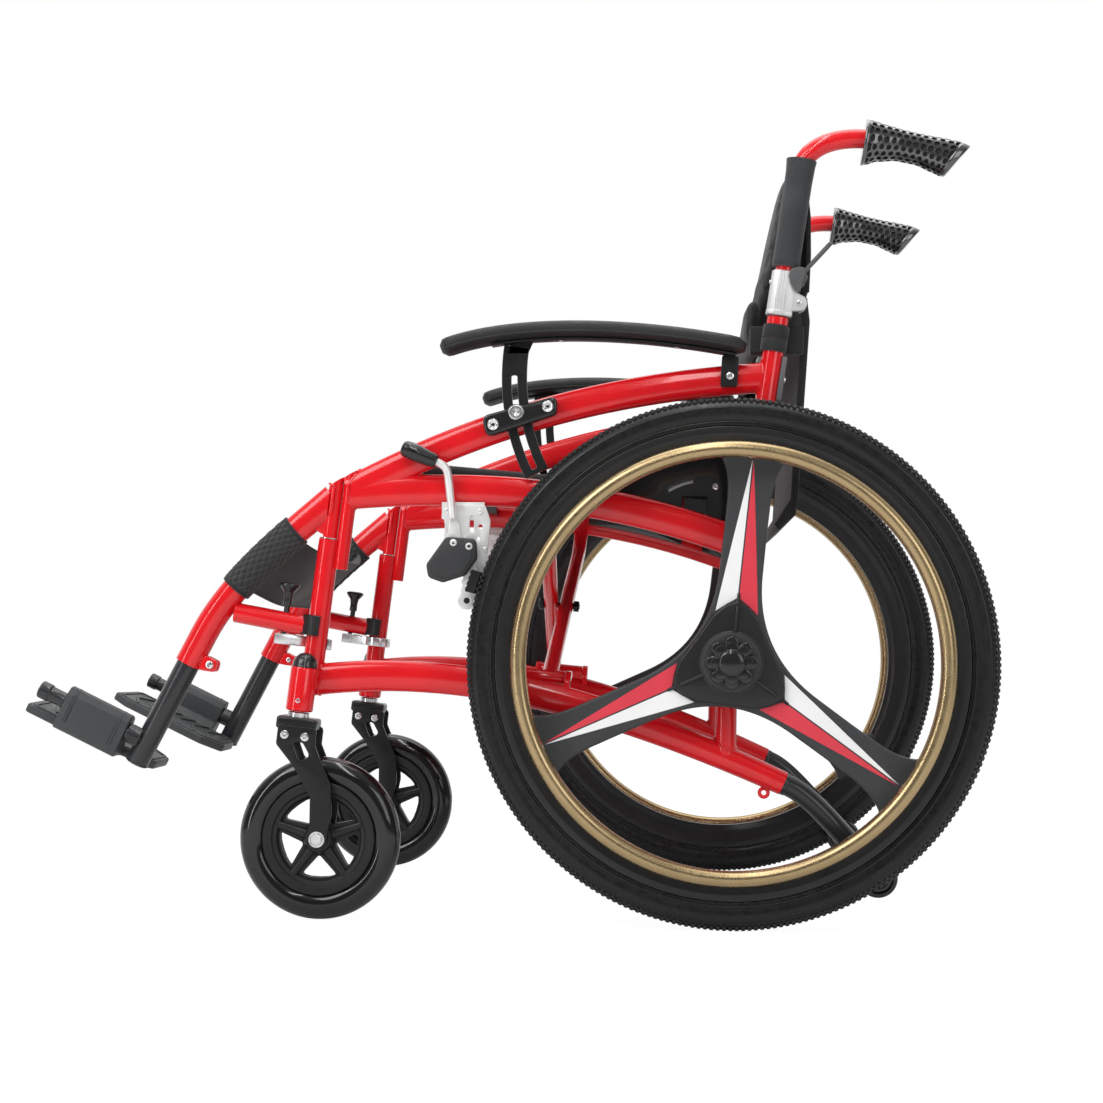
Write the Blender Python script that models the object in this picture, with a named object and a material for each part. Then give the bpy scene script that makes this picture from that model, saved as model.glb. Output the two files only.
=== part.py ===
"""A folding wheelchair with swing-away hangers, slotted armrests and a half-folding back.

Metres, +Z up. The chair faces -Y and its left side is +X. Points of one side are worked out
from the rear axle (y = 0 there) and every piece of a pair is modelled on the left and mirrored.
"""

import math

import bmesh
import bpy
from mathutils import Matrix, Vector

X_AXIS = Vector((1.0, 0.0, 0.0))
Z_AXIS = Vector((0.0, 0.0, 1.0))
SIDES = (("left", 1), ("right", -1))

# Clearances
GAP = 0.0003
RUNNING_GAP = 0.0005

# Rear wheels
TYRE_RADIUS = 0.305
TYRE_WIDTH = 0.035
HALF_TRACK = 0.279
TYRE_DEPTH = 0.032
RIM_RADIUS = TYRE_RADIUS - TYRE_DEPTH
RIM_DEPTH = 0.0325
RIM_WIDTH = 0.026
SPOKE_COUNT = 3
FIRST_SPOKE = math.radians(84)
SPOKE_WIDTH = 0.050
SPOKE_FLARE = 0.038
SPOKE_THICKNESS = 0.017
HUB_RADIUS = 0.056
HUB_THICKNESS = 0.042
HAND_RIM_INSET = 0.0297
HAND_RIM_RADIUS = RIM_RADIUS - HAND_RIM_INSET
HAND_RIM_TUBE = 0.0190
HAND_RIM_OFFSET = 0.035
HAND_RIM_TABS = 6
HUB_KNOB_RADIUS = 0.0305
HUB_KNOB_LOBES = 8
HUB_KNOB_THICKNESS = 0.012
AXLE_DIAMETER = 0.0127
WHEEL_STEPS = 40

# Side frame tubes
FRAME_X = 0.230
TUBE_WIDTH = 0.020
ARCH_HEIGHT = 0.036
RAIL_HEIGHT = 0.037
LOWER_RAIL_END_HEIGHT = 0.028
POST_DIAMETER = 0.0254
REAR_POST_Y = -0.004
REAR_POST_LEAN = math.radians(8.25)
REAR_POST_TOP = 0.712
FRONT_POST_Y = -0.4886
FRONT_POST_Z = 0.354
FRONT_POST_LEAN = math.radians(6.7)
FRONT_POST_TOP = 0.447
TWIN_TUBE_DIAMETER = 0.0172
ARCH_FRONT_Z = 0.5044
ARCH_FRONT_SLOPE = math.radians(28)
ARCH_REAR_Z = 0.6415
ARCH_REAR_SLOPE = math.radians(3.5)
ARCH_BULGE = 0.185
MID_RAIL_FRONT_Z = 0.5015
MID_RAIL_REAR_Z = 0.443
MID_RAIL_REAR_SLOPE = math.radians(-21)
MID_RAIL_BULGE = 0.165
LOWER_RAIL_FRONT_Z = 0.2785
LOWER_RAIL_END_Y = 0.0627
LOWER_RAIL_END_Z = 0.1635
LOWER_RAIL_SLOPE = math.radians(-24)
LOWER_RAIL_BULGE = 0.195

# Casters
CASTER_X = 0.2555
CASTER_HOUSING_DIAMETER = 0.032
CASTER_HOUSING_Y = -0.5035
CASTER_HOUSING_Z = 0.2695
CASTER_HOUSING_LENGTH = 0.053
CASTER_CAP_HEIGHT = 0.0155
CASTER_RADIUS = 0.095
CASTER_WIDTH = 0.032
CASTER_TRAIL = 0.045
CASTER_SPOKES = 5
CASTER_STEM = 0.012
FORK_PLATE = 0.005

# Hangers, foot tubes and footplates
HANGER_HEIGHT = 0.036
HANGER_END_DIAMETER = 0.0325
HANGER_TUBE_SETBACK = 0.0055
HANGER_TOP_SLOPE = math.radians(40)
HANGER_END_Y = -0.6464
HANGER_END_Z = 0.2971
FOOT_TUBE_DIAMETER = 0.0276
FOOT_TUBE_LEAN = math.radians(27.2)
FOOT_TUBE_LENGTH = 0.134
FOOT_TUBE_INSERT = 0.034
HANGER_STRUT_DIAMETER = 0.024
HANGER_STRUT_Y = -0.590
HANGER_STRUT_Z = 0.3590
SADDLE_BUSH_Z = 0.3435
SADDLE_BUSH_LENGTH = 0.024
LATCH_PLATE_Z = 0.3230
LATCH_PLATE_HEIGHT = 0.0125
LATCH_ARM = 0.050
LATCH_KNOB_OUT = 0.0405
LATCH_KNOB_RADIUS = 0.0121
HINGE_ROD_X = 0.2355
HINGE_ROD_DIAMETER = 0.014
HINGE_ROD_HEAD = 0.0212
HINGE_ROD_FRONT_Y = -0.8246
HINGE_ROD_FRONT_Z = 0.2655
FOOTPLATE_SLOPE = math.radians(25.4)
FOOTPLATE_BLOCK_START = 0.0350
FOOTPLATE_BLOCK_LENGTH = 0.083
FOOTPLATE_BLOCK_WIDTH = 0.026
FOOTPLATE_BLOCK_TOP = 0.021
FOOTPLATE_DROP = 0.022
FOOTPLATE_THICKNESS = 0.011
FOOTPLATE_INNER_X = 0.122
FOOTPLATE_START = -0.0115
FOOTPLATE_LENGTH = 0.170
CALF_SLEEVE_WALL = 0.0028

# Folding cross brace and seat
SEAT_TILT = math.radians(5)
BRACE_Y = -0.2245
BRACE_Z = 0.285
BRACE_PIVOT_X = 0.203
BRACE_CENTRE_HEIGHT = 0.0897
BRACE_TUBE = 0.019
BRACE_PIVOT_PIN = 0.010
SEAT_RAIL_X = 0.191
SEAT_RAIL_HEIGHT = 0.228
SEAT_RAIL_DIAMETER = 0.022
SEAT_RAIL_FRONT = -0.171
SEAT_RAIL_REAR = 0.200
SEAT_THICKNESS = 0.009
SEAT_SAG = 0.014

# Armrests
ARM_PIVOT_Y = -0.0016
ARM_PIVOT_Z = 0.641
ARM_BAR_RADIUS = 0.2548
ARM_BAR_WIDTH = 0.030
ARM_BAR_THICKNESS = 0.004
ARM_SLOT_WIDTH = 0.007
ARM_PAD_X = 0.246
ARM_PAD_WIDTH = 0.050
ARM_PAD_FRONT_Y = -0.3474
ARM_PAD_REAR_Y = 0.0169

# Brake
BRAKE_LEVER_Y = -0.3256
BRAKE_LEVER_Z = 0.4426
BRAKE_SHOE_PIVOT_Y = -0.3071
BRAKE_SHOE_PIVOT_Z = 0.4384
BRAKE_SHOE_RADIUS = 0.0065
BRAKE_SHOE_HEIGHT = 0.091
BRAKE_SHOE_GAP = 0.0006
BRAKE_EYE_AHEAD = 0.01147
BRAKE_EYE_BELOW = 0.0215
BRAKE_BAR_DIAMETER = 0.0096
BRAKE_GRIP_DIAMETER = 0.021
BRAKE_GRIP_X = 0.2530

# Back
BACK_HINGE_Y = 0.079
BACK_HINGE_Z = 0.7284
BACK_CASTING_HEIGHT = 0.054
BACK_SOCKET_Z = 0.7360
BACK_TUBE_DIAMETER = 0.0225
BACK_BEND_RADIUS = 0.050
BACK_BEND_Z = 0.877
PUSH_GRIP_SLOPE = math.radians(-15)
PUSH_GRIP_LENGTH = 0.109
PUSH_GRIP_FRONT_SLANT = 0.0034
PUSH_GRIP_REAR_SLANT = 0.010
BACK_CLOTH_HALF_WIDTH = 0.213
BACK_CLOTH_BOTTOM = 0.460

# Anti-tip wheels
ANTI_TIP_TUBE = 0.025
ANTI_TIP_WHEEL_RADIUS = 0.023
ANTI_TIP_WHEEL_Y = 0.172
ANTI_TIP_WHEEL_Z = 0.056
ANTI_TIP_WHEEL_WIDTH = 0.018



# Curves and sections

def point(y, z, x=FRAME_X):
    return Vector((x, y, z))


def bezier(first, first_handle, last_handle, last, count):
    points = []
    for i in range(count + 1):
        t = i / count
        s = 1 - t
        points.append(
            first * s**3 + first_handle * 3 * s * s * t + last_handle * 3 * s * t * t + last * t**3
        )
    return points


def direction(angle):
    """Unit vector in the side plane: rearwards at 0, upwards at 90 degrees."""
    return Vector((0.0, math.cos(angle), math.sin(angle)))


def arc(centre_y, centre_z, radius, start, end, count):
    """Points (y, z) of an arc, angles in degrees from rearwards towards up."""
    points = []
    for i in range(count + 1):
        angle = math.radians(start + (end - start) * i / count)
        points.append((centre_y + radius * math.cos(angle), centre_z + radius * math.sin(angle)))
    return points


def rounded(outline, radius, steps=3):
    """The outline with every corner turned into an arc of about this radius."""
    points = []
    count = len(outline)
    for i in range(count):
        corner = Vector(outline[i])
        to_last = Vector(outline[i - 1]) - corner
        to_next = Vector(outline[(i + 1) % count]) - corner
        half = to_last.angle(to_next) / 2
        reach = min(radius / math.tan(half), to_last.length * 0.45, to_next.length * 0.45)
        start = corner + to_last.normalized() * reach
        end = corner + to_next.normalized() * reach
        for k in range(steps + 1):
            t = k / steps
            points.append(tuple(start * (1 - t) ** 2 + corner * 2 * t * (1 - t) + end * t * t))
    return points


def oval(half_across, half_high, sides, power):
    points = []
    for i in range(sides):
        angle = 2 * math.pi * (i + 0.5) / sides
        c = math.cos(angle)
        s = math.sin(angle)
        across = half_across * math.copysign(abs(c) ** (2 / power), c)
        high = half_high * math.copysign(abs(s) ** (2 / power), s)
        points.append((across, high))
    return points


# Solids

def closed_mesh(vertices, faces):
    mesh = bpy.data.meshes.new("shape")
    mesh.from_pydata([tuple(v) for v in vertices], [], faces)
    shape = bmesh.new()
    shape.from_mesh(mesh)
    bmesh.ops.recalc_face_normals(shape, faces=shape.faces)
    bmesh.ops.connect_verts_nonplanar(shape, angle_limit=0.002, faces=shape.faces)
    shape.to_mesh(mesh)
    shape.free()
    return mesh


def skin(rings, closed=False):
    """A solid through rings of equally many points; closed joins the last ring to the first."""
    sides = len(rings[0])
    vertices = [v for ring in rings for v in ring]
    faces = []
    count = len(rings)
    for i in range(count if closed else count - 1):
        for k in range(sides):
            a = i * sides + k
            b = i * sides + (k + 1) % sides
            c = (i + 1) % count * sides + (k + 1) % sides
            d = (i + 1) % count * sides + k
            faces.append((a, b, c, d))
    if not closed:
        faces.append(tuple(range(sides)))
        faces.append(tuple(range((count - 1) * sides, count * sides)))
    return closed_mesh(vertices, faces)


def swept(path, size_at, sides=12, across=X_AXIS, power=2.0):
    """A tube along path; size_at(share of the way) gives its half width across and half height."""
    rings = []
    last = len(path) - 1
    for i, place in enumerate(path):
        tangent = (path[min(i + 1, last)] - path[max(i - 1, 0)]).normalized()
        side = (across - across.dot(tangent) * tangent).normalized()
        normal = tangent.cross(side)
        half_across, half_high = size_at(i / last)
        outline = oval(half_across, half_high, sides, power)
        rings.append([place + side * a + normal * b for a, b in outline])
    return skin(rings)


def bar(start, end, radius, sides=12, end_radius=None):
    end_radius = radius if end_radius is None else end_radius
    across = X_AXIS if abs((end - start).normalized().x) < 0.9 else Z_AXIS
    sizes = (radius, end_radius)
    return swept([start, end], lambda t: (sizes[round(t)], sizes[round(t)]), sides, across)


def round_tube(path, radius, sides=12, across=X_AXIS):
    return swept(path, lambda t: (radius, radius), sides, across)


def lathe(profile, centre, axis, steps, start=0.0):
    """Turns a closed loop of (radius, height) about the axis through centre."""
    axis = axis.normalized()
    across = X_AXIS if abs(axis.x) < 0.9 else Z_AXIS
    first = (across - across.dot(axis) * axis).normalized()
    second = axis.cross(first)
    rings = []
    for i in range(steps):
        angle = start + 2 * math.pi * i / steps
        outward = first * math.cos(angle) + second * math.sin(angle)
        rings.append([centre + outward * r + axis * h for r, h in profile])
    return skin(rings, closed=True)


def turned(profile, centre, axis, steps):
    """Turns an open line of (radius, height) into a solid of rings with flat ends."""
    axis = axis.normalized()
    across = X_AXIS if abs(axis.x) < 0.9 else Z_AXIS
    first = (across - across.dot(axis) * axis).normalized()
    second = axis.cross(first)
    rings = []
    for r, h in profile:
        ring = []
        for i in range(steps):
            angle = 2 * math.pi * (i + 0.5) / steps
            ring.append(centre + (first * math.cos(angle) + second * math.sin(angle)) * r + axis * h)
        rings.append(ring)
    return skin(rings)


def prism(outline, origin, first, second, depth):
    """An outline of (a, b) pairs laid along first and second, pushed along depth."""
    base = [origin + first * a + second * b for a, b in outline]
    return skin([base, [v + depth for v in base]])


def plate(outline, x_start, x_end):
    """An outline of (y, z) pairs between two x planes."""
    origin = Vector((x_start, 0.0, 0.0))
    return prism(outline, origin, direction(0), Z_AXIS, X_AXIS * (x_end - x_start))


def trimmed(mesh, place, normal):
    """The mesh without what lies beyond the plane on the normal's side, closed again."""
    shape = bmesh.new()
    shape.from_mesh(mesh)
    everything = shape.verts[:] + shape.edges[:] + shape.faces[:]
    bmesh.ops.bisect_plane(
        shape, geom=everything, plane_co=place, plane_no=normal, clear_outer=True, dist=1e-7
    )
    rim = [edge for edge in shape.edges if edge.is_boundary]
    bmesh.ops.holes_fill(shape, edges=rim, sides=0)
    bmesh.ops.recalc_face_normals(shape, faces=shape.faces)
    shape.to_mesh(mesh)
    shape.free()
    return mesh


def combined(mesh, others, operation):
    base = bpy.data.objects.new("base", mesh)
    bpy.context.scene.collection.objects.link(base)
    helpers = [base]
    for other in others:
        helper = bpy.data.objects.new("helper", other)
        bpy.context.scene.collection.objects.link(helper)
        helpers.append(helper)
        modifier = base.modifiers.new("combine", "BOOLEAN")
        modifier.operation = operation
        modifier.solver = "EXACT"
        modifier.object = helper
    bpy.context.view_layer.update()
    graph = bpy.context.evaluated_depsgraph_get()
    result = bpy.data.meshes.new_from_object(base.evaluated_get(graph))
    for helper in helpers:
        bpy.data.objects.remove(helper, do_unlink=True)
    return result


def joined(first, *others):
    return combined(first, others, "UNION")


def cut(mesh, *cutters):
    return combined(mesh, cutters, "DIFFERENCE")


# Scene, joints and materials

def clear_scene():
    for obj in list(bpy.data.objects):
        bpy.data.objects.remove(obj, do_unlink=True)


def finish(name, colour, roughness, metallic=0.0):
    material = bpy.data.materials.new(name)
    material.use_nodes = True
    shader = material.node_tree.nodes["Principled BSDF"]
    shader.inputs["Base Color"].default_value = (*colour, 1.0)
    shader.inputs["Roughness"].default_value = roughness
    shader.inputs["Metallic"].default_value = metallic
    material.diffuse_color = (*colour, 1.0)
    return material


PLACES = {}


def joint(name, place, carrier=None):
    """An empty on a joint's axis, carried by the empty of the body that it turns on."""
    empty = bpy.data.objects.new(f"{name}_joint", None)
    empty.empty_display_size = 0.03
    bpy.context.scene.collection.objects.link(empty)
    PLACES[name] = Vector(place)
    if carrier:
        empty.parent = bpy.data.objects[f"{carrier}_joint"]
        empty.location = PLACES[name] - PLACES[carrier]
    return empty


def joint_pair(name, place, carrier):
    for side, sign in SIDES:
        joint(f"{name}_{side}", (place.x * sign, place.y, place.z), f"{carrier}_{side}")


def piece(name, mesh, material, carrier):
    mesh.name = name
    mesh.transform(Matrix.Translation(-PLACES[carrier]))
    mesh.materials.clear()
    mesh.materials.append(material)
    mesh.shade_smooth()
    mesh.set_sharp_from_angle(angle=math.radians(32))
    obj = bpy.data.objects.new(name, mesh)
    bpy.context.scene.collection.objects.link(obj)
    obj.parent = bpy.data.objects[f"{carrier}_joint"]
    return obj


def pair(name, mesh, material, carrier):
    """The left piece and its mirror image."""
    for side, sign in SIDES:
        copy = mesh.copy()
        if sign < 0:
            copy.transform(Matrix.Scale(-1, 4, X_AXIS))
            copy.flip_normals()
        piece(f"{name}_{side}", copy, material, f"{carrier}_{side}")


# Places on the posts

FRONT_POST_AXIS = direction(math.pi / 2 - FRONT_POST_LEAN)


def on_front_post(z):
    return FRONT_POST_Y + (z - FRONT_POST_Z) * math.tan(FRONT_POST_LEAN)


def on_rear_post(z):
    return REAR_POST_Y + (z - TYRE_RADIUS) * math.tan(REAR_POST_LEAN)


def along_housing(distance):
    middle = point(CASTER_HOUSING_Y, CASTER_HOUSING_Z, CASTER_X)
    return middle + FRONT_POST_AXIS * distance


TWIN_TUBE_STEP = (TWIN_TUBE_DIAMETER + GAP) / math.cos(FRONT_POST_LEAN)


def tube_size(width, height):
    return lambda t: (width / 2, height / 2)


# Side frame

def arch_path(count=8):
    front = point(on_front_post(ARCH_FRONT_Z) + TWIN_TUBE_STEP, ARCH_FRONT_Z)
    rear = point(on_rear_post(ARCH_REAR_Z), ARCH_REAR_Z)
    return bezier(
        front,
        front + direction(ARCH_FRONT_SLOPE) * ARCH_BULGE,
        rear - direction(ARCH_REAR_SLOPE) * ARCH_BULGE,
        rear,
        count,
    )


def mid_rail_path(count=7):
    front = point(on_front_post(MID_RAIL_FRONT_Z) + TWIN_TUBE_STEP, MID_RAIL_FRONT_Z)
    rear = point(on_rear_post(MID_RAIL_REAR_Z), MID_RAIL_REAR_Z)
    return bezier(
        front,
        front + direction(math.radians(5)) * MID_RAIL_BULGE,
        rear - direction(MID_RAIL_REAR_SLOPE) * MID_RAIL_BULGE,
        rear,
        count,
    )


def lower_rail_path(count=9):
    front = point(on_front_post(LOWER_RAIL_FRONT_Z), LOWER_RAIL_FRONT_Z)
    rear = point(LOWER_RAIL_END_Y, LOWER_RAIL_END_Z)
    return bezier(
        front,
        front + direction(math.radians(8)) * LOWER_RAIL_BULGE,
        rear - direction(LOWER_RAIL_SLOPE) * LOWER_RAIL_BULGE,
        rear,
        count,
    )


def lower_rail_size(t):
    return (
        TUBE_WIDTH / 2 + 0.0030 * t * t,
        (RAIL_HEIGHT + (LOWER_RAIL_END_HEIGHT - RAIL_HEIGHT) * t * t) / 2,
    )


def mid_rail_mesh(grow=0.0):
    return swept(
        mid_rail_path(), lambda t: (TUBE_WIDTH / 2 + grow, RAIL_HEIGHT / 2 + grow), 10, power=2.3
    )


def arch_mesh(grow=0.0):
    return swept(
        arch_path(), lambda t: (TUBE_WIDTH / 2 + grow, ARCH_HEIGHT / 2 + grow), 10, power=2.3
    )


# The folding mechanism lies in planes square to the tilted seat rails.
FOLD_AXIS = direction(-SEAT_TILT)
FOLD_UP = direction(math.pi / 2 - SEAT_TILT)


def in_fold(x, up, along=0.0):
    return Vector((x, BRACE_Y, BRACE_Z)) + FOLD_UP * up + FOLD_AXIS * along


def saddle(along):
    """A half cup on the mid rail that a seat rail rests in."""
    rail = in_fold(SEAT_RAIL_X, SEAT_RAIL_HEIGHT, along)
    cup_radius = SEAT_RAIL_DIAMETER / 2 + GAP
    wall = 0.0035
    outline = [
        (-cup_radius - wall, -0.0005),
        (-cup_radius - wall, -0.008),
        (-0.006, -cup_radius - wall),
        (0.018, -cup_radius - wall - 0.003),
        (0.0385, -cup_radius - wall - 0.003),
        (0.0385, -0.0005),
    ]
    block = prism(outline, rail - FOLD_AXIS * 0.014, X_AXIS, FOLD_UP, FOLD_AXIS * 0.028)
    groove = bar(rail - FOLD_AXIS * 0.03, rail + FOLD_AXIS * 0.03, cup_radius, 16)
    return cut(block, groove)


BRACE_SLEEVE_HALF = 0.029


def brace_lug(start):
    """One of the two ears that hold a brace pivot pin on the lower rail."""
    outline = [(-0.009, -0.006), (0.000, -0.010), (0.028, -0.022), (0.028, -0.002), (0.010, 0.009)]
    outline += [(0.000, 0.010), (-0.008, 0.006)]
    return prism(
        outline, in_fold(BRACE_PIVOT_X, 0, start), X_AXIS, FOLD_UP, FOLD_AXIS * 0.007
    )


def side_frame():
    twin_y = TWIN_TUBE_STEP
    twin_foot = point(on_front_post(0.411) + twin_y, 0.411)
    twin_top = point(on_front_post(0.535) + twin_y, 0.535)
    twin = bar(twin_foot, twin_top, TWIN_TUBE_DIAMETER / 2, 12)
    front_top = arch_path()[0] + direction(ARCH_FRONT_SLOPE + math.pi / 2) * (ARCH_HEIGHT / 2)
    twin = trimmed(twin, front_top, direction(ARCH_FRONT_SLOPE + math.pi / 2))
    twin = trimmed(twin, twin_foot + direction(0) * 0.0085, direction(math.radians(-50)))
    twin_plane = point(on_front_post(ARCH_FRONT_Z) + twin_y, ARCH_FRONT_Z)
    forward = direction(math.pi - FRONT_POST_LEAN)
    arch = trimmed(arch_mesh(), twin_plane, forward)
    mid_rail = trimmed(mid_rail_mesh(), twin_plane, forward)
    rail_end = lower_rail_path()[-1]
    rail_way = direction(LOWER_RAIL_SLOPE)
    lower_rail = swept(lower_rail_path() + [rail_end + rail_way * 0.006], lower_rail_size, 10, power=2.2)
    lower_rail = trimmed(lower_rail, rail_end, rail_way)

    post_top = point(on_front_post(FRONT_POST_TOP), FRONT_POST_TOP)
    post_foot = point(on_front_post(LOWER_RAIL_FRONT_Z - 0.008), LOWER_RAIL_FRONT_Z - 0.008)
    front_post = bar(post_foot, post_top, POST_DIAMETER / 2, 14)

    rear_axle = point(on_rear_post(TYRE_RADIUS), TYRE_RADIUS)
    rear_post = round_tube(
        [
            point(rear_axle.y - 0.001, 0.196),
            rear_axle - Z_AXIS * 0.012,
            rear_axle + Z_AXIS * 0.018 + direction(0) * 0.002,
            point(on_rear_post(REAR_POST_TOP), REAR_POST_TOP),
        ],
        POST_DIAMETER / 2,
        14,
    )
    axle_boss = bar(
        point(0, TYRE_RADIUS, FRAME_X), point(0, TYRE_RADIUS, hub_inner_x() - 0.001), 0.016, 14
    )

    half = CASTER_HOUSING_LENGTH / 2
    housing_radius = CASTER_HOUSING_DIAMETER / 2
    housing = bar(along_housing(-half), along_housing(half), housing_radius, 14)
    cap = turned(
        [
            (housing_radius - 0.002, -0.001),
            (housing_radius - 0.002, CASTER_CAP_HEIGHT * 0.45),
            (housing_radius * 0.62, CASTER_CAP_HEIGHT * 0.85),
            (housing_radius * 0.25, CASTER_CAP_HEIGHT),
        ],
        along_housing(half),
        FRONT_POST_AXIS,
        14,
    )

    gusset = plate(
        [(-0.030, ARCH_REAR_Z), (0.046, ARCH_REAR_Z), (on_rear_post(GUSSET_TOP), GUSSET_TOP)]
        + arc(on_rear_post(GUSSET_TOP) - 0.033, GUSSET_TOP - 0.002, 0.020, 0, -75, 4),
        FRAME_X - 0.007,
        FRAME_X + 0.007,
    )
    tongue = plate(
        [(on_rear_post(0.7045), 0.7045), (on_rear_post(0.7045) + 0.0118, 0.7050)]
        + arc(BACK_HINGE_Y, BACK_HINGE_Z, 0.0075, -40, 150, 6)
        + [(0.0658, 0.7150), (0.0636, 0.7090)],
        FRAME_X - HINGE_TONGUE / 2,
        FRAME_X + HINGE_TONGUE / 2,
    )
    pin = bar(
        point(BACK_HINGE_Y, BACK_HINGE_Z, FRAME_X - HINGE_CASTING_WIDTH / 2),
        point(BACK_HINGE_Y, BACK_HINGE_Z, FRAME_X + HINGE_CASTING_WIDTH / 2),
        HINGE_PIN / 2,
        10,
    )
    accessory_foot = point(on_rear_post(0.614) + POST_DIAMETER / 2 - 0.001, 0.614)
    accessory = prism(
        [(-0.0085, 0.0), (0.0085, 0.0), (0.0085, 0.054), (-0.0085, 0.054)],
        accessory_foot,
        X_AXIS,
        direction(math.pi / 2 - REAR_POST_LEAN),
        direction(-REAR_POST_LEAN) * ACCESSORY_PLATE_THICKNESS,
    )

    sleeve_end = BRACE_SLEEVE_HALF + RUNNING_GAP
    brace_pin = bar(
        in_fold(BRACE_PIVOT_X, 0, -sleeve_end - 0.005),
        in_fold(BRACE_PIVOT_X, 0, sleeve_end + 0.005),
        BRACE_PIVOT_PIN / 2,
        12,
    )
    frame = joined(
        arch,
        mid_rail,
        twin,
        front_post,
        lower_rail,
        rear_post,
        axle_boss,
        housing,
        cap,
        gusset,
        tongue,
        pin,
        accessory,
        saddle(SEAT_RAIL_FRONT + 0.045),
        saddle(SEAT_RAIL_REAR - 0.035),
        brace_lug(-sleeve_end - 0.007),
        brace_lug(sleeve_end),
        brace_pin,
    )
    return cut(
        frame,
        bar(point(0, TYRE_RADIUS, 0.20), point(0, TYRE_RADIUS, 0.27), AXLE_DIAMETER / 2 + GAP, 12),
        bar(along_housing(-half - 0.01), along_housing(0.012), CASTER_STEM / 2 + GAP, 12),
        bar(post_top - FRONT_POST_AXIS * 0.026, post_top + FRONT_POST_AXIS * 0.01,
            HANGER_PIN / 2 + GAP, 12),
        bar(rail_end - rail_way * 0.036, rail_end + rail_way * 0.01, ANTI_TIP_SPIGOT / 2 + GAP, 10),
    )


GUSSET_TOP = 0.664
ACCESSORY_PLATE_THICKNESS = 0.006
HINGE_TONGUE = 0.006
HINGE_CASTING_WIDTH = 0.026
HINGE_PIN = 0.006
HANGER_PIN = 0.011
ANTI_TIP_SPIGOT = 0.0165


def hub_inner_x():
    return HALF_TRACK - HUB_THICKNESS / 2


# Rear wheel

def wheel_centre(x=HALF_TRACK):
    return point(0.0, TYRE_RADIUS, x)


def spoke_outline(angle):
    """One broad spoke with concave flares where it meets the rim, as (y, z) pairs."""
    inner = HUB_RADIUS * 0.6
    outer = RIM_RADIUS - RIM_DEPTH + 0.004
    half = SPOKE_WIDTH / 2
    flare_start = outer - 0.055
    right = [(inner, half), (flare_start, half)]
    for k in range(1, 3):
        t = k / 2
        right.append((flare_start + 0.052 * t, half + (SPOKE_FLARE - half) * t * t))
    right.append((outer, SPOKE_FLARE + 0.003))
    left = [(r, -w) for r, w in reversed(right)]
    c = math.cos(angle)
    s = math.sin(angle)
    return [(r * c - w * s, TYRE_RADIUS + r * s + w * c) for r, w in right + left]


def wheel():
    inner = RIM_RADIUS - RIM_DEPTH
    half = RIM_WIDTH / 2
    rim = lathe(
        [
            (inner, -half * 0.5),
            (inner, half * 0.5),
            (inner + 0.010, half * 0.9),
            (RIM_RADIUS - GAP, half),
            (RIM_RADIUS - GAP, -half),
            (inner + 0.010, -half * 0.9),
        ],
        wheel_centre(),
        X_AXIS,
        WHEEL_STEPS,
    )
    hub_half = HUB_THICKNESS / 2
    hub = turned(
        [
            (0.026, -hub_half),
            (0.030, -hub_half * 0.6),
            (HUB_RADIUS, -SPOKE_THICKNESS * 0.45),
            (HUB_RADIUS, SPOKE_THICKNESS * 0.45),
            (HUB_RADIUS * 0.75, hub_half * 0.8),
            (0.030, hub_half),
        ],
        wheel_centre(),
        X_AXIS,
        20,
    )
    spokes = []
    for i in range(SPOKE_COUNT):
        outline = spoke_outline(FIRST_SPOKE + 2 * math.pi * i / SPOKE_COUNT)
        half_thick = SPOKE_THICKNESS / 2
        spokes.append(plate(outline, HALF_TRACK - half_thick, HALF_TRACK + half_thick))
    bore = bar(wheel_centre(0.24), wheel_centre(0.32), AXLE_DIAMETER / 2 + GAP, 12)
    return cut(joined(rim, hub, *spokes), bore)


def tyre():
    half = TYRE_WIDTH / 2
    depth = TYRE_RADIUS - RIM_RADIUS
    return lathe(
        [
            (RIM_RADIUS, -RIM_WIDTH / 2 - 0.001),
            (RIM_RADIUS + depth * 0.45, -half),
            (TYRE_RADIUS - 0.004, -half * 0.66),
            (TYRE_RADIUS, 0.0),
            (TYRE_RADIUS - 0.004, half * 0.66),
            (RIM_RADIUS + depth * 0.45, half),
            (RIM_RADIUS, RIM_WIDTH / 2 + 0.001),
        ],
        wheel_centre(),
        X_AXIS,
        WHEEL_STEPS,
    )


def hand_rim():
    x = HALF_TRACK + HAND_RIM_OFFSET
    radius = HAND_RIM_TUBE / 2
    profile = []
    for i in range(6):
        angle = 2 * math.pi * i / 6
        profile.append((HAND_RIM_RADIUS + radius * math.cos(angle), radius * math.sin(angle)))
    ring = lathe(profile, wheel_centre(x), X_AXIS, WHEEL_STEPS)
    tabs = []
    rim_face = HALF_TRACK + RIM_WIDTH / 2 * 0.9 + GAP
    for i in range(HAND_RIM_TABS):
        angle = FIRST_SPOKE + 2 * math.pi * (i + 0.5) / HAND_RIM_TABS
        outward = direction(angle)
        middle = wheel_centre(rim_face) + outward * (HAND_RIM_RADIUS + 0.0055)
        tabs.append(
            prism(
                [(-0.008, -0.003), (0.008, -0.003), (0.008, 0.003), (-0.008, 0.003)],
                middle,
                outward.cross(X_AXIS),
                outward,
                X_AXIS * (x - rim_face),
            )
        )
    return joined(ring, *tabs)


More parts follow.
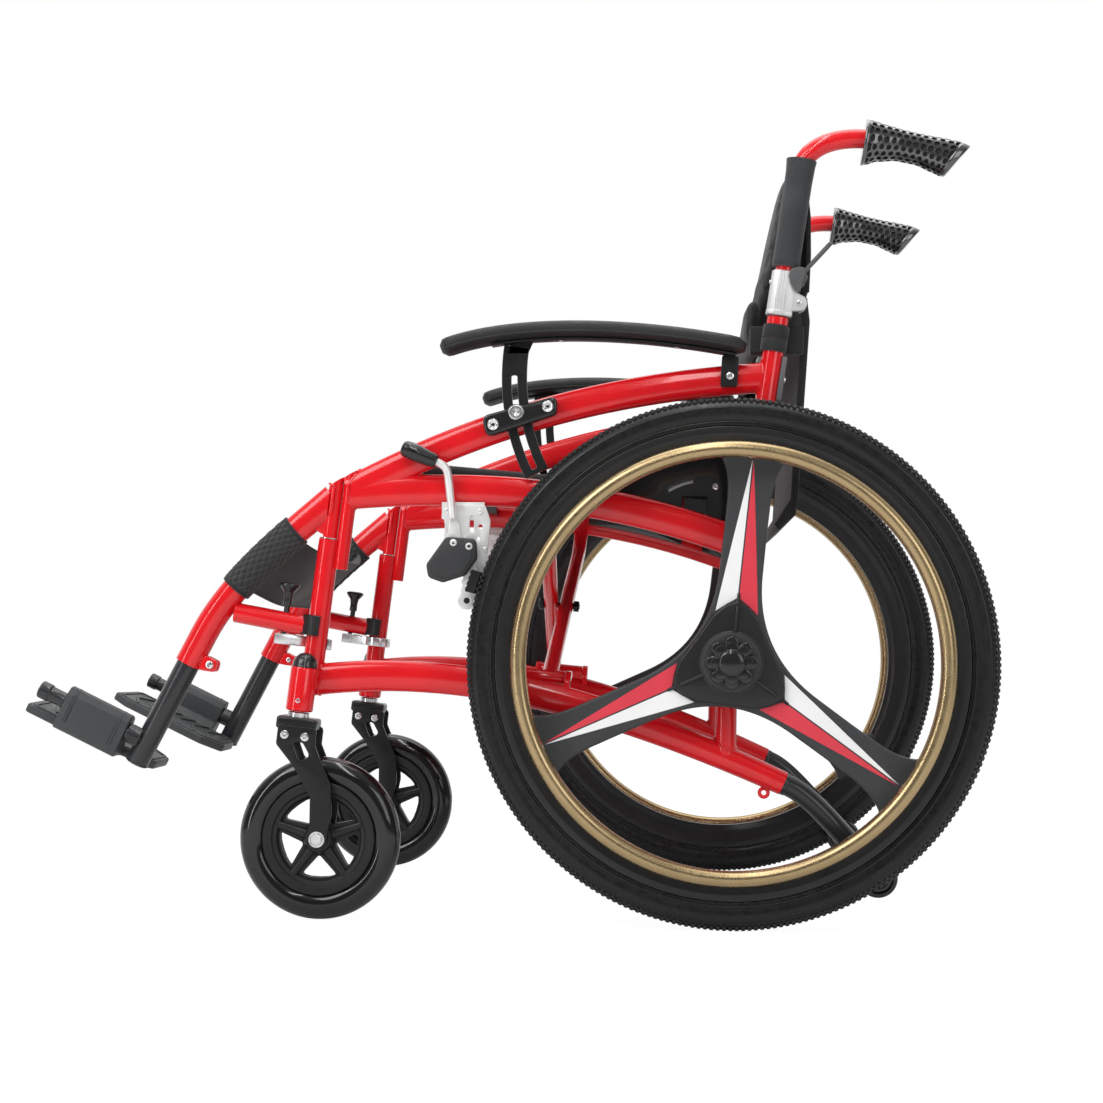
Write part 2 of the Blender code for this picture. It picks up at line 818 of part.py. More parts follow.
def hub_cap():
    """The lobed knob on the hub, with a domed middle."""
    face = HALF_TRACK + HUB_THICKNESS / 2 + GAP
    steps = HUB_KNOB_LOBES * 4
    rings = []
    levels = ((0.92, 0.0), (1.0, 0.25), (1.0, 0.75), (0.90, 1.0))
    for scale, height in levels:
        ring = []
        for i in range(steps):
            angle = 2 * math.pi * i / steps
            radius = HUB_KNOB_RADIUS * scale * (0.93 + 0.07 * math.cos(HUB_KNOB_LOBES * angle))
            ring.append(wheel_centre(face + HUB_KNOB_THICKNESS * height) + direction(angle) * radius)
        rings.append(ring)
    knob = skin(rings)
    dome = turned(
        [(0.016, -0.004), (0.016, 0.001), (0.012, 0.0035), (0.005, 0.005)],
        wheel_centre(face + HUB_KNOB_THICKNESS),
        X_AXIS,
        12,
    )
    return joined(knob, dome)


def axle():
    """The wheel's pin, with its head inside the rear post."""
    inner = FRAME_X - POST_DIAMETER / 2
    shank = bar(
        wheel_centre(inner - 0.002), wheel_centre(HALF_TRACK + HUB_THICKNESS / 2), AXLE_DIAMETER / 2, 12
    )
    head = bar(wheel_centre(inner - 0.007), wheel_centre(inner - GAP), 0.011, 6)
    return joined(shank, head)


# Caster

def caster_centre():
    axis_point = along_housing((CASTER_RADIUS - CASTER_HOUSING_Z) / math.cos(FRONT_POST_LEAN))
    centre = axis_point + direction(-FRONT_POST_LEAN) * CASTER_TRAIL
    return Vector((CASTER_X, centre.y, CASTER_RADIUS))


CROWN_TOP = -0.0335
CROWN_THICKNESS = 0.015


def caster_fork():
    hub = caster_centre()
    crown_top = along_housing(CROWN_TOP)
    down = -FRONT_POST_AXIS
    back = direction(-FRONT_POST_LEAN)
    gap_half = CASTER_WIDTH / 2 + 0.0025
    crown_bottom = crown_top + down * CROWN_THICKNESS
    crown = prism(
        rounded([(-0.024, 0.0), (0.024, 0.0), (0.024, CROWN_THICKNESS), (-0.024, CROWN_THICKNESS)],
                0.005, 1),
        crown_top - X_AXIS * (gap_half + FORK_PLATE),
        back,
        down,
        X_AXIS * 2 * (gap_half + FORK_PLATE),
    )
    top = crown_top
    leg_outline = [
        (top + back * -0.024 + down * 0.004),
        (top + back * -0.023 + down * 0.031),
        (top + back * -0.009 + down * 0.060),
        hub + direction(math.pi) * 0.0115,
        hub + direction(math.radians(-120)) * 0.0115,
        hub + direction(math.radians(-60)) * 0.0115,
        hub + direction(0) * 0.0115,
        (top + back * 0.026 + down * 0.052),
        (top + back * 0.021 + down * 0.030),
        (top + back * 0.024 + down * 0.004),
    ]
    legs = []
    for inner_face in (-gap_half - FORK_PLATE, gap_half):
        x = CASTER_X + inner_face
        leg = plate([(p.y, p.z) for p in leg_outline], x, x + FORK_PLATE)
        window = plate(
            rounded(
                [
                    tuple((top + back * a + down * b).yz)
                    for a, b in ((-0.0055, 0.0235), (0.0035, 0.0275), (0.0165, 0.0495), (0.0075, 0.0465))
                ],
                0.004,
                1,
            ),
            x - 0.01,
            x + FORK_PLATE + 0.01,
        )
        legs.append(cut(leg, window))
    stem = bar(crown_bottom, along_housing(0.010), CASTER_STEM / 2, 12)
    collar_top = -CASTER_HOUSING_LENGTH / 2 - RUNNING_GAP
    collar = bar(along_housing(CROWN_TOP - 0.002), along_housing(collar_top), 0.0125, 12)
    bolt_half = gap_half + FORK_PLATE + 0.004
    bolt = bar(hub - X_AXIS * bolt_half, hub + X_AXIS * bolt_half, 0.005, 10)
    nuts = []
    for sign in (-1, 1):
        start = hub + X_AXIS * sign * (gap_half + FORK_PLATE - 0.001)
        nuts.append(bar(start, start + X_AXIS * sign * 0.004, 0.0075, 6))
    return joined(crown, *legs, stem, collar, bolt, *nuts)


def caster_wheel():
    hub = caster_centre()
    half = CASTER_WIDTH / 2
    bore = 0.005 + GAP
    profile = [
        (bore, -half),
        (0.018, -half),
        (0.021, -0.006),
        (0.053, -0.006),
        (0.062, -half),
        (CASTER_RADIUS - 0.006, -half),
        (CASTER_RADIUS, -half * 0.45),
    ]
    profile += [(r, -h) for r, h in reversed(profile)]
    disc = lathe(profile, hub, X_AXIS, 24)
    windows = []
    for i in range(CASTER_SPOKES):
        middle = 90 + 360 * (i + 0.5) / CASTER_SPOKES
        outline = arc(hub.y, hub.z, 0.049, middle - 26, middle + 26, 3)
        outline += arc(hub.y, hub.z, 0.0235, middle + 14, middle - 14, 1)
        windows.append(plate(outline, hub.x - 0.012, hub.x + 0.012))
    return cut(disc, *windows)


# Hanger, foot tube and footplate

FOOT_AXIS = direction(-math.pi / 2 - FOOT_TUBE_LEAN)


def hanger_path():
    start = point(on_front_post(0.4965), 0.4965)
    end = point(HANGER_END_Y, HANGER_END_Z)
    straight = end - FOOT_AXIS * 0.040
    top_direction = direction(math.pi + HANGER_TOP_SLOPE)
    curve = bezier(start, start + top_direction * 0.062, straight - FOOT_AXIS * 0.075, straight, 7)
    return curve + [end]


def hanger_size(t, grow=0.0):
    blend = min(1.0, t / 0.75)
    half_across = (TUBE_WIDTH + (HANGER_END_DIAMETER - TUBE_WIDTH) * blend) / 2
    half_high = (HANGER_HEIGHT + (HANGER_END_DIAMETER - HANGER_HEIGHT) * blend) / 2
    return half_across + grow, half_high + grow


def hanger():
    path = hanger_path()
    post_axis = point(on_front_post(0.48), 0.48)
    main = swept(path, hanger_size, 12)
    end_plane = post_axis - direction(-FRONT_POST_LEAN) * HANGER_TUBE_SETBACK
    main = trimmed(main, end_plane, direction(-FRONT_POST_LEAN))
    joint_z = FRONT_POST_TOP + RUNNING_GAP
    foot = point(on_front_post(joint_z), joint_z)
    pin_tube = bar(foot, point(on_front_post(0.525), 0.525), TWIN_TUBE_DIAMETER / 2, 12)
    cap_plane = point(on_front_post(0.5160), 0.5160)
    pin_tube = trimmed(pin_tube, cap_plane, direction(math.pi / 2 + HANGER_TOP_SLOPE * 0.8))
    gusset = plate(
        [
            (on_front_post(joint_z + 0.001), joint_z + 0.001),
            (on_front_post(0.505), 0.505),
            (on_front_post(0.505) - 0.030, 0.485),
            (on_front_post(joint_z) - 0.020, joint_z + 0.012),
        ],
        FRAME_X - 0.006,
        FRAME_X + 0.006,
    )
    pin = bar(foot - FRONT_POST_AXIS * 0.024, foot + FRONT_POST_AXIS * 0.005, HANGER_PIN / 2, 12)
    bush_middle = point(on_front_post(SADDLE_BUSH_Z), SADDLE_BUSH_Z)
    strut_start = point(HANGER_STRUT_Y, HANGER_STRUT_Z)
    strut = bar(strut_start, bush_middle + direction(math.pi) * 0.016, HANGER_STRUT_DIAMETER / 2, 10)
    bush_half = FRONT_POST_AXIS * (SADDLE_BUSH_LENGTH / 2)
    bush = bar(bush_middle - bush_half, bush_middle + bush_half, 0.0195, 14)
    bush = trimmed(bush, bush_middle + direction(0) * 0.004, direction(-FRONT_POST_LEAN))
    ear = plate(
        rounded([(-0.634, 0.290), (-0.612, 0.287), (-0.609, 0.300), (-0.625, 0.308)], 0.005, 1),
        FRAME_X - 0.009,
        FRAME_X + 0.009,
    )
    ear_bolt = bar(point(-0.6185, 0.2960, FRAME_X - 0.012), point(-0.6185, 0.2960, FRAME_X + 0.012), 0.004, 8)
    shape = joined(main, pin_tube, gusset, pin, strut, bush, ear, ear_bolt)
    end = path[-1]
    stem_foot, stem_top = knob_line()
    bush_bore = (POST_DIAMETER / 2 + GAP) / math.cos(math.pi / 14)
    return cut(
        shape,
        bar(bush_middle - bush_half * 3, bush_middle + bush_half * 3, bush_bore, 14),
        bar(end + FOOT_AXIS * 0.01, end - FOOT_AXIS * 0.076, FOOT_TUBE_DIAMETER / 2 + GAP, 14),
        bar(stem_foot - FRONT_POST_AXIS * 0.01, stem_top, KNOB_STEM / 2 + RUNNING_GAP, 10),
    )


KNOB_STEM = 0.007
LATCH_TRAVEL = 0.004


def latch_top():
    return point(on_front_post(LATCH_PLATE_Z), LATCH_PLATE_Z) + FRONT_POST_AXIS * (LATCH_PLATE_HEIGHT / 2)


def knob_line():
    """The foot and the top of the latch stem, beside the post and along it."""
    foot = latch_top() + direction(math.pi - FRONT_POST_LEAN) * LATCH_KNOB_OUT
    return foot, foot + FRONT_POST_AXIS * 0.060


def hanger_latch():
    """A flat hook round the inner side of the post, on an arm below the strut."""
    top = latch_top()
    back = direction(-FRONT_POST_LEAN)
    inner = POST_DIAMETER / 2 + RUNNING_GAP
    outer = inner + 0.0055
    outline = [(inner * math.cos(a), inner * math.sin(a)) for a in latch_angles(-78, 98)]
    outline += [(outer * math.cos(a), outer * math.sin(a)) for a in latch_angles(98, -52)]
    outline += [(0.010, -LATCH_ARM), (-0.008, -LATCH_ARM)]
    return prism(outline, top, -X_AXIS, back, -FRONT_POST_AXIS * LATCH_PLATE_HEIGHT)


def latch_angles(start, end, count=6):
    return [math.radians(start + (end - start) * i / count) for i in range(count + 1)]


def latch_knob():
    foot, top = knob_line()
    profile = [
        (KNOB_STEM / 2, GAP),
        (KNOB_STEM / 2, 0.0335),
        (0.0052, 0.0335),
        (0.0052, 0.0480),
        (LATCH_KNOB_RADIUS * 0.92, 0.0565),
        (LATCH_KNOB_RADIUS, 0.0585),
        (LATCH_KNOB_RADIUS * 0.9, 0.0610),
    ]
    return turned(profile, foot, FRONT_POST_AXIS, 12)


def foot_tube_line():
    end = point(HANGER_END_Y, HANGER_END_Z)
    return end - FOOT_AXIS * FOOT_TUBE_INSERT, end + FOOT_AXIS * FOOT_TUBE_LENGTH


ROD_BACK = direction(-FOOTPLATE_SLOPE)
ROD_UP = direction(math.pi / 2 - FOOTPLATE_SLOPE)


def on_rod(along, up=0.0, x=HINGE_ROD_X):
    """A place by its distance along the footplate's hinge rod, from the rod's front end."""
    return point(HINGE_ROD_FRONT_Y, HINGE_ROD_FRONT_Z, x) + ROD_BACK * along + ROD_UP * up


def foot_tube():
    top, bottom = foot_tube_line()
    tube = bar(top, bottom, FOOT_TUBE_DIAMETER / 2, 14)
    block_end = FOOTPLATE_BLOCK_START + FOOTPLATE_BLOCK_LENGTH
    rod = bar(on_rod(FOOTPLATE_BLOCK_START - 0.002), on_rod(block_end + 0.02), HINGE_ROD_DIAMETER / 2, 12)
    head = bar(on_rod(0.0), on_rod(FOOTPLATE_BLOCK_START - RUNNING_GAP), HINGE_ROD_HEAD / 2, 12)
    collar = bar(on_rod(block_end + RUNNING_GAP), on_rod(block_end + 0.019), 0.0115, 12)
    return joined(tube, rod, head, collar)


def footplate():
    block_end = FOOTPLATE_BLOCK_START + FOOTPLATE_BLOCK_LENGTH
    half = FOOTPLATE_BLOCK_WIDTH / 2
    bottom = -FOOTPLATE_DROP - FOOTPLATE_THICKNESS
    section = [
        (half, bottom + 0.004),
        (half, FOOTPLATE_BLOCK_TOP - 0.009),
        (half * 0.62, FOOTPLATE_BLOCK_TOP - 0.001),
        (0.0, FOOTPLATE_BLOCK_TOP),
        (-half * 0.62, FOOTPLATE_BLOCK_TOP - 0.003),
        (-half, FOOTPLATE_BLOCK_TOP - 0.011),
        (-half, -FOOTPLATE_DROP + 0.010),
        (-half - 0.010, -FOOTPLATE_DROP),
        (-half - 0.010, bottom + 0.001),
        (half - 0.004, bottom),
    ]
    block = prism(
        section, on_rod(FOOTPLATE_BLOCK_START), X_AXIS, ROD_UP, ROD_BACK * FOOTPLATE_BLOCK_LENGTH
    )
    tread_x = HINGE_ROD_X - half
    start = FOOTPLATE_START
    end = start + FOOTPLATE_LENGTH
    outline = [
        (tread_x + 0.012, start + 0.004),
        (tread_x + 0.012, FOOTPLATE_BLOCK_START + 0.01),
        (tread_x + 0.006, block_end - 0.002),
        (FRAME_X - FOOT_TUBE_DIAMETER / 2 - 0.0045, block_end + 0.002),
        (FRAME_X - FOOT_TUBE_DIAMETER / 2 - 0.0045, end - 0.006),
        (FRAME_X - FOOT_TUBE_DIAMETER / 2 - 0.016, end),
        (FOOTPLATE_INNER_X + 0.020, end),
        (FOOTPLATE_INNER_X, end - 0.030),
        (FOOTPLATE_INNER_X, start + 0.022),
        (FOOTPLATE_INNER_X + 0.016, start),
    ]
    origin = on_rod(0.0, bottom, 0.0)
    tread = prism(outline, origin, X_AXIS, ROD_BACK, ROD_UP * FOOTPLATE_THICKNESS)
    ribs = []
    middle_x = (tread_x + FOOTPLATE_INNER_X) / 2
    for i in range(6):
        front = start + 0.020 + i * 0.022
        for sign in (-1, 1):
            tip = middle_x - 0.0005 * sign
            reach = middle_x - sign * (middle_x - FOOTPLATE_INNER_X - 0.010)
            rib = [(tip, front), (reach, front + 0.014), (reach, front + 0.0175), (tip, front + 0.0035)]
            ribs.append(
                prism(rib, on_rod(0.0, -FOOTPLATE_DROP - 0.001, 0.0), X_AXIS, ROD_BACK, ROD_UP * 0.0025)
            )
    bore = bar(on_rod(FOOTPLATE_BLOCK_START - 0.02), on_rod(block_end + 0.02),
               HINGE_ROD_DIAMETER / 2 + GAP, 12)
    return cut(joined(block, tread, *ribs), bore)


def calf_strap():
    """The quilted sleeve round the hanger and its half of the calf band."""
    path = hanger_path()
    first = 2
    last = 5
    share = 1 / (len(path) - 1)
    part = path[first:last + 1]
    outer = swept(
        part, lambda t: hanger_size((first + t * (last - first)) * share, GAP + CALF_SLEEVE_WALL), 12
    )
    inner = swept(path, lambda t: hanger_size(t, GAP), 12)
    sleeve = cut(outer, inner)
    rings = []
    for i in range(5):
        t = i / 4
        x = FRAME_X - 0.0125 - (FRAME_X - 0.0125 - GAP) * t
        back = 0.006 + 0.026 * math.sin(math.pi / 2 * min(1.0, 1.6 * t))
        top = part[0].lerp(part[-1], 0.06)
        foot = part[0].lerp(part[-1], 0.94)
        way = (foot - top).normalized()
        out = Vector((0.0, -way.z, way.y))
        corners = []
        for place, rise in ((top, 0.0), (top, 0.003), (foot, 0.003), (foot, 0.0)):
            corners.append(Vector((x, place.y, place.z)) + out * (back + rise))
        rings.append(corners)
    flap = cut(skin(rings), swept(path, lambda t: hanger_size(t, GAP), 12))
    return joined(sleeve, flap)


# Armrest

def from_arm_pivot(radius, degrees):
    angle = math.radians(degrees)
    return (ARM_PIVOT_Y + radius * math.cos(angle), ARM_PIVOT_Z + radius * math.sin(angle))


PAD_TOP_FRONT_Z = 0.6830
PAD_CREST_Z = 0.7043
PAD_TOP_REAR_Z = 0.6846
PAD_THICKNESS = 0.0205


def pad_line(count=9):
    """The middle of the armrest pad: a droop at the front, a long crown and a fall to the rear."""
    rear = point(ARM_PAD_REAR_Y, PAD_TOP_REAR_Z - PAD_THICKNESS / 2, ARM_PAD_X)
    front = point(ARM_PAD_FRONT_Y + 0.004, PAD_TOP_FRONT_Z - PAD_THICKNESS / 2, ARM_PAD_X)
    crest = PAD_CREST_Z - PAD_THICKNESS / 2
    line = bezier(
        front,
        point(ARM_PAD_FRONT_Y + 0.075, crest + 0.008, ARM_PAD_X),
        point(-0.130, crest + 0.010, ARM_PAD_X),
        rear,
        count,
    )
    line.insert(1, line[0].lerp(line[1], 0.25))
    line.insert(-1, line[-1].lerp(line[-2], 0.25))
    return line


def arm_pad():
    def size(t):
        end = min(t, 1 - t)
        taper = min(1.0, 0.55 + math.sqrt(end / 0.05) * 0.45)
        return ARM_PAD_WIDTH / 2 * taper, PAD_THICKNESS / 2 * min(1.0, taper * 1.05)

    return swept(pad_line(), size, 10, power=2.6)


def arm_bar():
    """The slotted bar, the strip under the pad and the rear pivot plate, in one."""
    half = ARM_BAR_WIDTH / 2
    x_start = FRAME_X + TUBE_WIDTH / 2 + GAP
    x_end = x_start + ARM_BAR_THICKNESS
    outline = [from_arm_pivot(ARM_BAR_RADIUS + half, 172 + 35 * i / 7) for i in range(8)]
    outline += [from_arm_pivot(ARM_BAR_RADIUS - half, 207 - 35 * i / 7) for i in range(8)]
    slotted = plate(outline, x_start, x_end)
    web = [(-0.2640, 0.6680), (-0.2405, 0.6680), (-0.2345, 0.6818), (-0.2620, 0.6795)]
    slot = [from_arm_pivot(ARM_BAR_RADIUS + ARM_SLOT_WIDTH / 2, 179.7 + 25.9 * i / 6) for i in range(7)]
    slot += [from_arm_pivot(ARM_BAR_RADIUS - ARM_SLOT_WIDTH / 2, 205.6 - 25.9 * i / 6) for i in range(7)]
    slotted = cut(slotted, plate(slot, x_start - 0.01, x_end + 0.01))
    pivot_plate = plate(
        rounded(
            [
                (ARM_PIVOT_Y - 0.0115, ARM_PIVOT_Z - 0.0125),
                (ARM_PIVOT_Y + 0.0085, ARM_PIVOT_Z - 0.0125),
                (ARM_PIVOT_Y + 0.0105, ARM_PIVOT_Z + 0.0235),
                (ARM_PIVOT_Y - 0.0095, ARM_PIVOT_Z + 0.0252),
            ],
            0.003,
            2,
        ),
        x_start,
        x_end,
    )
    line = pad_line()
    drop = PAD_THICKNESS / 2 + GAP
    rings = []
    for i in range(3, len(line)):
        tangent = (line[min(i + 1, len(line) - 1)] - line[i - 1]).normalized()
        below = X_AXIS.cross(tangent)
        below = below if below.z < 0 else -below
        edge = line[i] + below * drop
        ring = []
        for x, depth in ((x_start, 0.0), (x_start + 0.020, 0.0), (x_start + 0.020, 0.0028), (x_start, 0.0028)):
            ring.append(Vector((x, edge.y, edge.z)) + below * depth)
        rings.append(ring)
    strip = skin(rings)
    screw = bar(
        point(ARM_PIVOT_Y, ARM_PIVOT_Z, x_end - 0.001), point(ARM_PIVOT_Y, ARM_PIVOT_Z, x_end + 0.003), 0.006, 8
    )
    return joined(slotted, plate(web, x_start, x_end), pivot_plate, strip, screw)


CLAMP_ANGLE = 190


def arm_clamp():
    """The moulded clamp on the arch, with a curved channel for the bar and its bolt."""
    x_start = FRAME_X + TUBE_WIDTH / 2 + GAP
    x_end = 0.2575
    block = plate(
        rounded([(-0.2935, 0.5925), (-0.2885, 0.5670), (-0.2045, 0.5945), (-0.2045, 0.6170)], 0.007, 2),
        x_start,
        x_end,
    )
    half = ARM_BAR_WIDTH / 2 + RUNNING_GAP
    channel = [from_arm_pivot(ARM_BAR_RADIUS + half, 180 + 20 * i / 3) for i in range(4)]
    channel += [from_arm_pivot(ARM_BAR_RADIUS - half, 200 - 20 * i / 3) for i in range(4)]
    block = cut(block, plate(channel, x_start - 0.01, x_start + ARM_BAR_THICKNESS + RUNNING_GAP))
    y, z = from_arm_pivot(ARM_BAR_RADIUS, CLAMP_ANGLE)
    shank = bar(point(y, z, x_start), point(y, z, x_end), 0.0029, 10)
    head = bar(point(y, z, x_end - 0.001), point(y, z, x_end + 0.003), 0.0095, 12)
    return joined(block, shank, head)


# Brake

BRAKE_LAYER = FRAME_X + TUBE_WIDTH / 2 + GAP
BRAKE_PLATE_THICKNESS = 0.003
LEVER_PLATE_THICKNESS = 0.004
COVER_START = BRAKE_LAYER + BRAKE_PLATE_THICKNESS + LEVER_PLATE_THICKNESS + 2 * RUNNING_GAP
COVER_END = COVER_START + 0.008
BRAKE_PIN = 0.006


def brake_plate():
    """The bracket that is clamped under the mid rail, with the cover over the two pivots."""
    main = plate(
        [
            (-0.3420, 0.4890),
            (-0.3375, 0.4640),
            (-0.3400, 0.4330),
            (-0.3020, 0.4270),
            (-0.2905, 0.4250),
            (-0.2832, 0.4700),
            (-0.2900, 0.4880),
        ],
        BRAKE_LAYER,
        BRAKE_LAYER + BRAKE_PLATE_THICKNESS,
    )
    clamp = plate(
        [(-0.3420, 0.4730), (-0.2900, 0.4715), (-0.2900, 0.4920), (-0.3420, 0.4920)],
        FRAME_X - 0.008,
        BRAKE_LAYER + 0.0005,
    )
    clamp = cut(clamp, mid_rail_mesh(GAP))
    cover = plate(
        rounded(
            [
                (-0.3350, 0.4495),
                (-0.2985, 0.4475),
                (-0.2975, 0.4240),
                (-0.3115, 0.4040),
                (-0.3380, 0.3955),
                (-0.3555, 0.4015),
                (-0.3580, 0.4170),
            ],
            0.006,
            1,
        ),
        COVER_START,
        COVER_END,
    )
    pins = []
    for y, z in ((BRAKE_LEVER_Y, BRAKE_LEVER_Z), (BRAKE_SHOE_PIVOT_Y, BRAKE_SHOE_PIVOT_Z)):
        pins.append(bar(point(y, z, BRAKE_LAYER + 0.001), point(y, z, COVER_START + 0.001), BRAKE_PIN / 2, 10))
        pins.append(bar(point(y, z, COVER_END - 0.001), point(y, z, COVER_END + 0.002), 0.0042, 8))
    return joined(main, clamp, cover, *pins)


def brake_lever():
    x = BRAKE_LAYER + BRAKE_PLATE_THICKNESS + RUNNING_GAP
    hub = arc(BRAKE_LEVER_Y, BRAKE_LEVER_Z, 0.0085, 180, 360, 6)
    arm = plate(hub + [(-0.3205, 0.4660), (-0.3320, 0.4660)], x, x + LEVER_PLATE_THICKNESS)
    bar_x = x + BRAKE_BAR_DIAMETER / 2 + 0.0015
    grip_start = Vector((BRAKE_GRIP_X, -0.3474, 0.5385))
    grip_end = Vector((BRAKE_GRIP_X, -0.3881, 0.5556))
    along = (grip_end - grip_start).normalized()
    foot = Vector((bar_x, -0.3264, 0.4590))
    bend = bezier(
        Vector((bar_x, -0.3312, 0.5040)),
        Vector((bar_x, -0.3345, 0.5310)),
        grip_start - along * 0.016,
        grip_start + along * 0.003,
        4,
    )
    rod = round_tube([foot] + bend, BRAKE_BAR_DIAMETER / 2, 8)
    radius = BRAKE_GRIP_DIAMETER / 2
    length = (grip_end - grip_start).length
    grip = turned(
        [
            (radius * 0.75, 0.0),
            (radius * 0.84, 0.004),
            (radius, length * 0.55),
            (radius, length - 0.008),
            (radius * 0.82, length - 0.002),
            (radius * 0.45, length),
        ],
        grip_start,
        along,
        12,
    )
    pivot = bar(
        point(BRAKE_LEVER_Y, BRAKE_LEVER_Z, x - 0.01), point(BRAKE_LEVER_Y, BRAKE_LEVER_Z, x + 0.02),
        BRAKE_PIN / 2 + GAP, 12,
    )
    return cut(joined(arm, rod, grip), pivot)


def brake_shoe():
    x = BRAKE_LAYER + BRAKE_PLATE_THICKNESS + RUNNING_GAP
    reach = TYRE_RADIUS + BRAKE_SHOE_RADIUS + BRAKE_SHOE_GAP
    shoe_y = -math.sqrt(reach**2 - BRAKE_SHOE_HEIGHT**2)
    shoe_z = TYRE_RADIUS + BRAKE_SHOE_HEIGHT
    hub = arc(BRAKE_SHOE_PIVOT_Y, BRAKE_SHOE_PIVOT_Z, 0.0075, 0, 180, 6)
    eye_y = shoe_y - BRAKE_EYE_AHEAD
    eye_z = shoe_z - BRAKE_EYE_BELOW
    arm = plate(
        hub
        + [(eye_y - 0.0050, eye_z + 0.0355)]
        + arc(eye_y, eye_z, 0.0105, 180, 360, 6)
        + [(eye_y + 0.0125, eye_z + 0.0155), (eye_y + 0.0135, eye_z + 0.0305), (eye_y + 0.0110, eye_z + 0.0455)],
        x,
        x + LEVER_PLATE_THICKNESS,
    )
    shoe = bar(
        Vector((x + 0.001, shoe_y, shoe_z)),
        Vector((HALF_TRACK + TYRE_WIDTH / 2 - 0.004, shoe_y, shoe_z)),
        BRAKE_SHOE_RADIUS,
        12,
    )
    pivot = bar(
        point(BRAKE_SHOE_PIVOT_Y, BRAKE_SHOE_PIVOT_Z, x - 0.01),
        point(BRAKE_SHOE_PIVOT_Y, BRAKE_SHOE_PIVOT_Z, x + 0.02),
        BRAKE_PIN / 2 + GAP,
        12,
    )
    eye = bar(point(eye_y, eye_z, x - 0.01), point(eye_y, eye_z, x + 0.02), 0.0035, 10)
    return cut(joined(arm, shoe), pivot, eye)


# Side guard

def side_guard():
    """The black skirt between seat and wheel, screwed inside the mid rail and the rear post."""
    rail = mid_rail_path()
    outline = [(p.y, p.z - 0.004) for p in rail[3:]]
    outline[-1] = (outline[-1][0] - 0.002, outline[-1][1])
    outline += [(on_rear_post(0.575) - 0.004, 0.575), (-0.020, 0.583), (-0.080, 0.577), (-0.150, 0.557)]
    outline += [(-0.215, 0.533)]
    panel = plate(outline, GUARD_INNER_X, GUARD_INNER_X + GUARD_THICKNESS)
    slot = arc(-0.030, 0.440, 0.084, 124, 98, 4) + arc(-0.032, 0.452, 0.066, 98, 124, 4)
    screws = []
    for y, z in ((-0.0169, 0.5128), (-0.1500, 0.5020)):
        face = GUARD_INNER_X + GUARD_THICKNESS
        screws.append(bar(point(y, z, face - 0.001), point(y, z, face + 0.0015), 0.0045, 8))
    notch = [(-0.0600, 0.430), (-0.0205, 0.430), (-0.0205, 0.5025), (-0.0600, 0.5025)]
    panel = cut(
        panel,
        plate(slot, GUARD_INNER_X - 0.01, GUARD_INNER_X + 0.02),
        plate(notch, GUARD_INNER_X - 0.01, GUARD_INNER_X + 0.02),
    )
    return joined(panel, *screws)


GUARD_THICKNESS = 0.003
GUARD_INNER_X = FRAME_X - POST_DIAMETER / 2 - GAP - GUARD_THICKNESS


# Anti-tip tube and wheel

def anti_tip_tube():
    start = lower_rail_path()[-1] + direction(LOWER_RAIL_SLOPE) * GAP
    rail_way = direction(LOWER_RAIL_SLOPE)
    wheel_at = point(ANTI_TIP_WHEEL_Y, ANTI_TIP_WHEEL_Z)
    end_way = direction(math.radians(-47))
    end = point(ANTI_TIP_WHEEL_Y - 0.030, ANTI_TIP_WHEEL_Z + 0.038)
    path = [start, start + rail_way * 0.004]
    path += bezier(start + rail_way * 0.008, start + rail_way * 0.034, end - end_way * 0.030, end, 4)
    radius = ANTI_TIP_TUBE / 2
    tube = round_tube(path, radius, 12)
    spigot = bar(start - rail_way * 0.034, start + rail_way * 0.004, ANTI_TIP_SPIGOT / 2, 10)
    cheeks = []
    half = ANTI_TIP_WHEEL_WIDTH / 2 + 0.001
    outline = [(end.y - 0.010, end.z + 0.002), (end.y + 0.008, end.z + 0.012)]
    outline += [(wheel_at.y + 0.010, wheel_at.z + 0.003)] + arc(wheel_at.y, wheel_at.z, 0.009, 0, -180, 3)
    for x in (FRAME_X - half - 0.003, FRAME_X + half):
        cheeks.append(plate(outline, x, x + 0.003))
    pin_half = half + 0.005
    pin = bar(wheel_at - X_AXIS * pin_half, wheel_at + X_AXIS * pin_half, 0.004, 8)
    bridge = plate(
        [(end.y - 0.012, end.z + 0.008), (end.y + 0.004, end.z + 0.014), (end.y + 0.006, end.z - 0.006),
         (end.y - 0.008, end.z - 0.008)],
        FRAME_X - half - 0.002,
        FRAME_X + half + 0.002,
    )
    return joined(tube, spigot, *cheeks, bridge, pin)


def anti_tip_wheel():
    half = ANTI_TIP_WHEEL_WIDTH / 2
    radius = ANTI_TIP_WHEEL_RADIUS
    bore = 0.004 + GAP
    profile = [(bore, -half), (radius * 0.8, -half), (radius, -half * 0.6)]
    profile += [(r, -h) for r, h in reversed(profile)]
    return lathe(profile, point(ANTI_TIP_WHEEL_Y, ANTI_TIP_WHEEL_Z), X_AXIS, 16)


# Upper back

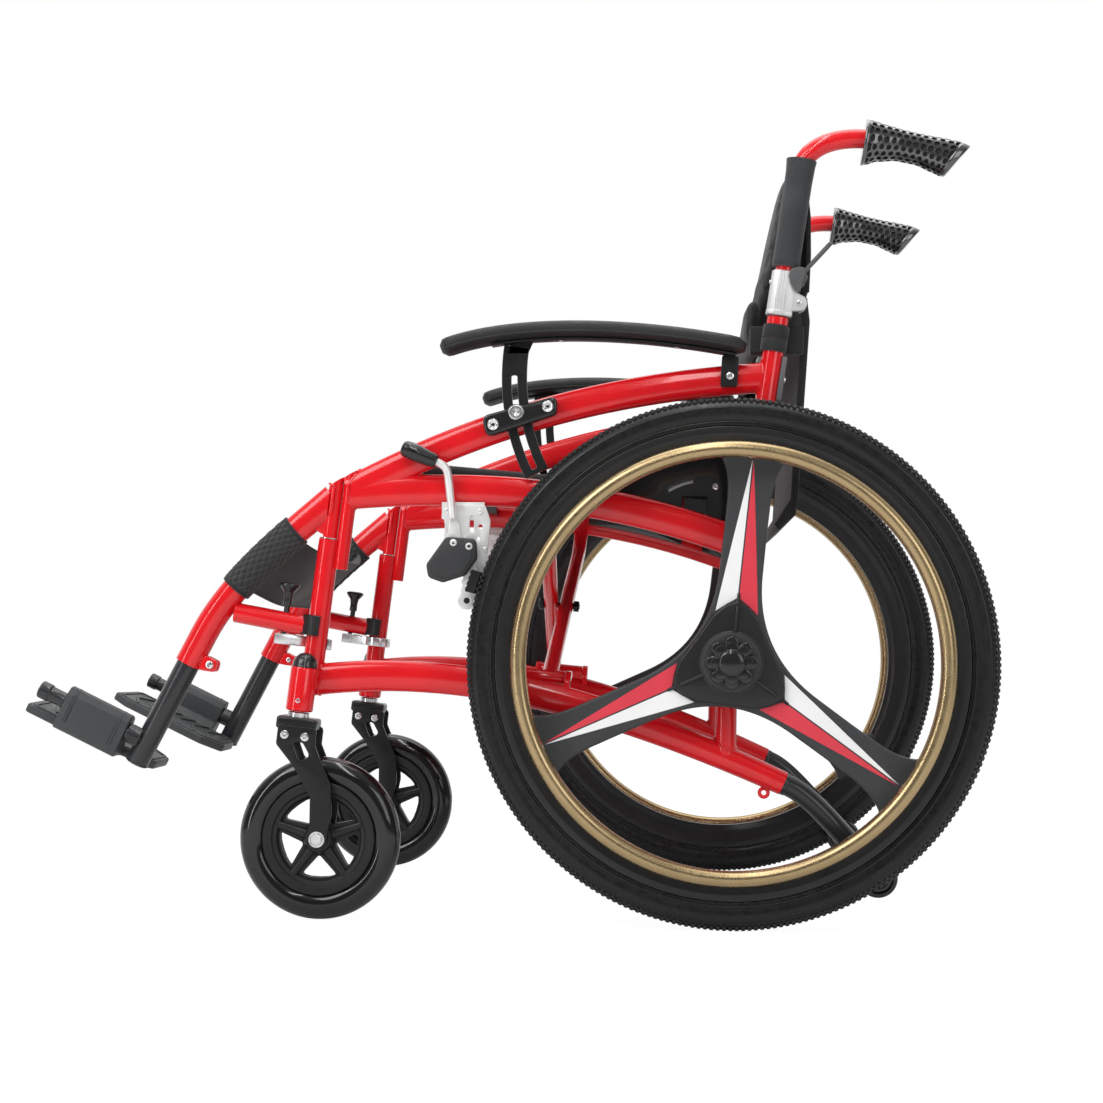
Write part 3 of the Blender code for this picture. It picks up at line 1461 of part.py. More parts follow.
def back_tube_path():
    foot = point(on_rear_post(BACK_SOCKET_Z), BACK_SOCKET_Z)
    way = direction(math.pi / 2 - REAR_POST_LEAN)
    start = point(on_rear_post(BACK_BEND_Z), BACK_BEND_Z)
    centre = start + direction(-REAR_POST_LEAN) * BACK_BEND_RADIUS
    path = [foot, foot + way * 0.04]
    turn_start = math.pi - REAR_POST_LEAN
    turn_end = math.pi / 2 + PUSH_GRIP_SLOPE
    for i in range(7):
        angle = turn_start + (turn_end - turn_start) * i / 6
        path.append(centre + direction(angle) * BACK_BEND_RADIUS)
    grip_way = direction(PUSH_GRIP_SLOPE)
    path.append(path[-1] + grip_way * 0.014)
    path.append(path[-1] + grip_way * (PUSH_GRIP_LENGTH * 0.9))
    return path


def back_tube():
    return round_tube(back_tube_path(), BACK_TUBE_DIAMETER / 2, 12)


def back_hinge():
    """The cast joint on the lower end of the back tube, slotted for the post's tongue."""
    half = HINGE_CASTING_WIDTH / 2
    way = direction(math.pi / 2 - REAR_POST_LEAN)
    back = direction(-REAR_POST_LEAN)
    foot = point(on_rear_post(REAR_POST_TOP + 0.0015), REAR_POST_TOP + 0.0015)
    section = [
        (-half, 0.006), (-half, -0.007), (-half * 0.70, -0.0135), (-0.003, -0.0135), (-0.0015, -0.0150),
        (0.0015, -0.0150), (0.003, -0.0135), (half * 0.70, -0.0135), (half, -0.007), (half, 0.006),
        (half * 0.85, 0.0150), (-half * 0.85, 0.0150),
    ]
    body = prism(section, foot, X_AXIS, back, way * BACK_CASTING_HEIGHT)
    lobe_root = point(BACK_HINGE_Y - 0.018, BACK_HINGE_Z)
    lobe = plate(
        arc(BACK_HINGE_Y, BACK_HINGE_Z, 0.0098, -85, 75, 8)
        + [(LEVER_PIVOT_Y + 0.0060, LEVER_PIVOT_Z - 0.0040), (LEVER_PIVOT_Y + 0.0050, LEVER_PIVOT_Z + 0.0065)]
        + [(lobe_root.y + 0.004, LEVER_PIVOT_Z + 0.0075), (lobe_root.y, lobe_root.z - 0.010)],
        FRAME_X - half * 0.85,
        FRAME_X + half * 0.85,
    )
    slot_half = HINGE_TONGUE / 2 + RUNNING_GAP
    slot = plate(
        [(BACK_HINGE_Y - 0.0165, 0.690), (0.120, 0.690), (0.120, 0.790), (BACK_HINGE_Y - 0.0165, 0.790)],
        FRAME_X - slot_half,
        FRAME_X + slot_half,
    )
    start, end = back_tube_path()[0], back_tube_path()[2]
    return cut(
        joined(body, lobe),
        slot,
        bar(start - way * GAP, end, BACK_TUBE_DIAMETER / 2 + GAP, 12),
        bar(lever_pin_end(-1) - X_AXIS * 0.02, lever_pin_end(1) + X_AXIS * 0.02, LEVER_PIN / 2 + GAP, 8),
        bar(point(BACK_HINGE_Y, BACK_HINGE_Z, FRAME_X - 0.03), point(BACK_HINGE_Y, BACK_HINGE_Z, FRAME_X + 0.03),
            HINGE_PIN / 2 + GAP, 12),
    )


LEVER_PIVOT_Y = 0.0800
LEVER_PIVOT_Z = 0.7530
LEVER_PIN = 0.004


def lever_pin_end(sign):
    return point(LEVER_PIVOT_Y, LEVER_PIVOT_Z, FRAME_X + sign * HINGE_CASTING_WIDTH / 2)


def hinge_lever():
    """The release lever in the casting's slot, with a thin rod towards the hand."""
    half = HINGE_TONGUE / 2 - GAP
    paddle = plate(
        rounded(
            [(0.0745, 0.7540), (0.0775, 0.7470), (0.0850, 0.7490), (0.0905, 0.7610), (0.0845, 0.7690),
             (0.0765, 0.7665)],
            0.003,
            1,
        ),
        FRAME_X - half,
        FRAME_X + half,
    )
    rod = bar(point(0.0830, 0.7640), point(0.1150, 0.7990), 0.0023, 8)
    return joined(paddle, rod, bar(lever_pin_end(-1), lever_pin_end(1), LEVER_PIN / 2, 8))


def grip_stations():
    """Half height and half width of the push grip at shares of its length."""
    return (
        (0.00, 0.0275, 0.0240),
        (0.06, 0.0262, 0.0232),
        (0.20, 0.0222, 0.0205),
        (0.40, 0.0184, 0.0180),
        (0.60, 0.0182, 0.0180),
        (0.80, 0.0206, 0.0192),
        (0.92, 0.0222, 0.0196),
        (1.00, 0.0210, 0.0180),
    )


def push_grip():
    path = back_tube_path()
    start = path[-2]
    way = direction(PUSH_GRIP_SLOPE)
    up = direction(math.pi / 2 + PUSH_GRIP_SLOPE)
    rings = []
    for share, half_high, half_wide in grip_stations():
        centre = start + way * (PUSH_GRIP_LENGTH * share)
        slant = PUSH_GRIP_FRONT_SLANT if share == 0.0 else 0.0
        slant = -PUSH_GRIP_REAR_SLANT if share == 1.0 else slant
        ring = []
        for a, b in oval(half_wide, half_high, 14, 2.2):
            ring.append(centre + X_AXIS * a + up * b - way * (slant * b / half_high))
        rings.append(ring)
    bore = bar(start - way * 0.03, start + way * (PUSH_GRIP_LENGTH * 0.9 + GAP * 2), BACK_TUBE_DIAMETER / 2 + GAP, 12)
    return cut(skin(rings), bore)


# Cross brace and seat

def cross_brace(sign, offset):
    """An arm from one lower pivot up to the opposite seat rail, with its rail and pivot sleeve."""
    centre = in_fold(0, BRACE_CENTRE_HEIGHT, offset)
    foot = in_fold(-BRACE_PIVOT_X * sign, 0, offset)
    slope = BRACE_CENTRE_HEIGHT / BRACE_PIVOT_X
    bend_x = SEAT_RAIL_X - 0.022
    bend_start = in_fold(bend_x * sign, BRACE_CENTRE_HEIGHT + slope * bend_x, offset)
    corner = in_fold(SEAT_RAIL_X * sign, BRACE_CENTRE_HEIGHT + slope * SEAT_RAIL_X, offset)
    top = in_fold(SEAT_RAIL_X * sign, SEAT_RAIL_HEIGHT, offset)
    bend_end = corner + FOLD_UP * 0.022
    path = [foot, centre] + bezier(
        bend_start, bend_start.lerp(corner, 0.6), bend_end.lerp(corner, 0.6), bend_end, 4
    )
    path.append(top)
    arm = round_tube(path, BRACE_TUBE / 2, 12, FOLD_AXIS)
    rail = bar(
        in_fold(SEAT_RAIL_X * sign, SEAT_RAIL_HEIGHT, SEAT_RAIL_FRONT),
        in_fold(SEAT_RAIL_X * sign, SEAT_RAIL_HEIGHT, SEAT_RAIL_REAR),
        SEAT_RAIL_DIAMETER / 2,
        14,
    )
    sleeve = bar(
        in_fold(-BRACE_PIVOT_X * sign, 0, -BRACE_SLEEVE_HALF),
        in_fold(-BRACE_PIVOT_X * sign, 0, BRACE_SLEEVE_HALF),
        0.0090,
        14,
    )
    shape = joined(arm, rail, sleeve)
    return cut(
        shape,
        bar(in_fold(-BRACE_PIVOT_X * sign, 0, -0.04), in_fold(-BRACE_PIVOT_X * sign, 0, 0.04),
            BRACE_PIVOT_PIN / 2 + GAP, 12),
        bar(in_fold(0, BRACE_CENTRE_HEIGHT, -0.04), in_fold(0, BRACE_CENTRE_HEIGHT, 0.04),
            BRACE_BOLT / 2 + GAP, 12),
    )


BRACE_BOLT = 0.008
BRACE_OFFSET = BRACE_TUBE / 2 + GAP


def brace_bolt():
    half = BRACE_OFFSET + BRACE_TUBE / 2 + GAP
    shank = bar(
        in_fold(0, BRACE_CENTRE_HEIGHT, -half - 0.002), in_fold(0, BRACE_CENTRE_HEIGHT, half + 0.008),
        BRACE_BOLT / 2, 12,
    )
    head = bar(
        in_fold(0, BRACE_CENTRE_HEIGHT, -half - 0.007), in_fold(0, BRACE_CENTRE_HEIGHT, -half), 0.0085, 12
    )
    nut = bar(in_fold(0, BRACE_CENTRE_HEIGHT, half), in_fold(0, BRACE_CENTRE_HEIGHT, half + 0.007), 0.0085, 6)
    return joined(shank, head, nut)


def seat_sling():
    """The seat cloth, wrapped over both rails and sagging between them."""
    rail_radius = SEAT_RAIL_DIAMETER / 2 + GAP
    cloth_front = SEAT_RAIL_FRONT + 0.004
    cloth_rear = SEAT_RAIL_REAR - 0.012
    stations = 5
    rings = []
    for i in range(stations + 1):
        share = i / stations
        along = cloth_front + (cloth_rear - cloth_front) * share
        sag = SEAT_SAG * (0.55 + 0.45 * math.sin(math.pi * share))
        lower = []
        upper = []
        wraps = 4
        for k in range(wraps + 1):
            angle = math.radians(8 + 82 * k / wraps)
            for radius, line in ((rail_radius, lower), (rail_radius + SEAT_THICKNESS * 0.45, upper)):
                line.append((SEAT_RAIL_X + radius * math.cos(angle), SEAT_RAIL_HEIGHT + radius * math.sin(angle)))
        spans = 4
        for k in range(1, spans + 1):
            t = k / spans
            x = SEAT_RAIL_X * (1 - t)
            dip = sag * math.sin(math.pi / 2 * t)
            top = SEAT_RAIL_HEIGHT + rail_radius + SEAT_THICKNESS * 0.45 - dip + 0.004 * math.sin(math.pi * t)
            upper.append((x, top))
            lower.append((x, top - SEAT_THICKNESS))
        left = upper + [(-x, up) for x, up in reversed(upper[:-1])]
        right = [(-x, up) for x, up in lower] + list(reversed(lower[:-1]))
        rings.append([in_fold(x, up, along) for x, up in left + right])
    return skin(rings)


# Back cloth

def cloth_bank(outline, half_width, crown, stations=6):
    """A padded panel across the chair: an outline of (y, z) pairs that fills out towards its middle."""
    middle_y = sum(y for y, z in outline) / len(outline)
    middle_z = sum(z for y, z in outline) / len(outline)
    rings = []
    for i in range(stations + 1):
        t = -1 + 2 * i / stations
        fill = 1 - 0.45 * abs(t) ** 5
        rise = crown * (1 - t * t)
        ring = []
        for y, z in outline:
            new_y = middle_y + (y - middle_y) * fill - rise
            new_z = middle_z + (z - middle_z) * (0.97 + 0.03 * fill)
            ring.append(Vector((half_width * t, new_y, new_z)))
        rings.append(ring)
    return skin(rings)


def sleeve_at(z_start, z_end, radius):
    """Solid rods round both back tubes, as a left and a right one."""
    rods = []
    for _, sign in SIDES:
        rods.append(
            bar(
                Vector((FRAME_X * sign, on_rear_post(z_start), z_start)),
                Vector((FRAME_X * sign, on_rear_post(z_end), z_end)),
                radius,
                14,
            )
        )
    return rods


def along_back_tube(radius, first, last):
    """Solid tubes round both back tubes, following their bend."""
    left = round_tube(first + back_tube_path()[2:last], radius, 12)
    right = left.copy()
    right.transform(Matrix.Scale(-1, 4, X_AXIS))
    right.flip_normals()
    return [left, right]


def back_upper():
    """The upper back cloth: a padded panel with a sleeve round each back tube."""
    low = REAR_POST_TOP + BACK_CASTING_HEIGHT + 0.006
    front = [(-0.0230, BACK_HINGE_Z + 0.012), (-0.0170, 0.780), (-0.0150, 0.830), (-0.0165, 0.880), (-0.0160, 0.916)]
    panel = []
    for offset, z in front:
        panel.append((on_rear_post(z) + offset - 0.010, z))
    for offset, z in reversed(front):
        panel.append((on_rear_post(z) + offset + 0.010, z))
    body = cloth_bank(panel, BACK_CLOTH_HALF_WIDTH + 0.004, 0.0)
    rear = plate(
        [
            (on_rear_post(0.905) + 0.004, 0.905),
            (on_rear_post(0.905) - 0.010, 0.905),
            (on_rear_post(0.780) - 0.010, 0.780),
            (on_rear_post(0.780) + 0.004, 0.780),
        ],
        -BACK_CLOTH_HALF_WIDTH - 0.004,
        BACK_CLOTH_HALF_WIDTH + 0.004,
    )
    sleeve_radius = BACK_TUBE_DIAMETER / 2 + 0.0055
    sleeves = along_back_tube(sleeve_radius, [point(on_rear_post(low), low)], 5)
    bores = along_back_tube(BACK_TUBE_DIAMETER / 2 + GAP, [point(on_rear_post(low - 0.02), low - 0.02)], 7)
    return cut(joined(body, rear, *sleeves), *bores)


def back_lower():
    """The lower back cloth: the pad's lower end, its strap round the posts and the hanging rear panel."""
    joint_z = BACK_HINGE_Z + 0.0115
    pad = [(0.0150, joint_z), (0.0130, 0.700), (0.0200, 0.668), (0.0360, 0.668), (0.0320, 0.700), (0.0350, joint_z)]
    front = cloth_bank(pad, BACK_CLOTH_HALF_WIDTH, 0.0)
    rear = cloth_bank(
        [
            (0.0900, joint_z),
            (0.0930, 0.711),
            (0.0870, 0.620),
            (0.0820, 0.545),
            (0.0780, 0.480),
            (0.0560, BACK_CLOTH_BOTTOM),
            (0.0540, 0.470),
            (0.0720, 0.500),
            (0.0750, 0.545),
            (0.0790, 0.620),
            (0.0850, 0.711),
            (0.0820, joint_z),
        ],
        BACK_CLOTH_HALF_WIDTH,
        0.0,
    )
    straps = []
    for _, sign in SIDES:
        outline = [(0.0225, 0.6700), (0.0862, 0.6700), (0.0862, 0.7040), (0.0225, 0.7040)]
        start = (FRAME_X - 0.0325) * sign
        straps.append(plate(outline, start, start + 0.026 * sign))
    rings = []
    for _, sign in SIDES:
        low = Vector((FRAME_X * sign, on_rear_post(0.6710), 0.6710))
        high = Vector((FRAME_X * sign, on_rear_post(0.7030), 0.7030))
        rings.append(bar(low, high, POST_DIAMETER / 2 + 0.0030, 14))
    bores = sleeve_at(0.60, 0.760, POST_DIAMETER / 2 + GAP)
    return cut(joined(front, rear, *straps, *rings), *bores)


# Assembly

def build():
    clear_scene()
    red = finish("red_gloss_paint", (0.62, 0.010, 0.014), 0.16)
    black_tube = finish("black_satin_tube", (0.030, 0.031, 0.033), 0.38)
    black_plastic = finish("black_moulding", (0.028, 0.029, 0.031), 0.48)
    rubber = finish("black_rubber", (0.020, 0.020, 0.021), 0.72)
    wheel_black = finish("black_wheel", (0.024, 0.024, 0.026), 0.34)
    bronze = finish("bronze_anodised", (0.42, 0.32, 0.18), 0.30, 1.0)
    silver = finish("silver_alloy", (0.72, 0.72, 0.73), 0.30, 1.0)
    cloth = finish("black_cloth", (0.030, 0.030, 0.032), 0.85)
    pad_skin = finish("arm_pad_skin", (0.034, 0.034, 0.036), 0.62)

    chair_front = on_rod(FOOTPLATE_START, -FOOTPLATE_DROP - FOOTPLATE_THICKNESS).y
    joint("chair", (0.0, 0.0, 0.0)).location = (0.0, -(chair_front + TYRE_RADIUS) / 2, 0.0)
    joint("frame_right", (0.0, 0.0, 0.0), "chair")
    joint("brace_a", in_fold(-BRACE_PIVOT_X, 0), "frame_right")
    joint("brace_b", in_fold(0, BRACE_CENTRE_HEIGHT), "brace_a")
    joint("frame_left", in_fold(BRACE_PIVOT_X, 0), "brace_b")
    joint("seat", in_fold(-SEAT_RAIL_X, SEAT_RAIL_HEIGHT), "brace_b")
    joint_pair("rear_wheel", wheel_centre(), "frame")
    joint_pair("caster_fork", along_housing(0), "frame")
    joint_pair("caster_wheel", caster_centre(), "caster_fork")
    joint_pair("hanger", point(on_front_post(FRONT_POST_TOP), FRONT_POST_TOP), "frame")
    joint_pair("foot_slide", point(HANGER_END_Y, HANGER_END_Z), "hanger")
    joint_pair("footplate", on_rod(FOOTPLATE_BLOCK_START), "foot_slide")
    joint_pair("latch", latch_top(), "hanger")
    joint_pair("armrest", point(ARM_PIVOT_Y, ARM_PIVOT_Z), "frame")
    joint_pair("brake_lever", point(BRAKE_LEVER_Y, BRAKE_LEVER_Z), "frame")
    joint_pair("brake_shoe", point(BRAKE_SHOE_PIVOT_Y, BRAKE_SHOE_PIVOT_Z), "frame")
    joint_pair("upper_back", point(BACK_HINGE_Y, BACK_HINGE_Z), "frame")
    joint_pair("hinge_lever", point(LEVER_PIVOT_Y, LEVER_PIVOT_Z), "upper_back")
    joint_pair("anti_tip_wheel", point(ANTI_TIP_WHEEL_Y, ANTI_TIP_WHEEL_Z), "frame")

    pair("side_frame", side_frame(), red, "frame")
    pair("side_guard", side_guard(), black_plastic, "frame")
    pair("axle", axle(), silver, "frame")
    pair("anti_tip_tube", anti_tip_tube(), black_tube, "frame")
    pair("anti_tip_wheel", anti_tip_wheel(), rubber, "anti_tip_wheel")
    pair("wheel", wheel(), wheel_black, "rear_wheel")
    pair("tyre", tyre(), rubber, "rear_wheel")
    pair("hand_rim", hand_rim(), bronze, "rear_wheel")
    pair("hub_cap", hub_cap(), black_plastic, "rear_wheel")
    pair("caster_fork", caster_fork(), black_tube, "caster_fork")
    pair("caster_wheel", caster_wheel(), rubber, "caster_wheel")
    pair("hanger", hanger(), red, "hanger")
    pair("calf_strap", calf_strap(), cloth, "hanger")
    pair("hanger_latch", hanger_latch(), silver, "latch")
    pair("latch_knob", latch_knob(), black_plastic, "latch")
    pair("foot_tube", foot_tube(), black_tube, "foot_slide")
    pair("footplate", footplate(), black_plastic, "footplate")
    pair("arm_clamp", arm_clamp(), black_plastic, "frame")
    pair("arm_bar", arm_bar(), black_tube, "armrest")
    pair("arm_pad", arm_pad(), pad_skin, "armrest")
    pair("brake_plate", brake_plate(), silver, "frame")
    pair("brake_lever", brake_lever(), silver, "brake_lever")
    pair("brake_shoe", brake_shoe(), silver, "brake_shoe")
    pair("back_tube", back_tube(), red, "upper_back")
    pair("back_hinge", back_hinge(), silver, "upper_back")
    pair("hinge_lever", hinge_lever(), black_plastic, "hinge_lever")
    pair("push_grip", push_grip(), black_plastic, "upper_back")
    piece("cross_brace_a", cross_brace(1, -BRACE_OFFSET), red, "brace_a")
    piece("cross_brace_b", cross_brace(-1, BRACE_OFFSET), red, "brace_b")
    piece("brace_bolt", brace_bolt(), silver, "brace_a")
    piece("seat_sling", seat_sling(), cloth, "seat")
    piece("back_lower", back_lower(), cloth, "frame_right")
    piece("back_upper", back_upper(), cloth, "upper_back_right")


build()
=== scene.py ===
import math

import bmesh
import bpy
from mathutils import Matrix, Vector


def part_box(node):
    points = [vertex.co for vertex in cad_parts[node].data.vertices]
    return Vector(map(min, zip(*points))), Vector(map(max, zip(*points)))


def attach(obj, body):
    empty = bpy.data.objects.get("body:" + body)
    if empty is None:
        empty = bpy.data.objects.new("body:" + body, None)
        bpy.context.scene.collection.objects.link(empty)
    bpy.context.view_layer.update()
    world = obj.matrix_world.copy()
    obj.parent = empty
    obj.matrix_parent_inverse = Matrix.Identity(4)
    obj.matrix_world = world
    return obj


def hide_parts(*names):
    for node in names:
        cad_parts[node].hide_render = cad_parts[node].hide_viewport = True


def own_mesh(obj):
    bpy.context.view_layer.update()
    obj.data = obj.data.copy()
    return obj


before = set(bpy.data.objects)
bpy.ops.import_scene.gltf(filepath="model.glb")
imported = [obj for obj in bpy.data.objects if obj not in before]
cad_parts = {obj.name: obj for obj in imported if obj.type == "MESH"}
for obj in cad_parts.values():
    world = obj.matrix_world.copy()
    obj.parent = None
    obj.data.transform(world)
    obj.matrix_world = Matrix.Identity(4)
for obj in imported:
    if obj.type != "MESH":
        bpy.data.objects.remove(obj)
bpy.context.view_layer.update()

# The view
# A long lens far out on the chair's left side and low down, turned a little towards the front.
# All places below are measured rearwards from the rear axle and upwards from the floor.

axle_y = (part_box("tyre_left")[0].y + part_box("tyre_left")[1].y) / 2
view_turn = math.radians(3.808)
view_rise = math.radians(2.532)
view_tilt = math.radians(0.473)

bpy.ops.object.select_all(action="DESELECT")
bpy.ops.object.camera_add(location=(2.458, axle_y - 0.0631716, 0.3352))
camera = bpy.context.object
look = Vector((
    -math.cos(view_rise) * math.cos(view_turn),
    -math.cos(view_rise) * math.sin(view_turn),
    math.sin(view_rise),
))
camera.rotation_euler = (
    look.to_track_quat("-Z", "Y").to_matrix() @ Matrix.Rotation(view_tilt, 3, "Z")
).to_euler()
camera.data.sensor_width = 36
camera.data.lens = 36 * 1883 / 1103
bpy.context.scene.camera = camera


# Shader sums
# A wire is a socket of a material's nodes that can be reckoned with like a number.

class Wire:
    def __init__(self, tree, socket=None):
        self.tree = tree
        self.socket = socket

    def node(self, kind, settings=(), inputs=(), output=0):
        made = self.tree.nodes.new("ShaderNode" + kind)
        for name, value in dict(settings).items():
            if name == "stops":
                ramp = made.color_ramp
                while len(ramp.elements) < len(value):
                    ramp.elements.new(0.5)
                for element, (place, colour) in zip(ramp.elements, value):
                    element.position = place
                    element.color = (*colour, 1.0)
            else:
                setattr(made, name, value)
        for name, value in dict(inputs).items():
            if isinstance(value, Wire):
                self.tree.links.new(value.socket, made.inputs[name])
            else:
                made.inputs[name].default_value = value
        return Wire(self.tree, made.outputs[output])

    def sum(self, operation, *values, clamp=False):
        return self.node("Math", {"operation": operation, "use_clamp": clamp}, enumerate(values))

    def __add__(self, other):
        return self.sum("ADD", self, other)

    def __radd__(self, other):
        return self.sum("ADD", other, self)

    def __sub__(self, other):
        return self.sum("SUBTRACT", self, other)

    def __rsub__(self, other):
        return self.sum("SUBTRACT", other, self)

    def __mul__(self, other):
        return self.sum("MULTIPLY", self, other)

    def __rmul__(self, other):
        return self.sum("MULTIPLY", other, self)

    def __truediv__(self, other):
        return self.sum("DIVIDE", self, other)

    def __pow__(self, other):
        return self.sum("POWER", self, other)

    def step(self, low, high):
        """0 below low, 1 above high, smooth between."""
        return self.node("MapRange", {"interpolation_type": "SMOOTHSTEP"}, {0: self, 1: low, 2: high})

    def between(self, first, second):
        """The first colour where this wire is 0 and the second where it is 1."""
        ends = {0: self}
        for socket, colour in ((6, first), (7, second)):
            ends[socket] = colour if isinstance(colour, Wire) else (*colour, 1.0)
        return self.node("Mix", {"data_type": "RGBA"}, ends, output=2)


# Floor, light and background
# A white studio: a pale floor that keeps a faint shadow, a large soft lamp over the camera's left,
# a fill, a top light, and a world that is brighter behind the chair than behind the camera.

bpy.context.scene.view_settings.view_transform = "Standard"

bpy.ops.mesh.primitive_plane_add(size=16, location=(0, 0, -0.0004))
floor = bpy.context.object
floor.name = "floor"
bpy.ops.object.transform_apply(location=True)
floor_paint = bpy.data.materials.new("floor_paint")
floor_paint.use_nodes = True
start = Wire(floor_paint.node_tree)
paper = floor_paint.node_tree.nodes["Principled BSDF"]
paper.inputs["Base Color"].default_value = (0.86, 0.86, 0.86, 1)
paper.inputs["Roughness"].default_value = 0.9
paper.inputs["Specular IOR Level"].default_value = 0.1
seen = start.node("LightPath", output="Is Camera Ray")
glow = start.node("Emission", {}, {"Color": (1, 1, 1, 1), "Strength": 1.10})
mixed = start.node("MixShader", {}, {0: seen * 0.86, 1: Wire(start.tree, paper.outputs[0]), 2: glow})
floor_paint.node_tree.links.new(
    mixed.socket, floor_paint.node_tree.nodes["Material Output"].inputs["Surface"]
)
floor.data.materials.append(floor_paint)

world = bpy.data.worlds.new("studio")
bpy.context.scene.world = world
world.use_nodes = True
sky = Wire(world.node_tree)
background = world.node_tree.nodes["Background"]
background.inputs["Color"].default_value = (1, 1, 1, 1)
way = sky.node("TexCoord", output="Generated")
side = sky.node("SeparateXYZ", {}, {0: way}, output=0)
height = sky.node("SeparateXYZ", {}, {0: way}, output=2)
seen = sky.node("LightPath", output="Is Camera Ray")
mirrored = sky.node("LightPath", output="Is Glossy Ray")
through = sky.node("LightPath", output="Is Transmission Ray")
behind_camera = side.step(-0.35, 0.35)
gloss_light = 1.0 - behind_camera * 0.84 + height.step(0.35, 0.95) * behind_camera * 0.45
plain = sky.sum("MAXIMUM", seen, through)
soft_light = 0.66 - behind_camera * 0.46
rest = (1.0 - plain) * ((1.0 - mirrored) * soft_light + mirrored * gloss_light)
world.node_tree.links.new((plain + rest).socket, background.inputs["Strength"])


def lamp(name, place, aim, size, power):
    bpy.ops.object.light_add(type="AREA", location=place)
    light = bpy.context.object
    light.name = name
    light.rotation_euler = (Vector(aim) - Vector(place)).to_track_quat("-Z", "Y").to_euler()
    light.data.shape = "RECTANGLE"
    light.data.size, light.data.size_y = size
    light.data.energy = power


lamp("key_light", (2.6, -1.9, 2.9), (0, 0, 0.4), (2.2, 1.6), 62)
lamp("fill_light", (3.2, 2.4, 1.5), (0, 0, 0.4), (1.6, 2.0), 26)
lamp("top_light", (-0.3, 0.1, 3.4), (0, 0, 0.4), (2.6, 2.6), 46)
lamp("strip_left", (2.3, -2.3, 1.1), (0.2, 0, 0.5), (0.20, 2.2), 17)
lamp("strip_over", (1.5, 0.1, 2.2), (0.2, 0, 0.5), (0.16, 2.6), 13)


# Side frames
# Each is welded from oval aluminium tubes: an arch, a mid rail and a lower rail between a front
# and a rear post, with the caster housing in front. Welds are left as small rippled beads, and
# the whole frame has a thick glossy red coat.

across = Vector((1.0, 0.0, 0.0))
frame_x = 0.230
post_radius = 0.0127
front_lean = math.radians(6.7)
rear_lean = math.radians(8.25)


def at(y, z, x=frame_x):
    return Vector((x, y + axle_y, z))


def heading(degrees):
    """Unit vector in the side plane: rearwards at 0, upwards at 90 degrees."""
    return Vector((0.0, math.cos(math.radians(degrees)), math.sin(math.radians(degrees))))


def on_front_post(z, step=0.0):
    return at(-0.4886 + (z - 0.354) * math.tan(front_lean) + step, z)


def on_rear_post(z, step=0.0):
    return at(-0.004 + (z - 0.305) * math.tan(rear_lean) + step, z)


def bend(first, first_handle, last_handle, last, count=20):
    points = []
    for i in range(count + 1):
        t = i / count
        s = 1 - t
        points.append(
            first * s**3 + first_handle * 3 * s * s * t + last_handle * 3 * s * t * t + last * t**3
        )
    return points


def only(*objects):
    """Selects these objects and nothing else, the first as the active one."""
    bpy.ops.object.select_all(action="DESELECT")
    for obj in objects:
        obj.select_set(True)
    bpy.context.view_layer.objects.active = objects[0]
    return objects[0]


def opened(obj, mode="FACE"):
    """Puts obj in edit mode with nothing selected and gives its mesh."""
    only(obj)
    bpy.ops.object.mode_set(mode="EDIT")
    bpy.ops.mesh.select_mode(type=mode)
    bpy.ops.mesh.select_all(action="DESELECT")
    return bmesh.from_edit_mesh(obj.data)


def mended(obj, reach=1e-6):
    """Merges doubles and turns all faces outwards."""
    opened(obj)
    bpy.ops.mesh.select_all(action="SELECT")
    bpy.ops.mesh.remove_doubles(threshold=reach)
    bpy.ops.mesh.normals_make_consistent(inside=False)
    bpy.ops.object.mode_set(mode="OBJECT")
    shape = bmesh.new()
    shape.from_mesh(obj.data)
    inside_out = shape.calc_volume(signed=True) < 0
    shape.free()
    if inside_out:
        obj.data.flip_normals()
    return obj


def settled(obj):
    only(obj)
    bpy.ops.object.transform_apply(location=True, rotation=True, scale=True)
    return obj


def applied(obj, kind, **settings):
    only(obj)
    modifier = obj.modifiers.new(kind.lower(), kind)
    for name, value in settings.items():
        setattr(modifier, name, value)
    bpy.ops.object.modifier_apply(modifier=modifier.name)
    return obj


def without(obj, *cutters):
    for cutter in cutters:
        applied(obj, "BOOLEAN", operation="DIFFERENCE", solver="EXACT", object=cutter)
        bpy.data.objects.remove(cutter, do_unlink=True)
    return obj


def smooth(obj, degrees=34):
    only(obj)
    bpy.ops.object.shade_smooth_by_angle(angle=math.radians(degrees))
    return obj


def grouped(name, *parts):
    """One object out of several."""
    only(*parts)
    if len(parts) > 1:
        bpy.ops.object.join()
    parts[0].name = name
    parts[0].data.name = name
    return parts[0]


def oval(half_across, half_high, sides, power=2.0):
    points = []
    for i in range(sides):
        c = math.cos(2 * math.pi * i / sides)
        s = math.sin(2 * math.pi * i / sides)
        points.append((
            half_across * math.copysign(abs(c) ** (2 / power), c),
            half_high * math.copysign(abs(s) ** (2 / power), s),
        ))
    return points


def ring_at(path, i, size_at, sides, power, side_way):
    last = len(path) - 1
    tangent = (path[min(i + 1, last)] - path[max(i - 1, 0)]).normalized()
    side = (side_way - side_way.dot(tangent) * tangent).normalized()
    up = tangent.cross(side)
    half_across, half_high = size_at(i / last)
    return [path[i] + side * a + up * b for a, b in oval(half_across, half_high, sides, power)]


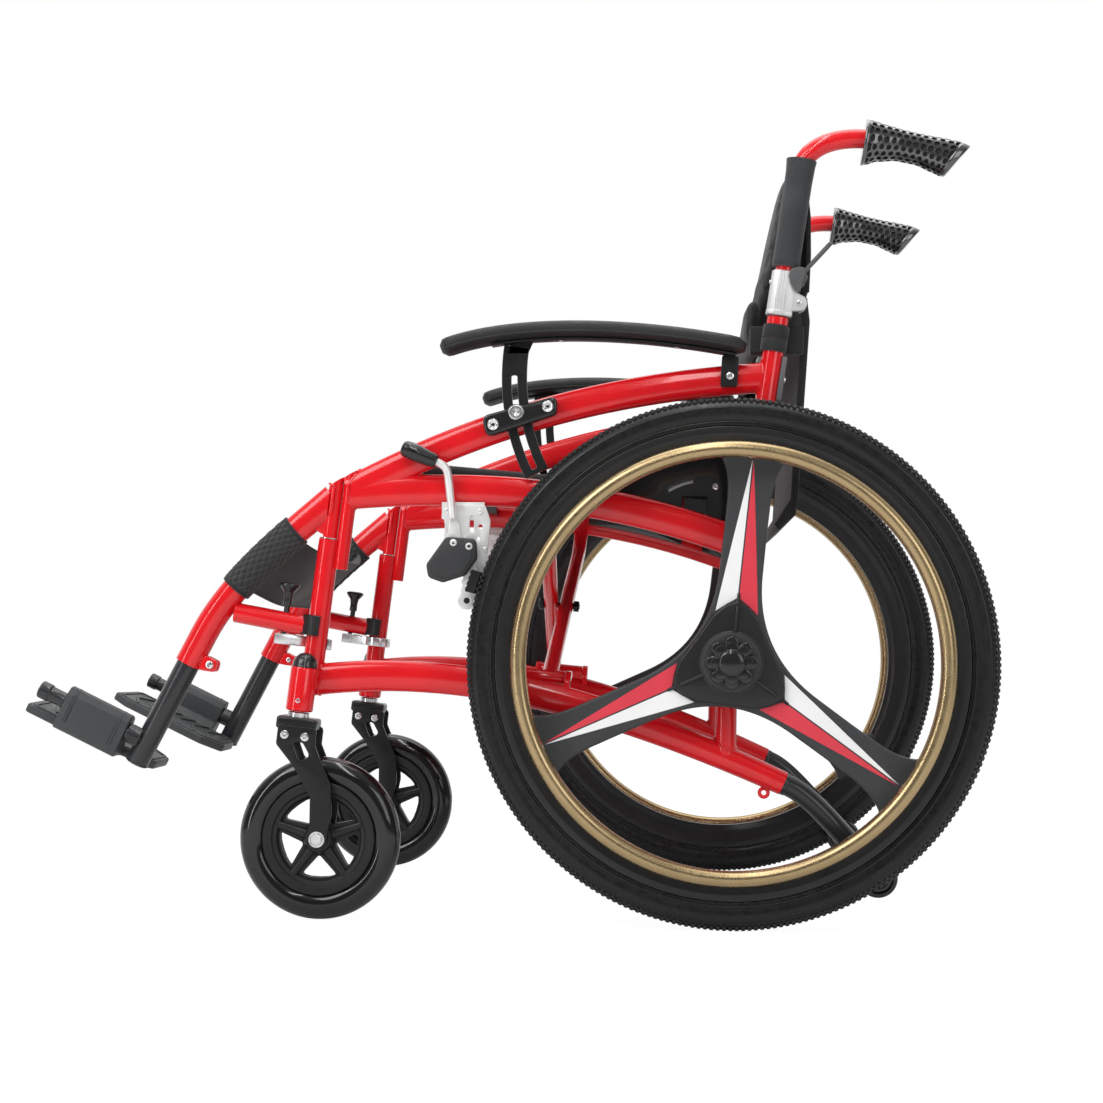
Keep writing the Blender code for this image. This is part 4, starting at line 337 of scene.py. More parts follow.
def drawn_tube(path, size_at, sides=28, power=2.0, side_way=across):
    """A tube extruded ring by ring along path; size_at(share) is its half width and half height."""
    if not callable(size_at):
        half = size_at
        size_at = lambda share: half if isinstance(half, tuple) else (half, half)
    bpy.ops.object.select_all(action="DESELECT")
    bpy.ops.mesh.primitive_circle_add(vertices=sides, fill_type="NGON", location=(0, 0, 0))
    tube = bpy.context.object
    ring = ring_at(path, 0, size_at, sides, power, side_way)
    for vertex, place in zip(tube.data.vertices, ring):
        vertex.co = place
    opened(tube)
    bpy.ops.mesh.select_all(action="SELECT")
    for i in range(1, len(path)):
        bpy.ops.mesh.extrude_region_move()
        shape = bmesh.from_edit_mesh(tube.data)
        moved = [vertex for vertex in shape.verts if vertex.select]
        following = ring_at(path, i, size_at, sides, power, side_way)
        for vertex in moved:
            k = min(range(sides), key=lambda k: (ring[k] - vertex.co).length_squared)
            vertex.co = following[k]
        ring = following
        bmesh.update_edit_mesh(tube.data)
    bpy.ops.object.mode_set(mode="OBJECT")
    return mended(tube)


def sliced(obj, place, beyond):
    """Cuts away what lies beyond a plane and closes the cut."""
    opened(obj)
    bpy.ops.mesh.select_all(action="SELECT")
    bpy.ops.mesh.bisect(plane_co=place, plane_no=beyond, use_fill=True, clear_outer=True)
    bpy.ops.object.mode_set(mode="OBJECT")
    return obj


def spun(profile, centre, axis, steps=48):
    """A turned part: a closed loop of (radius, height) spun about the axis through centre."""
    axis = axis.normalized()
    start_way = across if abs(axis.x) < 0.9 else Vector((0.0, 0.0, 1.0))
    start_way = (start_way - start_way.dot(axis) * axis).normalized()
    bpy.ops.object.select_all(action="DESELECT")
    bpy.ops.mesh.primitive_circle_add(vertices=len(profile), location=(0, 0, 0))
    part = bpy.context.object
    for vertex, (radius, height) in zip(part.data.vertices, profile):
        vertex.co = centre + start_way * radius + axis * height
    opened(part, "VERT")
    bpy.ops.mesh.select_all(action="SELECT")
    bpy.ops.mesh.spin(
        steps=steps, angle=2 * math.pi, center=centre, axis=axis, use_auto_merge=True
    )
    bpy.ops.object.mode_set(mode="OBJECT")
    return mended(part)


def rod(start, end, radius, end_radius=None, edge=0.0006, steps=32):
    """A round bar with softened ends."""
    end_radius = radius if end_radius is None else end_radius
    length = (end - start).length
    profile = [
        (0, 0), (radius - edge, 0), (radius - edge * 0.3, edge * 0.3), (radius, edge),
        (end_radius, length - edge), (end_radius - edge * 0.3, length - edge * 0.3),
        (end_radius - edge, length), (0, length),
    ]
    return spun(profile, start, end - start, steps)


def screw(place, way, radius=0.0042, height=0.0022):
    """A domed screw with a socket in its head."""
    profile = [
        (0, -0.0015), (radius, -0.0015), (radius, height * 0.35), (radius * 0.86, height * 0.82),
        (radius * 0.62, height), (radius * 0.48, height), (radius * 0.42, height * 0.3), (0, height * 0.2),
    ]
    return spun(profile, place, way, 20)


def softened(outline, radius, steps=5):
    """The outline with its corners turned into arcs."""
    points = []
    count = len(outline)
    for i in range(count):
        corner = Vector(outline[i])
        back = Vector(outline[i - 1]) - corner
        on = Vector(outline[(i + 1) % count]) - corner
        half = back.angle(on) / 2
        reach = min(radius / math.tan(half), back.length * 0.45, on.length * 0.45)
        first = corner + back.normalized() * reach
        last = corner + on.normalized() * reach
        for k in range(steps + 1):
            t = k / steps
            points.append(tuple(first * (1 - t) ** 2 + corner * 2 * t * (1 - t) + last * t * t))
    return points


def arc(y, z, radius, first, last, count=12):
    points = []
    for i in range(count + 1):
        angle = math.radians(first + (last - first) * i / count)
        points.append((y + radius * math.cos(angle), z + radius * math.sin(angle)))
    return points


def cut_plate(outline, origin, first, second, thickness, edge=0.0008, holes=()):
    """A flat part cut along an outline of (a, b) pairs, centred on origin, with rounded edges."""
    normal = first.cross(second)
    curve = bpy.data.curves.new("plate", "CURVE")
    curve.dimensions = "2D"
    curve.fill_mode = "BOTH"
    curve.extrude = thickness / 2 - edge
    curve.bevel_depth = edge
    curve.bevel_resolution = 2
    curve.offset = -edge
    for loop in (outline, *holes):
        spline = curve.splines.new("POLY")
        spline.points.add(len(loop) - 1)
        for point, (a, b) in zip(spline.points, loop):
            point.co = (a, b, 0.0, 1.0)
        spline.use_cyclic_u = True
    part = bpy.data.objects.new("plate", curve)
    bpy.context.scene.collection.objects.link(part)
    part.matrix_world = Matrix.Translation(origin) @ Matrix((
        (first.x, second.x, normal.x), (first.y, second.y, normal.y), (first.z, second.z, normal.z)
    )).to_4x4()
    only(part)
    bpy.ops.object.convert(target="MESH")
    return mended(settled(bpy.context.object), 1e-5)


def side_plate(outline, x_start, x_end, edge=0.0008, holes=()):
    """The same, with an outline of (y, z) pairs between two planes across the chair."""
    middle = Vector(((x_start + x_end) / 2, axle_y, 0.0))
    return cut_plate(outline, middle, heading(0), heading(90), abs(x_end - x_start), edge, holes)


def weld(path, i, size, power, post_place, post_way, radius, thickness=0.0014):
    """A rippled bead where a tube's ring i, carried along the tube, meets a round post."""
    tangent = (path[min(i + 1, len(path) - 1)] - path[max(i - 1, 0)]).normalized()
    way = tangent - tangent.dot(post_way) * post_way
    curve = bpy.data.curves.new("weld", "CURVE")
    curve.dimensions = "3D"
    curve.bevel_depth = thickness
    curve.bevel_resolution = 2
    spline = curve.splines.new("POLY")
    count = 72
    spline.points.add(count - 1)
    ring = ring_at(path, i, lambda share: size, count, power, across)
    for k, place in enumerate(ring):
        out = place - post_place
        out = out - out.dot(post_way) * post_way
        b = out.dot(way) / way.length_squared
        c = (out.length_squared - radius**2) / way.length_squared
        root = math.sqrt(max(0.0, b * b - c))
        t = -b + root if i < len(path) / 2 else -b - root
        spline.points[k].co = (*(place + tangent * t), 1.0)
        spline.points[k].radius = 1.1 if k % 2 else 0.8
    spline.use_cyclic_u = True
    bead = bpy.data.objects.new("weld", curve)
    bpy.context.scene.collection.objects.link(bead)
    only(bead)
    bpy.ops.object.convert(target="MESH")
    return mended(bpy.context.object, 1e-6)


def coated(name, colour, roughness, metallic=0.0, coat=0.0, grain=900.0, depth=0.00002, mottle=0.06,
           wear=0.05, shine=0.5):
    """A finish with faint clouds in its colour, uneven gloss and a fine grain."""
    material = bpy.data.materials.new(name)
    material.use_nodes = True
    shader = material.node_tree.nodes["Principled BSDF"]
    shader.inputs["Metallic"].default_value = metallic
    shader.inputs["Coat Weight"].default_value = coat
    shader.inputs["Coat Roughness"].default_value = 0.05
    shader.inputs["Specular IOR Level"].default_value = shine
    start = Wire(material.node_tree)
    place = start.node("TexCoord", output="Object")
    clouds = start.node("TexNoise", {}, {"Vector": place, "Scale": 34.0, "Detail": 3.0})
    specks = start.node("TexNoise", {}, {"Vector": place, "Scale": grain, "Detail": 2.0})
    smears = start.node("TexNoise", {}, {"Vector": place, "Scale": 85.0, "Detail": 4.0})
    dark = tuple(c * (1 - mottle) for c in colour)
    light = tuple(min(1.0, c * (1 + mottle)) for c in colour)
    body = clouds.step(0.25, 0.75).between(dark, light)
    rough = roughness - wear / 2 + smears.step(0.3, 0.7) * wear
    bump = start.node("Bump", {}, {"Height": specks, "Distance": depth, "Strength": 1.0})
    for socket, wire in (("Base Color", body), ("Roughness", rough), ("Normal", bump)):
        material.node_tree.links.new(wire.socket, shader.inputs[socket])
    return material


def painted(obj, *materials):
    obj.data.materials.clear()
    for material in materials:
        obj.data.materials.append(material)
    return obj


def fitted(piece, name, body, nodes):
    """Names a finished piece and sets it on its body in place of its solids."""
    piece.name = name
    piece.data.name = name
    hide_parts(*nodes)
    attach(piece, body)
    return piece


def both_sides(piece, name, body, nodes):
    """Sets the left piece and its mirror image on both sides of the chair."""
    other = piece.copy()
    other.data = piece.data.copy()
    bpy.context.scene.collection.objects.link(other)
    other.data.transform(Matrix.Scale(-1, 4, across))
    other.data.flip_normals()
    pair = []
    for side_name, obj in (("left", piece), ("right", other)):
        solids = [f"{node}_{side_name}" for node in nodes]
        pair.append(fitted(obj, f"{name}_{side_name}", f"{body}_{side_name}", solids))
    return pair


red_coat = coated("red_coat", (0.70, 0.008, 0.013), 0.18, coat=0.45, grain=420.0, depth=0.000012,
                  mottle=0.05, wear=0.05, shine=0.30)
zinc = coated("bright_zinc", (0.70, 0.70, 0.71), 0.26, metallic=1.0, grain=700.0, depth=0.00001)

twin_step = (0.0172 + 0.0003) / math.cos(front_lean)
front_way = heading(90 - 6.7)
rear_way = heading(90 - 8.25)
arch_line = bend(
    on_front_post(0.5044, twin_step), on_front_post(0.5044, twin_step) + heading(28) * 0.185,
    on_rear_post(0.6415) - heading(3.5) * 0.185, on_rear_post(0.6415), 28,
)
mid_line = bend(
    on_front_post(0.5015, twin_step), on_front_post(0.5015, twin_step) + heading(5) * 0.165,
    on_rear_post(0.443) - heading(-21) * 0.165, on_rear_post(0.443), 26,
)
low_line = bend(
    on_front_post(0.2785), on_front_post(0.2785) + heading(8) * 0.195,
    at(0.0627, 0.1635) - heading(-24) * 0.195, at(0.0627, 0.1635), 30,
)
arch = drawn_tube(arch_line, (0.010, 0.018), power=2.35)
mid_rail = drawn_tube(mid_line, (0.010, 0.0185), power=2.35)
low_rail = drawn_tube(low_line, lambda t: (0.010 + 0.003 * t * t, 0.0185 - 0.0045 * t * t), power=2.3)

front_post = drawn_tube([on_front_post(0.2705), on_front_post(0.447)], post_radius, 40)
rear_post = drawn_tube(
    [at(-0.005, 0.196), at(-0.004, 0.293), on_rear_post(0.323, 0.001), on_rear_post(0.712)],
    post_radius, 40,
)
twin = drawn_tube([on_front_post(0.411, twin_step), on_front_post(0.535, twin_step)], 0.0086, 32)
twin = sliced(twin, arch_line[0] + heading(118) * 0.018, heading(118))
twin = sliced(twin, on_front_post(0.411, twin_step) + heading(0) * 0.0085, heading(-50))
boss = rod(at(0, 0.305, frame_x), at(0, 0.305, 0.257), 0.016, edge=0.0012, steps=40)

housing_foot = at(-0.5035, 0.2695, 0.2555) - front_way * 0.0265
housing = spun(
    [(0.0065, 0), (0.0145, 0), (0.016, 0.0015), (0.016, 0.050), (0.0152, 0.0515), (0.0140, 0.0520),
     (0, 0.0520), (0, 0.040), (0.0065, 0.040)],
    housing_foot, front_way, 48,
)
housing_cap = spun(
    [(0, 0.0518), (0.0146, 0.0518), (0.0152, 0.0526), (0.0146, 0.0540), (0.0142, 0.0585), (0.0118, 0.0630),
     (0.0075, 0.0672), (0.0035, 0.0686), (0, 0.0688)],
    housing_foot, front_way, 48,
)
gusset = side_plate(
    [(-0.030, 0.6415), (0.046, 0.6415)] + [(on_rear_post(0.664).y - axle_y, 0.664)]
    + arc(on_rear_post(0.664).y - axle_y - 0.033, 0.662, 0.020, 0, -75),
    frame_x - 0.007, frame_x + 0.007, 0.0,
)
tongue = side_plate(
    [(on_rear_post(0.7045).y - axle_y, 0.7045), (on_rear_post(0.7045).y - axle_y + 0.0118, 0.7050)]
    + arc(0.079, 0.7284, 0.0075, -40, 150) + [(0.0658, 0.7150), (0.0636, 0.7090)],
    frame_x - 0.003, frame_x + 0.003, 0.0005,
)
hinge_pin = rod(at(0.079, 0.7284, frame_x - 0.0132), at(0.079, 0.7284, frame_x + 0.0132), 0.003)

# The folding arms work in planes square to the seat rails, which slope down to the rear.
fold_way = heading(-5)
fold_up = heading(85)


def in_fold(x, up, along=0.0):
    return at(-0.2245, 0.285, x) + fold_up * up + fold_way * along


saddles = []
for along in (-0.126, 0.165):
    cup = arc(0, 0, 0.0113, 180, 360, 16)
    shell = [(0.0148, 0.0), (0.0385, -0.0005), (0.0385, -0.0178), (0.018, -0.0178)]
    shell += [(-0.004, -0.0146), (-0.0125, -0.0085), (-0.0148, -0.0005)]
    saddles.append(cut_plate(
        cup + [(0.0113, 0.0)] + shell, in_fold(0.191, 0.228, along), across, fold_up, 0.028, 0.0008
    ))
lugs = []
lug_shape = softened(
    [(-0.009, -0.006), (0.000, -0.010), (0.028, -0.022), (0.028, -0.002), (0.010, 0.009), (0.000, 0.010),
     (-0.008, 0.006)], 0.004, 3,
)
for along in (-0.0330, 0.0330):
    lugs.append(cut_plate(lug_shape, in_fold(0.203, 0, along), across, fold_up, 0.007, 0.0008))
brace_pin = rod(in_fold(0.203, 0, -0.0345), in_fold(0.203, 0, 0.0345), 0.005, steps=24)

front_post_at = on_front_post(0.30)
twin_at = on_front_post(0.45, twin_step)
welds = [
    weld(arch_line, 1, (0.010, 0.018), 2.35, twin_at, front_way, 0.0086),
    weld(mid_line, 1, (0.010, 0.0185), 2.35, twin_at, front_way, 0.0086),
    weld(low_line, 1, (0.010, 0.0185), 2.3, front_post_at, front_way, post_radius),
    weld(arch_line, 27, (0.010, 0.018), 2.35, on_rear_post(0.64), rear_way, post_radius),
    weld(mid_line, 25, (0.010, 0.0185), 2.35, on_rear_post(0.45), rear_way, post_radius),
]
rear_in = low_line[24]
welds.append(weld(
    [at(-0.005, 0.240), at(-0.005, 0.225)], 1, (post_radius, post_radius), 2.0,
    low_line[25], (low_line[26] - low_line[24]).normalized(), 0.0165,
))
eyelet = side_plate(arc(0.0400, 0.1525, 0.0072, 0, 348, 29), frame_x - 0.0022, frame_x + 0.0022, 0.0012,
                    [arc(0.0400, 0.1525, 0.0028, 0, 345, 23)])
side_frame = grouped(
    "side_frame", eyelet, arch, mid_rail, low_rail, front_post, rear_post, twin, boss, housing, gusset, *lugs,
    *welds,
)
smooth(painted(side_frame, red_coat))
steel = painted(smooth(grouped("steel", hinge_pin, brace_pin)), zinc)
plug_paint = coated("black_plug", (0.012, 0.012, 0.013), 0.30, coat=0.5, grain=1200.0, depth=0.00002, shine=0.32)
screws = [
    screw(at(-0.5035, 0.2695, 0.2555) + across * 0.0155 + front_way * d, across, 0.0030, 0.0012)
    for d in (-0.014,)
]
screws.append(screw(on_rear_post(0.600) + across * post_radius, across, 0.0036, 0.0018))
bolts = painted(smooth(grouped("bolts", *screws)), zinc)
accessory_foot = on_rear_post(0.614) + heading(-8.25) * (post_radius + 0.002)
accessory = cut_plate(
    softened([(-0.0085, 0.0), (0.0085, 0.0), (0.0085, 0.054), (-0.0085, 0.054)], 0.003, 4),
    accessory_foot, across, rear_way, 0.006, 0.0008,
)
accessory_screw = screw(accessory_foot + rear_way * 0.027 + heading(-8.25) * 0.003, heading(-8.25), 0.0036)
strip_grey = coated("strip_grey", (0.10, 0.10, 0.105), 0.50, grain=900.0, depth=0.00003)
accessory = grouped("accessory", smooth(painted(accessory, strip_grey)), smooth(painted(accessory_screw, zinc)))
# The tongue under the hinge lobe takes the same black finish as the plugs and saddles, so the place under the lobe is
# dark.
black_pieces = smooth(painted(grouped("black_pieces", housing_cap, tongue, *saddles), plug_paint))
side_frame = grouped("side_frame", side_frame, steel, bolts, accessory, black_pieces)
both_sides(side_frame, "frame_tubes", "frame", ["side_frame"])


# Rear wheels
# A wheel moulded in one piece: a deep rim and three broad flat spokes that meet in a three-cornered
# hub with a rib out along each spoke. A white and a coral stripe are stuck on every spoke.

wheel_x = 0.279
spoke_angles = (84, 204, 324)
moulded = coated("moulded_wheel", (0.040, 0.041, 0.043), 0.40, grain=1500.0, depth=0.00003, mottle=0.08, shine=0.32)
moulded_rim = coated("moulded_rim", (0.020, 0.020, 0.021), 0.24, grain=1200.0, depth=0.00001, shine=0.32)
white_film = coated("white_film", (0.83, 0.83, 0.83), 0.34, grain=300.0, depth=0.00001, mottle=0.02)
coral_film = coated("coral_film", (0.66, 0.040, 0.064), 0.34, grain=300.0, depth=0.00001, mottle=0.03)


def on_spoke(degrees, out, aside):
    """A (y, z) place by its distance out along a spoke and sideways from its middle line."""
    c = math.cos(math.radians(degrees))
    s = math.sin(math.radians(degrees))
    return (out * c - aside * s, 0.305 + out * s + aside * c)


def circle(y, z, radius, count=48):
    return arc(y, z, radius, 0, 360 * (count - 1) / count, count - 1)


star = []
for angle in spoke_angles:
    edge_line = [(0.105, 0.025), (0.150, 0.0247), (0.188, 0.0250), (0.204, 0.0262), (0.216, 0.0285),
                 (0.226, 0.0318), (0.234, 0.0360), (0.240, 0.0410), (0.246, 0.0480)]
    star += [on_spoke(angle, out, -half) for out, half in edge_line]
    star += [on_spoke(angle, out, half) for out, half in reversed(edge_line)]
    first = Vector(on_spoke(angle, 0.105, 0.025))
    turn = Vector(on_spoke(angle + 60, 0.0289, 0.0))
    last = Vector(on_spoke(angle + 120, 0.105, -0.025))
    for k in range(1, 24):
        t = k / 24
        star.append(tuple(first * (1 - t) ** 2 + turn * 2 * t * (1 - t) + last * t * t))
star_plate = side_plate(star, wheel_x - 0.0085, wheel_x + 0.0085, 0.0028)
rim_line = softened(
    [(0.2405, -0.0060), (0.2405, 0.0060), (0.2490, 0.0108), (0.2560, 0.0112), (0.2640, 0.0128),
     (0.2725, 0.0130), (0.2725, -0.0130), (0.2640, -0.0128), (0.2560, -0.0112), (0.2490, -0.0108)],
    0.0016, 3,
)
rim = spun(rim_line, at(0, 0.305, wheel_x), across, 180)
hub_plate = []
for angle in spoke_angles:
    hub_plate += [on_spoke(angle, 0.0530, -0.0262), on_spoke(angle, 0.0650, -0.0140),
                  on_spoke(angle, 0.0705, -0.0020), on_spoke(angle, 0.0705, 0.0020),
                  on_spoke(angle, 0.0650, 0.0140), on_spoke(angle, 0.0530, 0.0262),
                  on_spoke(angle + 60, 0.0490, 0.0)]
hub_face = side_plate(softened(hub_plate, 0.010, 6), wheel_x + 0.0070, wheel_x + 0.0160, 0.0028)
hub = spun(
    softened([(0.0066, -0.0205), (0.0255, -0.0205), (0.0300, -0.0130), (0.0480, -0.0070), (0.0480, 0.0070),
              (0.0350, 0.0170), (0.0335, 0.0205), (0.0066, 0.0205)], 0.0018, 3),
    at(0, 0.305, wheel_x), across, 72,
)
ribs = []
for angle in spoke_angles:
    for face, low in ((0.0098, 0.0026), (-0.0085, 0.0030)):
        drop = 0.0062 if face > 0 else 0.0
        line = [at(*on_spoke(angle, out, 0.0), wheel_x + face + drop * up)
                for out, up in ((0.022, 1.0), (0.040, 1.0), (0.060, 0.95), (0.070, 0.30), (0.080, -0.1))]
        ribs.append(drawn_tube(
            line, lambda t, low=low: (low * (1 - 0.75 * t**4), 0.0030 * (1 - 0.45 * t)), 16,
        ))
wheel_body = smooth(painted(grouped("wheel_body", star_plate, hub), moulded), 38)
hub_gloss = coated("hub_plate", (0.016, 0.016, 0.017), 0.30, grain=1200.0, depth=0.00002, shine=0.32)
hub_face = smooth(painted(grouped("hub_face", hub_face, *ribs), hub_gloss), 38)
rim = smooth(painted(rim, moulded_rim), 50)
films = []
for angle in spoke_angles:
    white = [(0.2343, 0.0010), (0.0745, 0.0010), (0.0665, 0.0127), (0.0570, 0.0246), (0.1050, 0.0184)]
    coral = [(0.2343, -0.0006), (0.1050, -0.0180), (0.0570, -0.0243), (0.0665, -0.0127), (0.0745, -0.0008)]
    for shape, film in ((white, white_film), (coral, coral_film)):
        outline = [on_spoke(angle, out, aside) for out, aside in shape]
        part = side_plate(outline, wheel_x + 0.00845, wheel_x + 0.00875, 0.00005)
        films.append(painted(part, film))
wheel = grouped("wheel", wheel_body, hub_face, rim, *films)
both_sides(wheel, "spoked_wheel", "rear_wheel", ["wheel"])

for side_name in ("left", "right"):
    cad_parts[f"axle_{side_name}"].material_slots[0].material = zinc


# Tyres
# Black rubber over an air tube: a bulging side with two raised rings, and rows of small
# blocks on the tread that were moulded with it.

tyre_rubber = coated("tyre_rubber", (0.009, 0.009, 0.010), 0.30, grain=500.0, depth=0.00003, wear=0.12, shine=0.32)
block_rubber = coated("block_rubber", (0.015, 0.015, 0.016), 0.55, grain=800.0, depth=0.00004, wear=0.10, shine=0.32)
half_tyre = [(0.2728, 0.0136), (0.2752, 0.0146), (0.2764, 0.0156), (0.2776, 0.0150), (0.2800, 0.0160),
             (0.2850, 0.01725), (0.2890, 0.01740), (0.2925, 0.01700), (0.2940, 0.01715), (0.2952, 0.0163),
             (0.2990, 0.0142), (0.3014, 0.0108), (0.3026, 0.0060), (0.3030, 0.0)]
tyre_line = half_tyre + [(r, -h) for r, h in reversed(half_tyre[:-1])]
tyre_body = spun(tyre_line, at(0, 0.305, wheel_x), across, 216)
smooth(painted(tyre_body, tyre_rubber), 50)


def tread_row(aside, width, length, rise, lean, count, start_angle):
    """A row of softened blocks set round the tread."""
    bpy.ops.object.select_all(action="DESELECT")
    radius = 0.3030 - max(0.0, abs(aside) - 0.006) ** 2 * 34
    bpy.ops.mesh.primitive_cube_add(
        size=1, location=at(0, 0.305 + radius, wheel_x + aside),
        rotation=(0, math.copysign(lean, aside), 0), scale=(width, length, rise),
    )
    block = settled(bpy.context.object)
    opened(block)
    bpy.ops.mesh.select_all(action="SELECT")
    bpy.ops.mesh.bevel(offset=0.0005, segments=1, affect="EDGES")
    bpy.ops.transform.rotate(
        value=start_angle, orient_axis="X", center_override=at(0, 0.305, wheel_x)
    )
    bpy.ops.mesh.select_all(action="SELECT")
    bpy.ops.mesh.spin(
        steps=count - 1, dupli=True, angle=2 * math.pi * (count - 1) / count,
        center=at(0, 0.305, wheel_x), axis=across,
    )
    bpy.ops.object.mode_set(mode="OBJECT")
    return block


pitch = 2 * math.pi / 264
rows = [
    tread_row(0.0112, 0.0062, 0.0044, 0.0040, 0.62, 264, 0.0),
    tread_row(-0.0112, 0.0062, 0.0044, 0.0040, 0.62, 264, 0.0),
    tread_row(0.0040, 0.0052, 0.0042, 0.0036, 0.10, 264, pitch / 2),
    tread_row(-0.0040, 0.0052, 0.0042, 0.0036, 0.10, 264, pitch / 2),
]
tread = painted(grouped("tread", *rows), block_rubber)
tyre = grouped("tyre", tyre_body, tread)
both_sides(tyre, "tyre_rubber", "rear_wheel", ["tyre"])


# Hand rims
# A round aluminium tube, anodised bronze, on six short black tabs that are screwed to the wheel's rim.

gold = coated("bronze_tube", (0.41, 0.305, 0.165), 0.28, metallic=1.0, grain=600.0, depth=0.000008, mottle=0.05)
black_steel = coated("black_steel", (0.010, 0.010, 0.011), 0.34, grain=1500.0, depth=0.00002, shine=0.32)
hand_rim = spun(
    [(0.2433 + a, b) for a, b in oval(0.0095, 0.0095, 28)], at(0, 0.305, wheel_x + 0.035), across, 180
)
smooth(painted(hand_rim, gold))
tabs = []
for i in range(6):
    angle = 84 + 60 * (i + 0.5)
    foot = at(*on_spoke(angle, 0.2488, 0.0), wheel_x + 0.0121)
    tab = drawn_tube([foot, foot + across * 0.006, foot + across * 0.020], (0.0075, 0.0028), 20, 4.0, heading(angle + 90))
    tabs += [tab, screw(foot + across * 0.0004 + heading(angle) * 0.0068, across, 0.0026, 0.0014)]
tabs = smooth(painted(grouped("tabs", *tabs), black_steel))
both_sides(grouped("hand_rim", hand_rim, tabs), "push_rim", "rear_wheel", ["hand_rim"])


# Hub knobs
# A glossy moulded knob with eight petals and a domed middle, pressed in by hand to free the wheel.

knob_gloss = coated("knob_gloss", (0.014, 0.014, 0.015), 0.16, coat=0.3, grain=900.0, depth=0.00001, shine=0.32)
petals = []
for i in range(128):
    angle = 2 * math.pi * i / 128
    turn = (angle + math.pi / 8) % (math.pi / 4) - math.pi / 8
    aside = 0.0226 * math.sin(turn)
    radius = 0.0226 * math.cos(turn) + math.sqrt(max(0.0, 0.0079**2 - aside**2))
    petals.append((radius * math.cos(angle), 0.305 + radius * math.sin(angle)))
knob = side_plate(petals, 0.3003, 0.3118, 0.0022)
inner = side_plate([((y) * 0.80, 0.305 + (z - 0.305) * 0.80) for y, z in petals], 0.3110, 0.3126, 0.0007)
dome = spun(
    [(0, 0), (0.0162, 0), (0.0160, 0.0012), (0.0150, 0.0026), (0.0130, 0.0038), (0.0100, 0.0046),
     (0.0060, 0.0051), (0.0020, 0.0053), (0, 0.0053)], at(0, 0.305, 0.3121), across, 40,
)
knob = smooth(painted(grouped("knob", knob, inner, dome), knob_gloss), 40)
both_sides(knob, "hub_knob", "rear_wheel", ["hub_cap"])


# Caster forks
# Two black steel cheeks with a slanting slot, screwed to a glossy crown block, with a steel stem up
# into the frame's housing and a bright axle bolt below.

housing_at = at(-0.5035, 0.2695, 0.2555)
back_way = heading(-6.7)
caster_hub = housing_at - front_way * (0.1745 / math.cos(front_lean)) + back_way * 0.045
caster_hub.z = 0.095
crown_top = housing_at - front_way * 0.0335
crown_gloss = coated("crown_gloss", (0.017, 0.017, 0.018), 0.22, grain=900.0, depth=0.00001, shine=0.32)


def on_fork(back, down):
    place = crown_top + back_way * back - front_way * down
    return (place.y - axle_y, place.z)


bpy.ops.object.select_all(action="DESELECT")
bpy.ops.mesh.primitive_cube_add(
    size=1, location=crown_top - front_way * 0.0075 + back_way * 0.0015, rotation=(-front_lean, 0, 0),
    scale=(0.0365, 0.0475, 0.0150),
)
crown = settled(bpy.context.object)
opened(crown)
bpy.ops.mesh.select_all(action="SELECT")
bpy.ops.mesh.bevel(offset=0.0035, segments=4, affect="EDGES")
bpy.ops.object.mode_set(mode="OBJECT")
block = []
cheek = softened(
    [on_fork(-0.0180, 0.0095), on_fork(-0.0178, 0.0330), on_fork(0.0040, 0.0545), on_fork(0.0165, 0.0698),
     on_fork(0.0300, 0.0889), on_fork(0.0333, 0.1190)]
    + [(caster_hub.y - axle_y + a, 0.095 + b) for a, b in arc(0, 0, 0.0118, 178, 372, 8)]
    + [on_fork(0.0578, 0.1063), on_fork(0.0525, 0.0720), on_fork(0.0363, 0.0450), on_fork(0.0280, 0.0300),
       on_fork(0.0278, 0.0095)],
    0.006, 5,
)
slot = softened([on_fork(0.0004, 0.0285), on_fork(0.0132, 0.0276), on_fork(0.0246, 0.0432),
                 on_fork(0.0108, 0.0496)], 0.0056, 5)
cheeks = []
fork_screws = []
for sign in (-1, 1):
    face = 0.2555 + sign * 0.0210
    cheeks.append(side_plate(cheek, face - 0.0025, face + 0.0025, 0.0009, [slot]))
    for back in (-0.0088, 0.0152):
        y, z = on_fork(back, 0.0212)
        fork_screws.append(screw(at(y, z, face + sign * 0.0025), across * sign, 0.0052, 0.0020))
    nut = spun([(0, 0), (0.0076, 0), (0.0076, 0.0034), (0.0066, 0.0044), (0, 0.0044)],
               caster_hub + across * sign * 0.0233, across * sign, 6)
    washer = spun([(0, 0), (0.0092, 0), (0.0092, 0.0010), (0, 0.0010)],
                  caster_hub + across * sign * 0.0233, across * sign, 36)
    fork_screws += [nut, washer]
stem = rod(crown_top - front_way * 0.004, housing_at + front_way * 0.010, 0.006)
collar = spun([(0, 0), (0.0125, 0), (0.0125, 0.0052), (0.0112, 0.0064), (0, 0.0064)],
              crown_top - front_way * 0.0004, front_way, 40)
bolt = rod(caster_hub - across * 0.0245, caster_hub + across * 0.0245, 0.005, steps=24)
crown = smooth(painted(crown, crown_gloss), 40)
cheeks = smooth(painted(grouped("cheeks", *cheeks), black_steel), 40)
bright = smooth(painted(grouped("bright", stem, collar, bolt, *fork_screws), zinc), 30)
both_sides(grouped("fork", crown, cheeks, bright), "front_fork", "caster_fork", ["caster_fork"])


# Caster wheels
# A glossy solid tyre on a moulded wheel with five ribbed spokes and three-cornered windows.

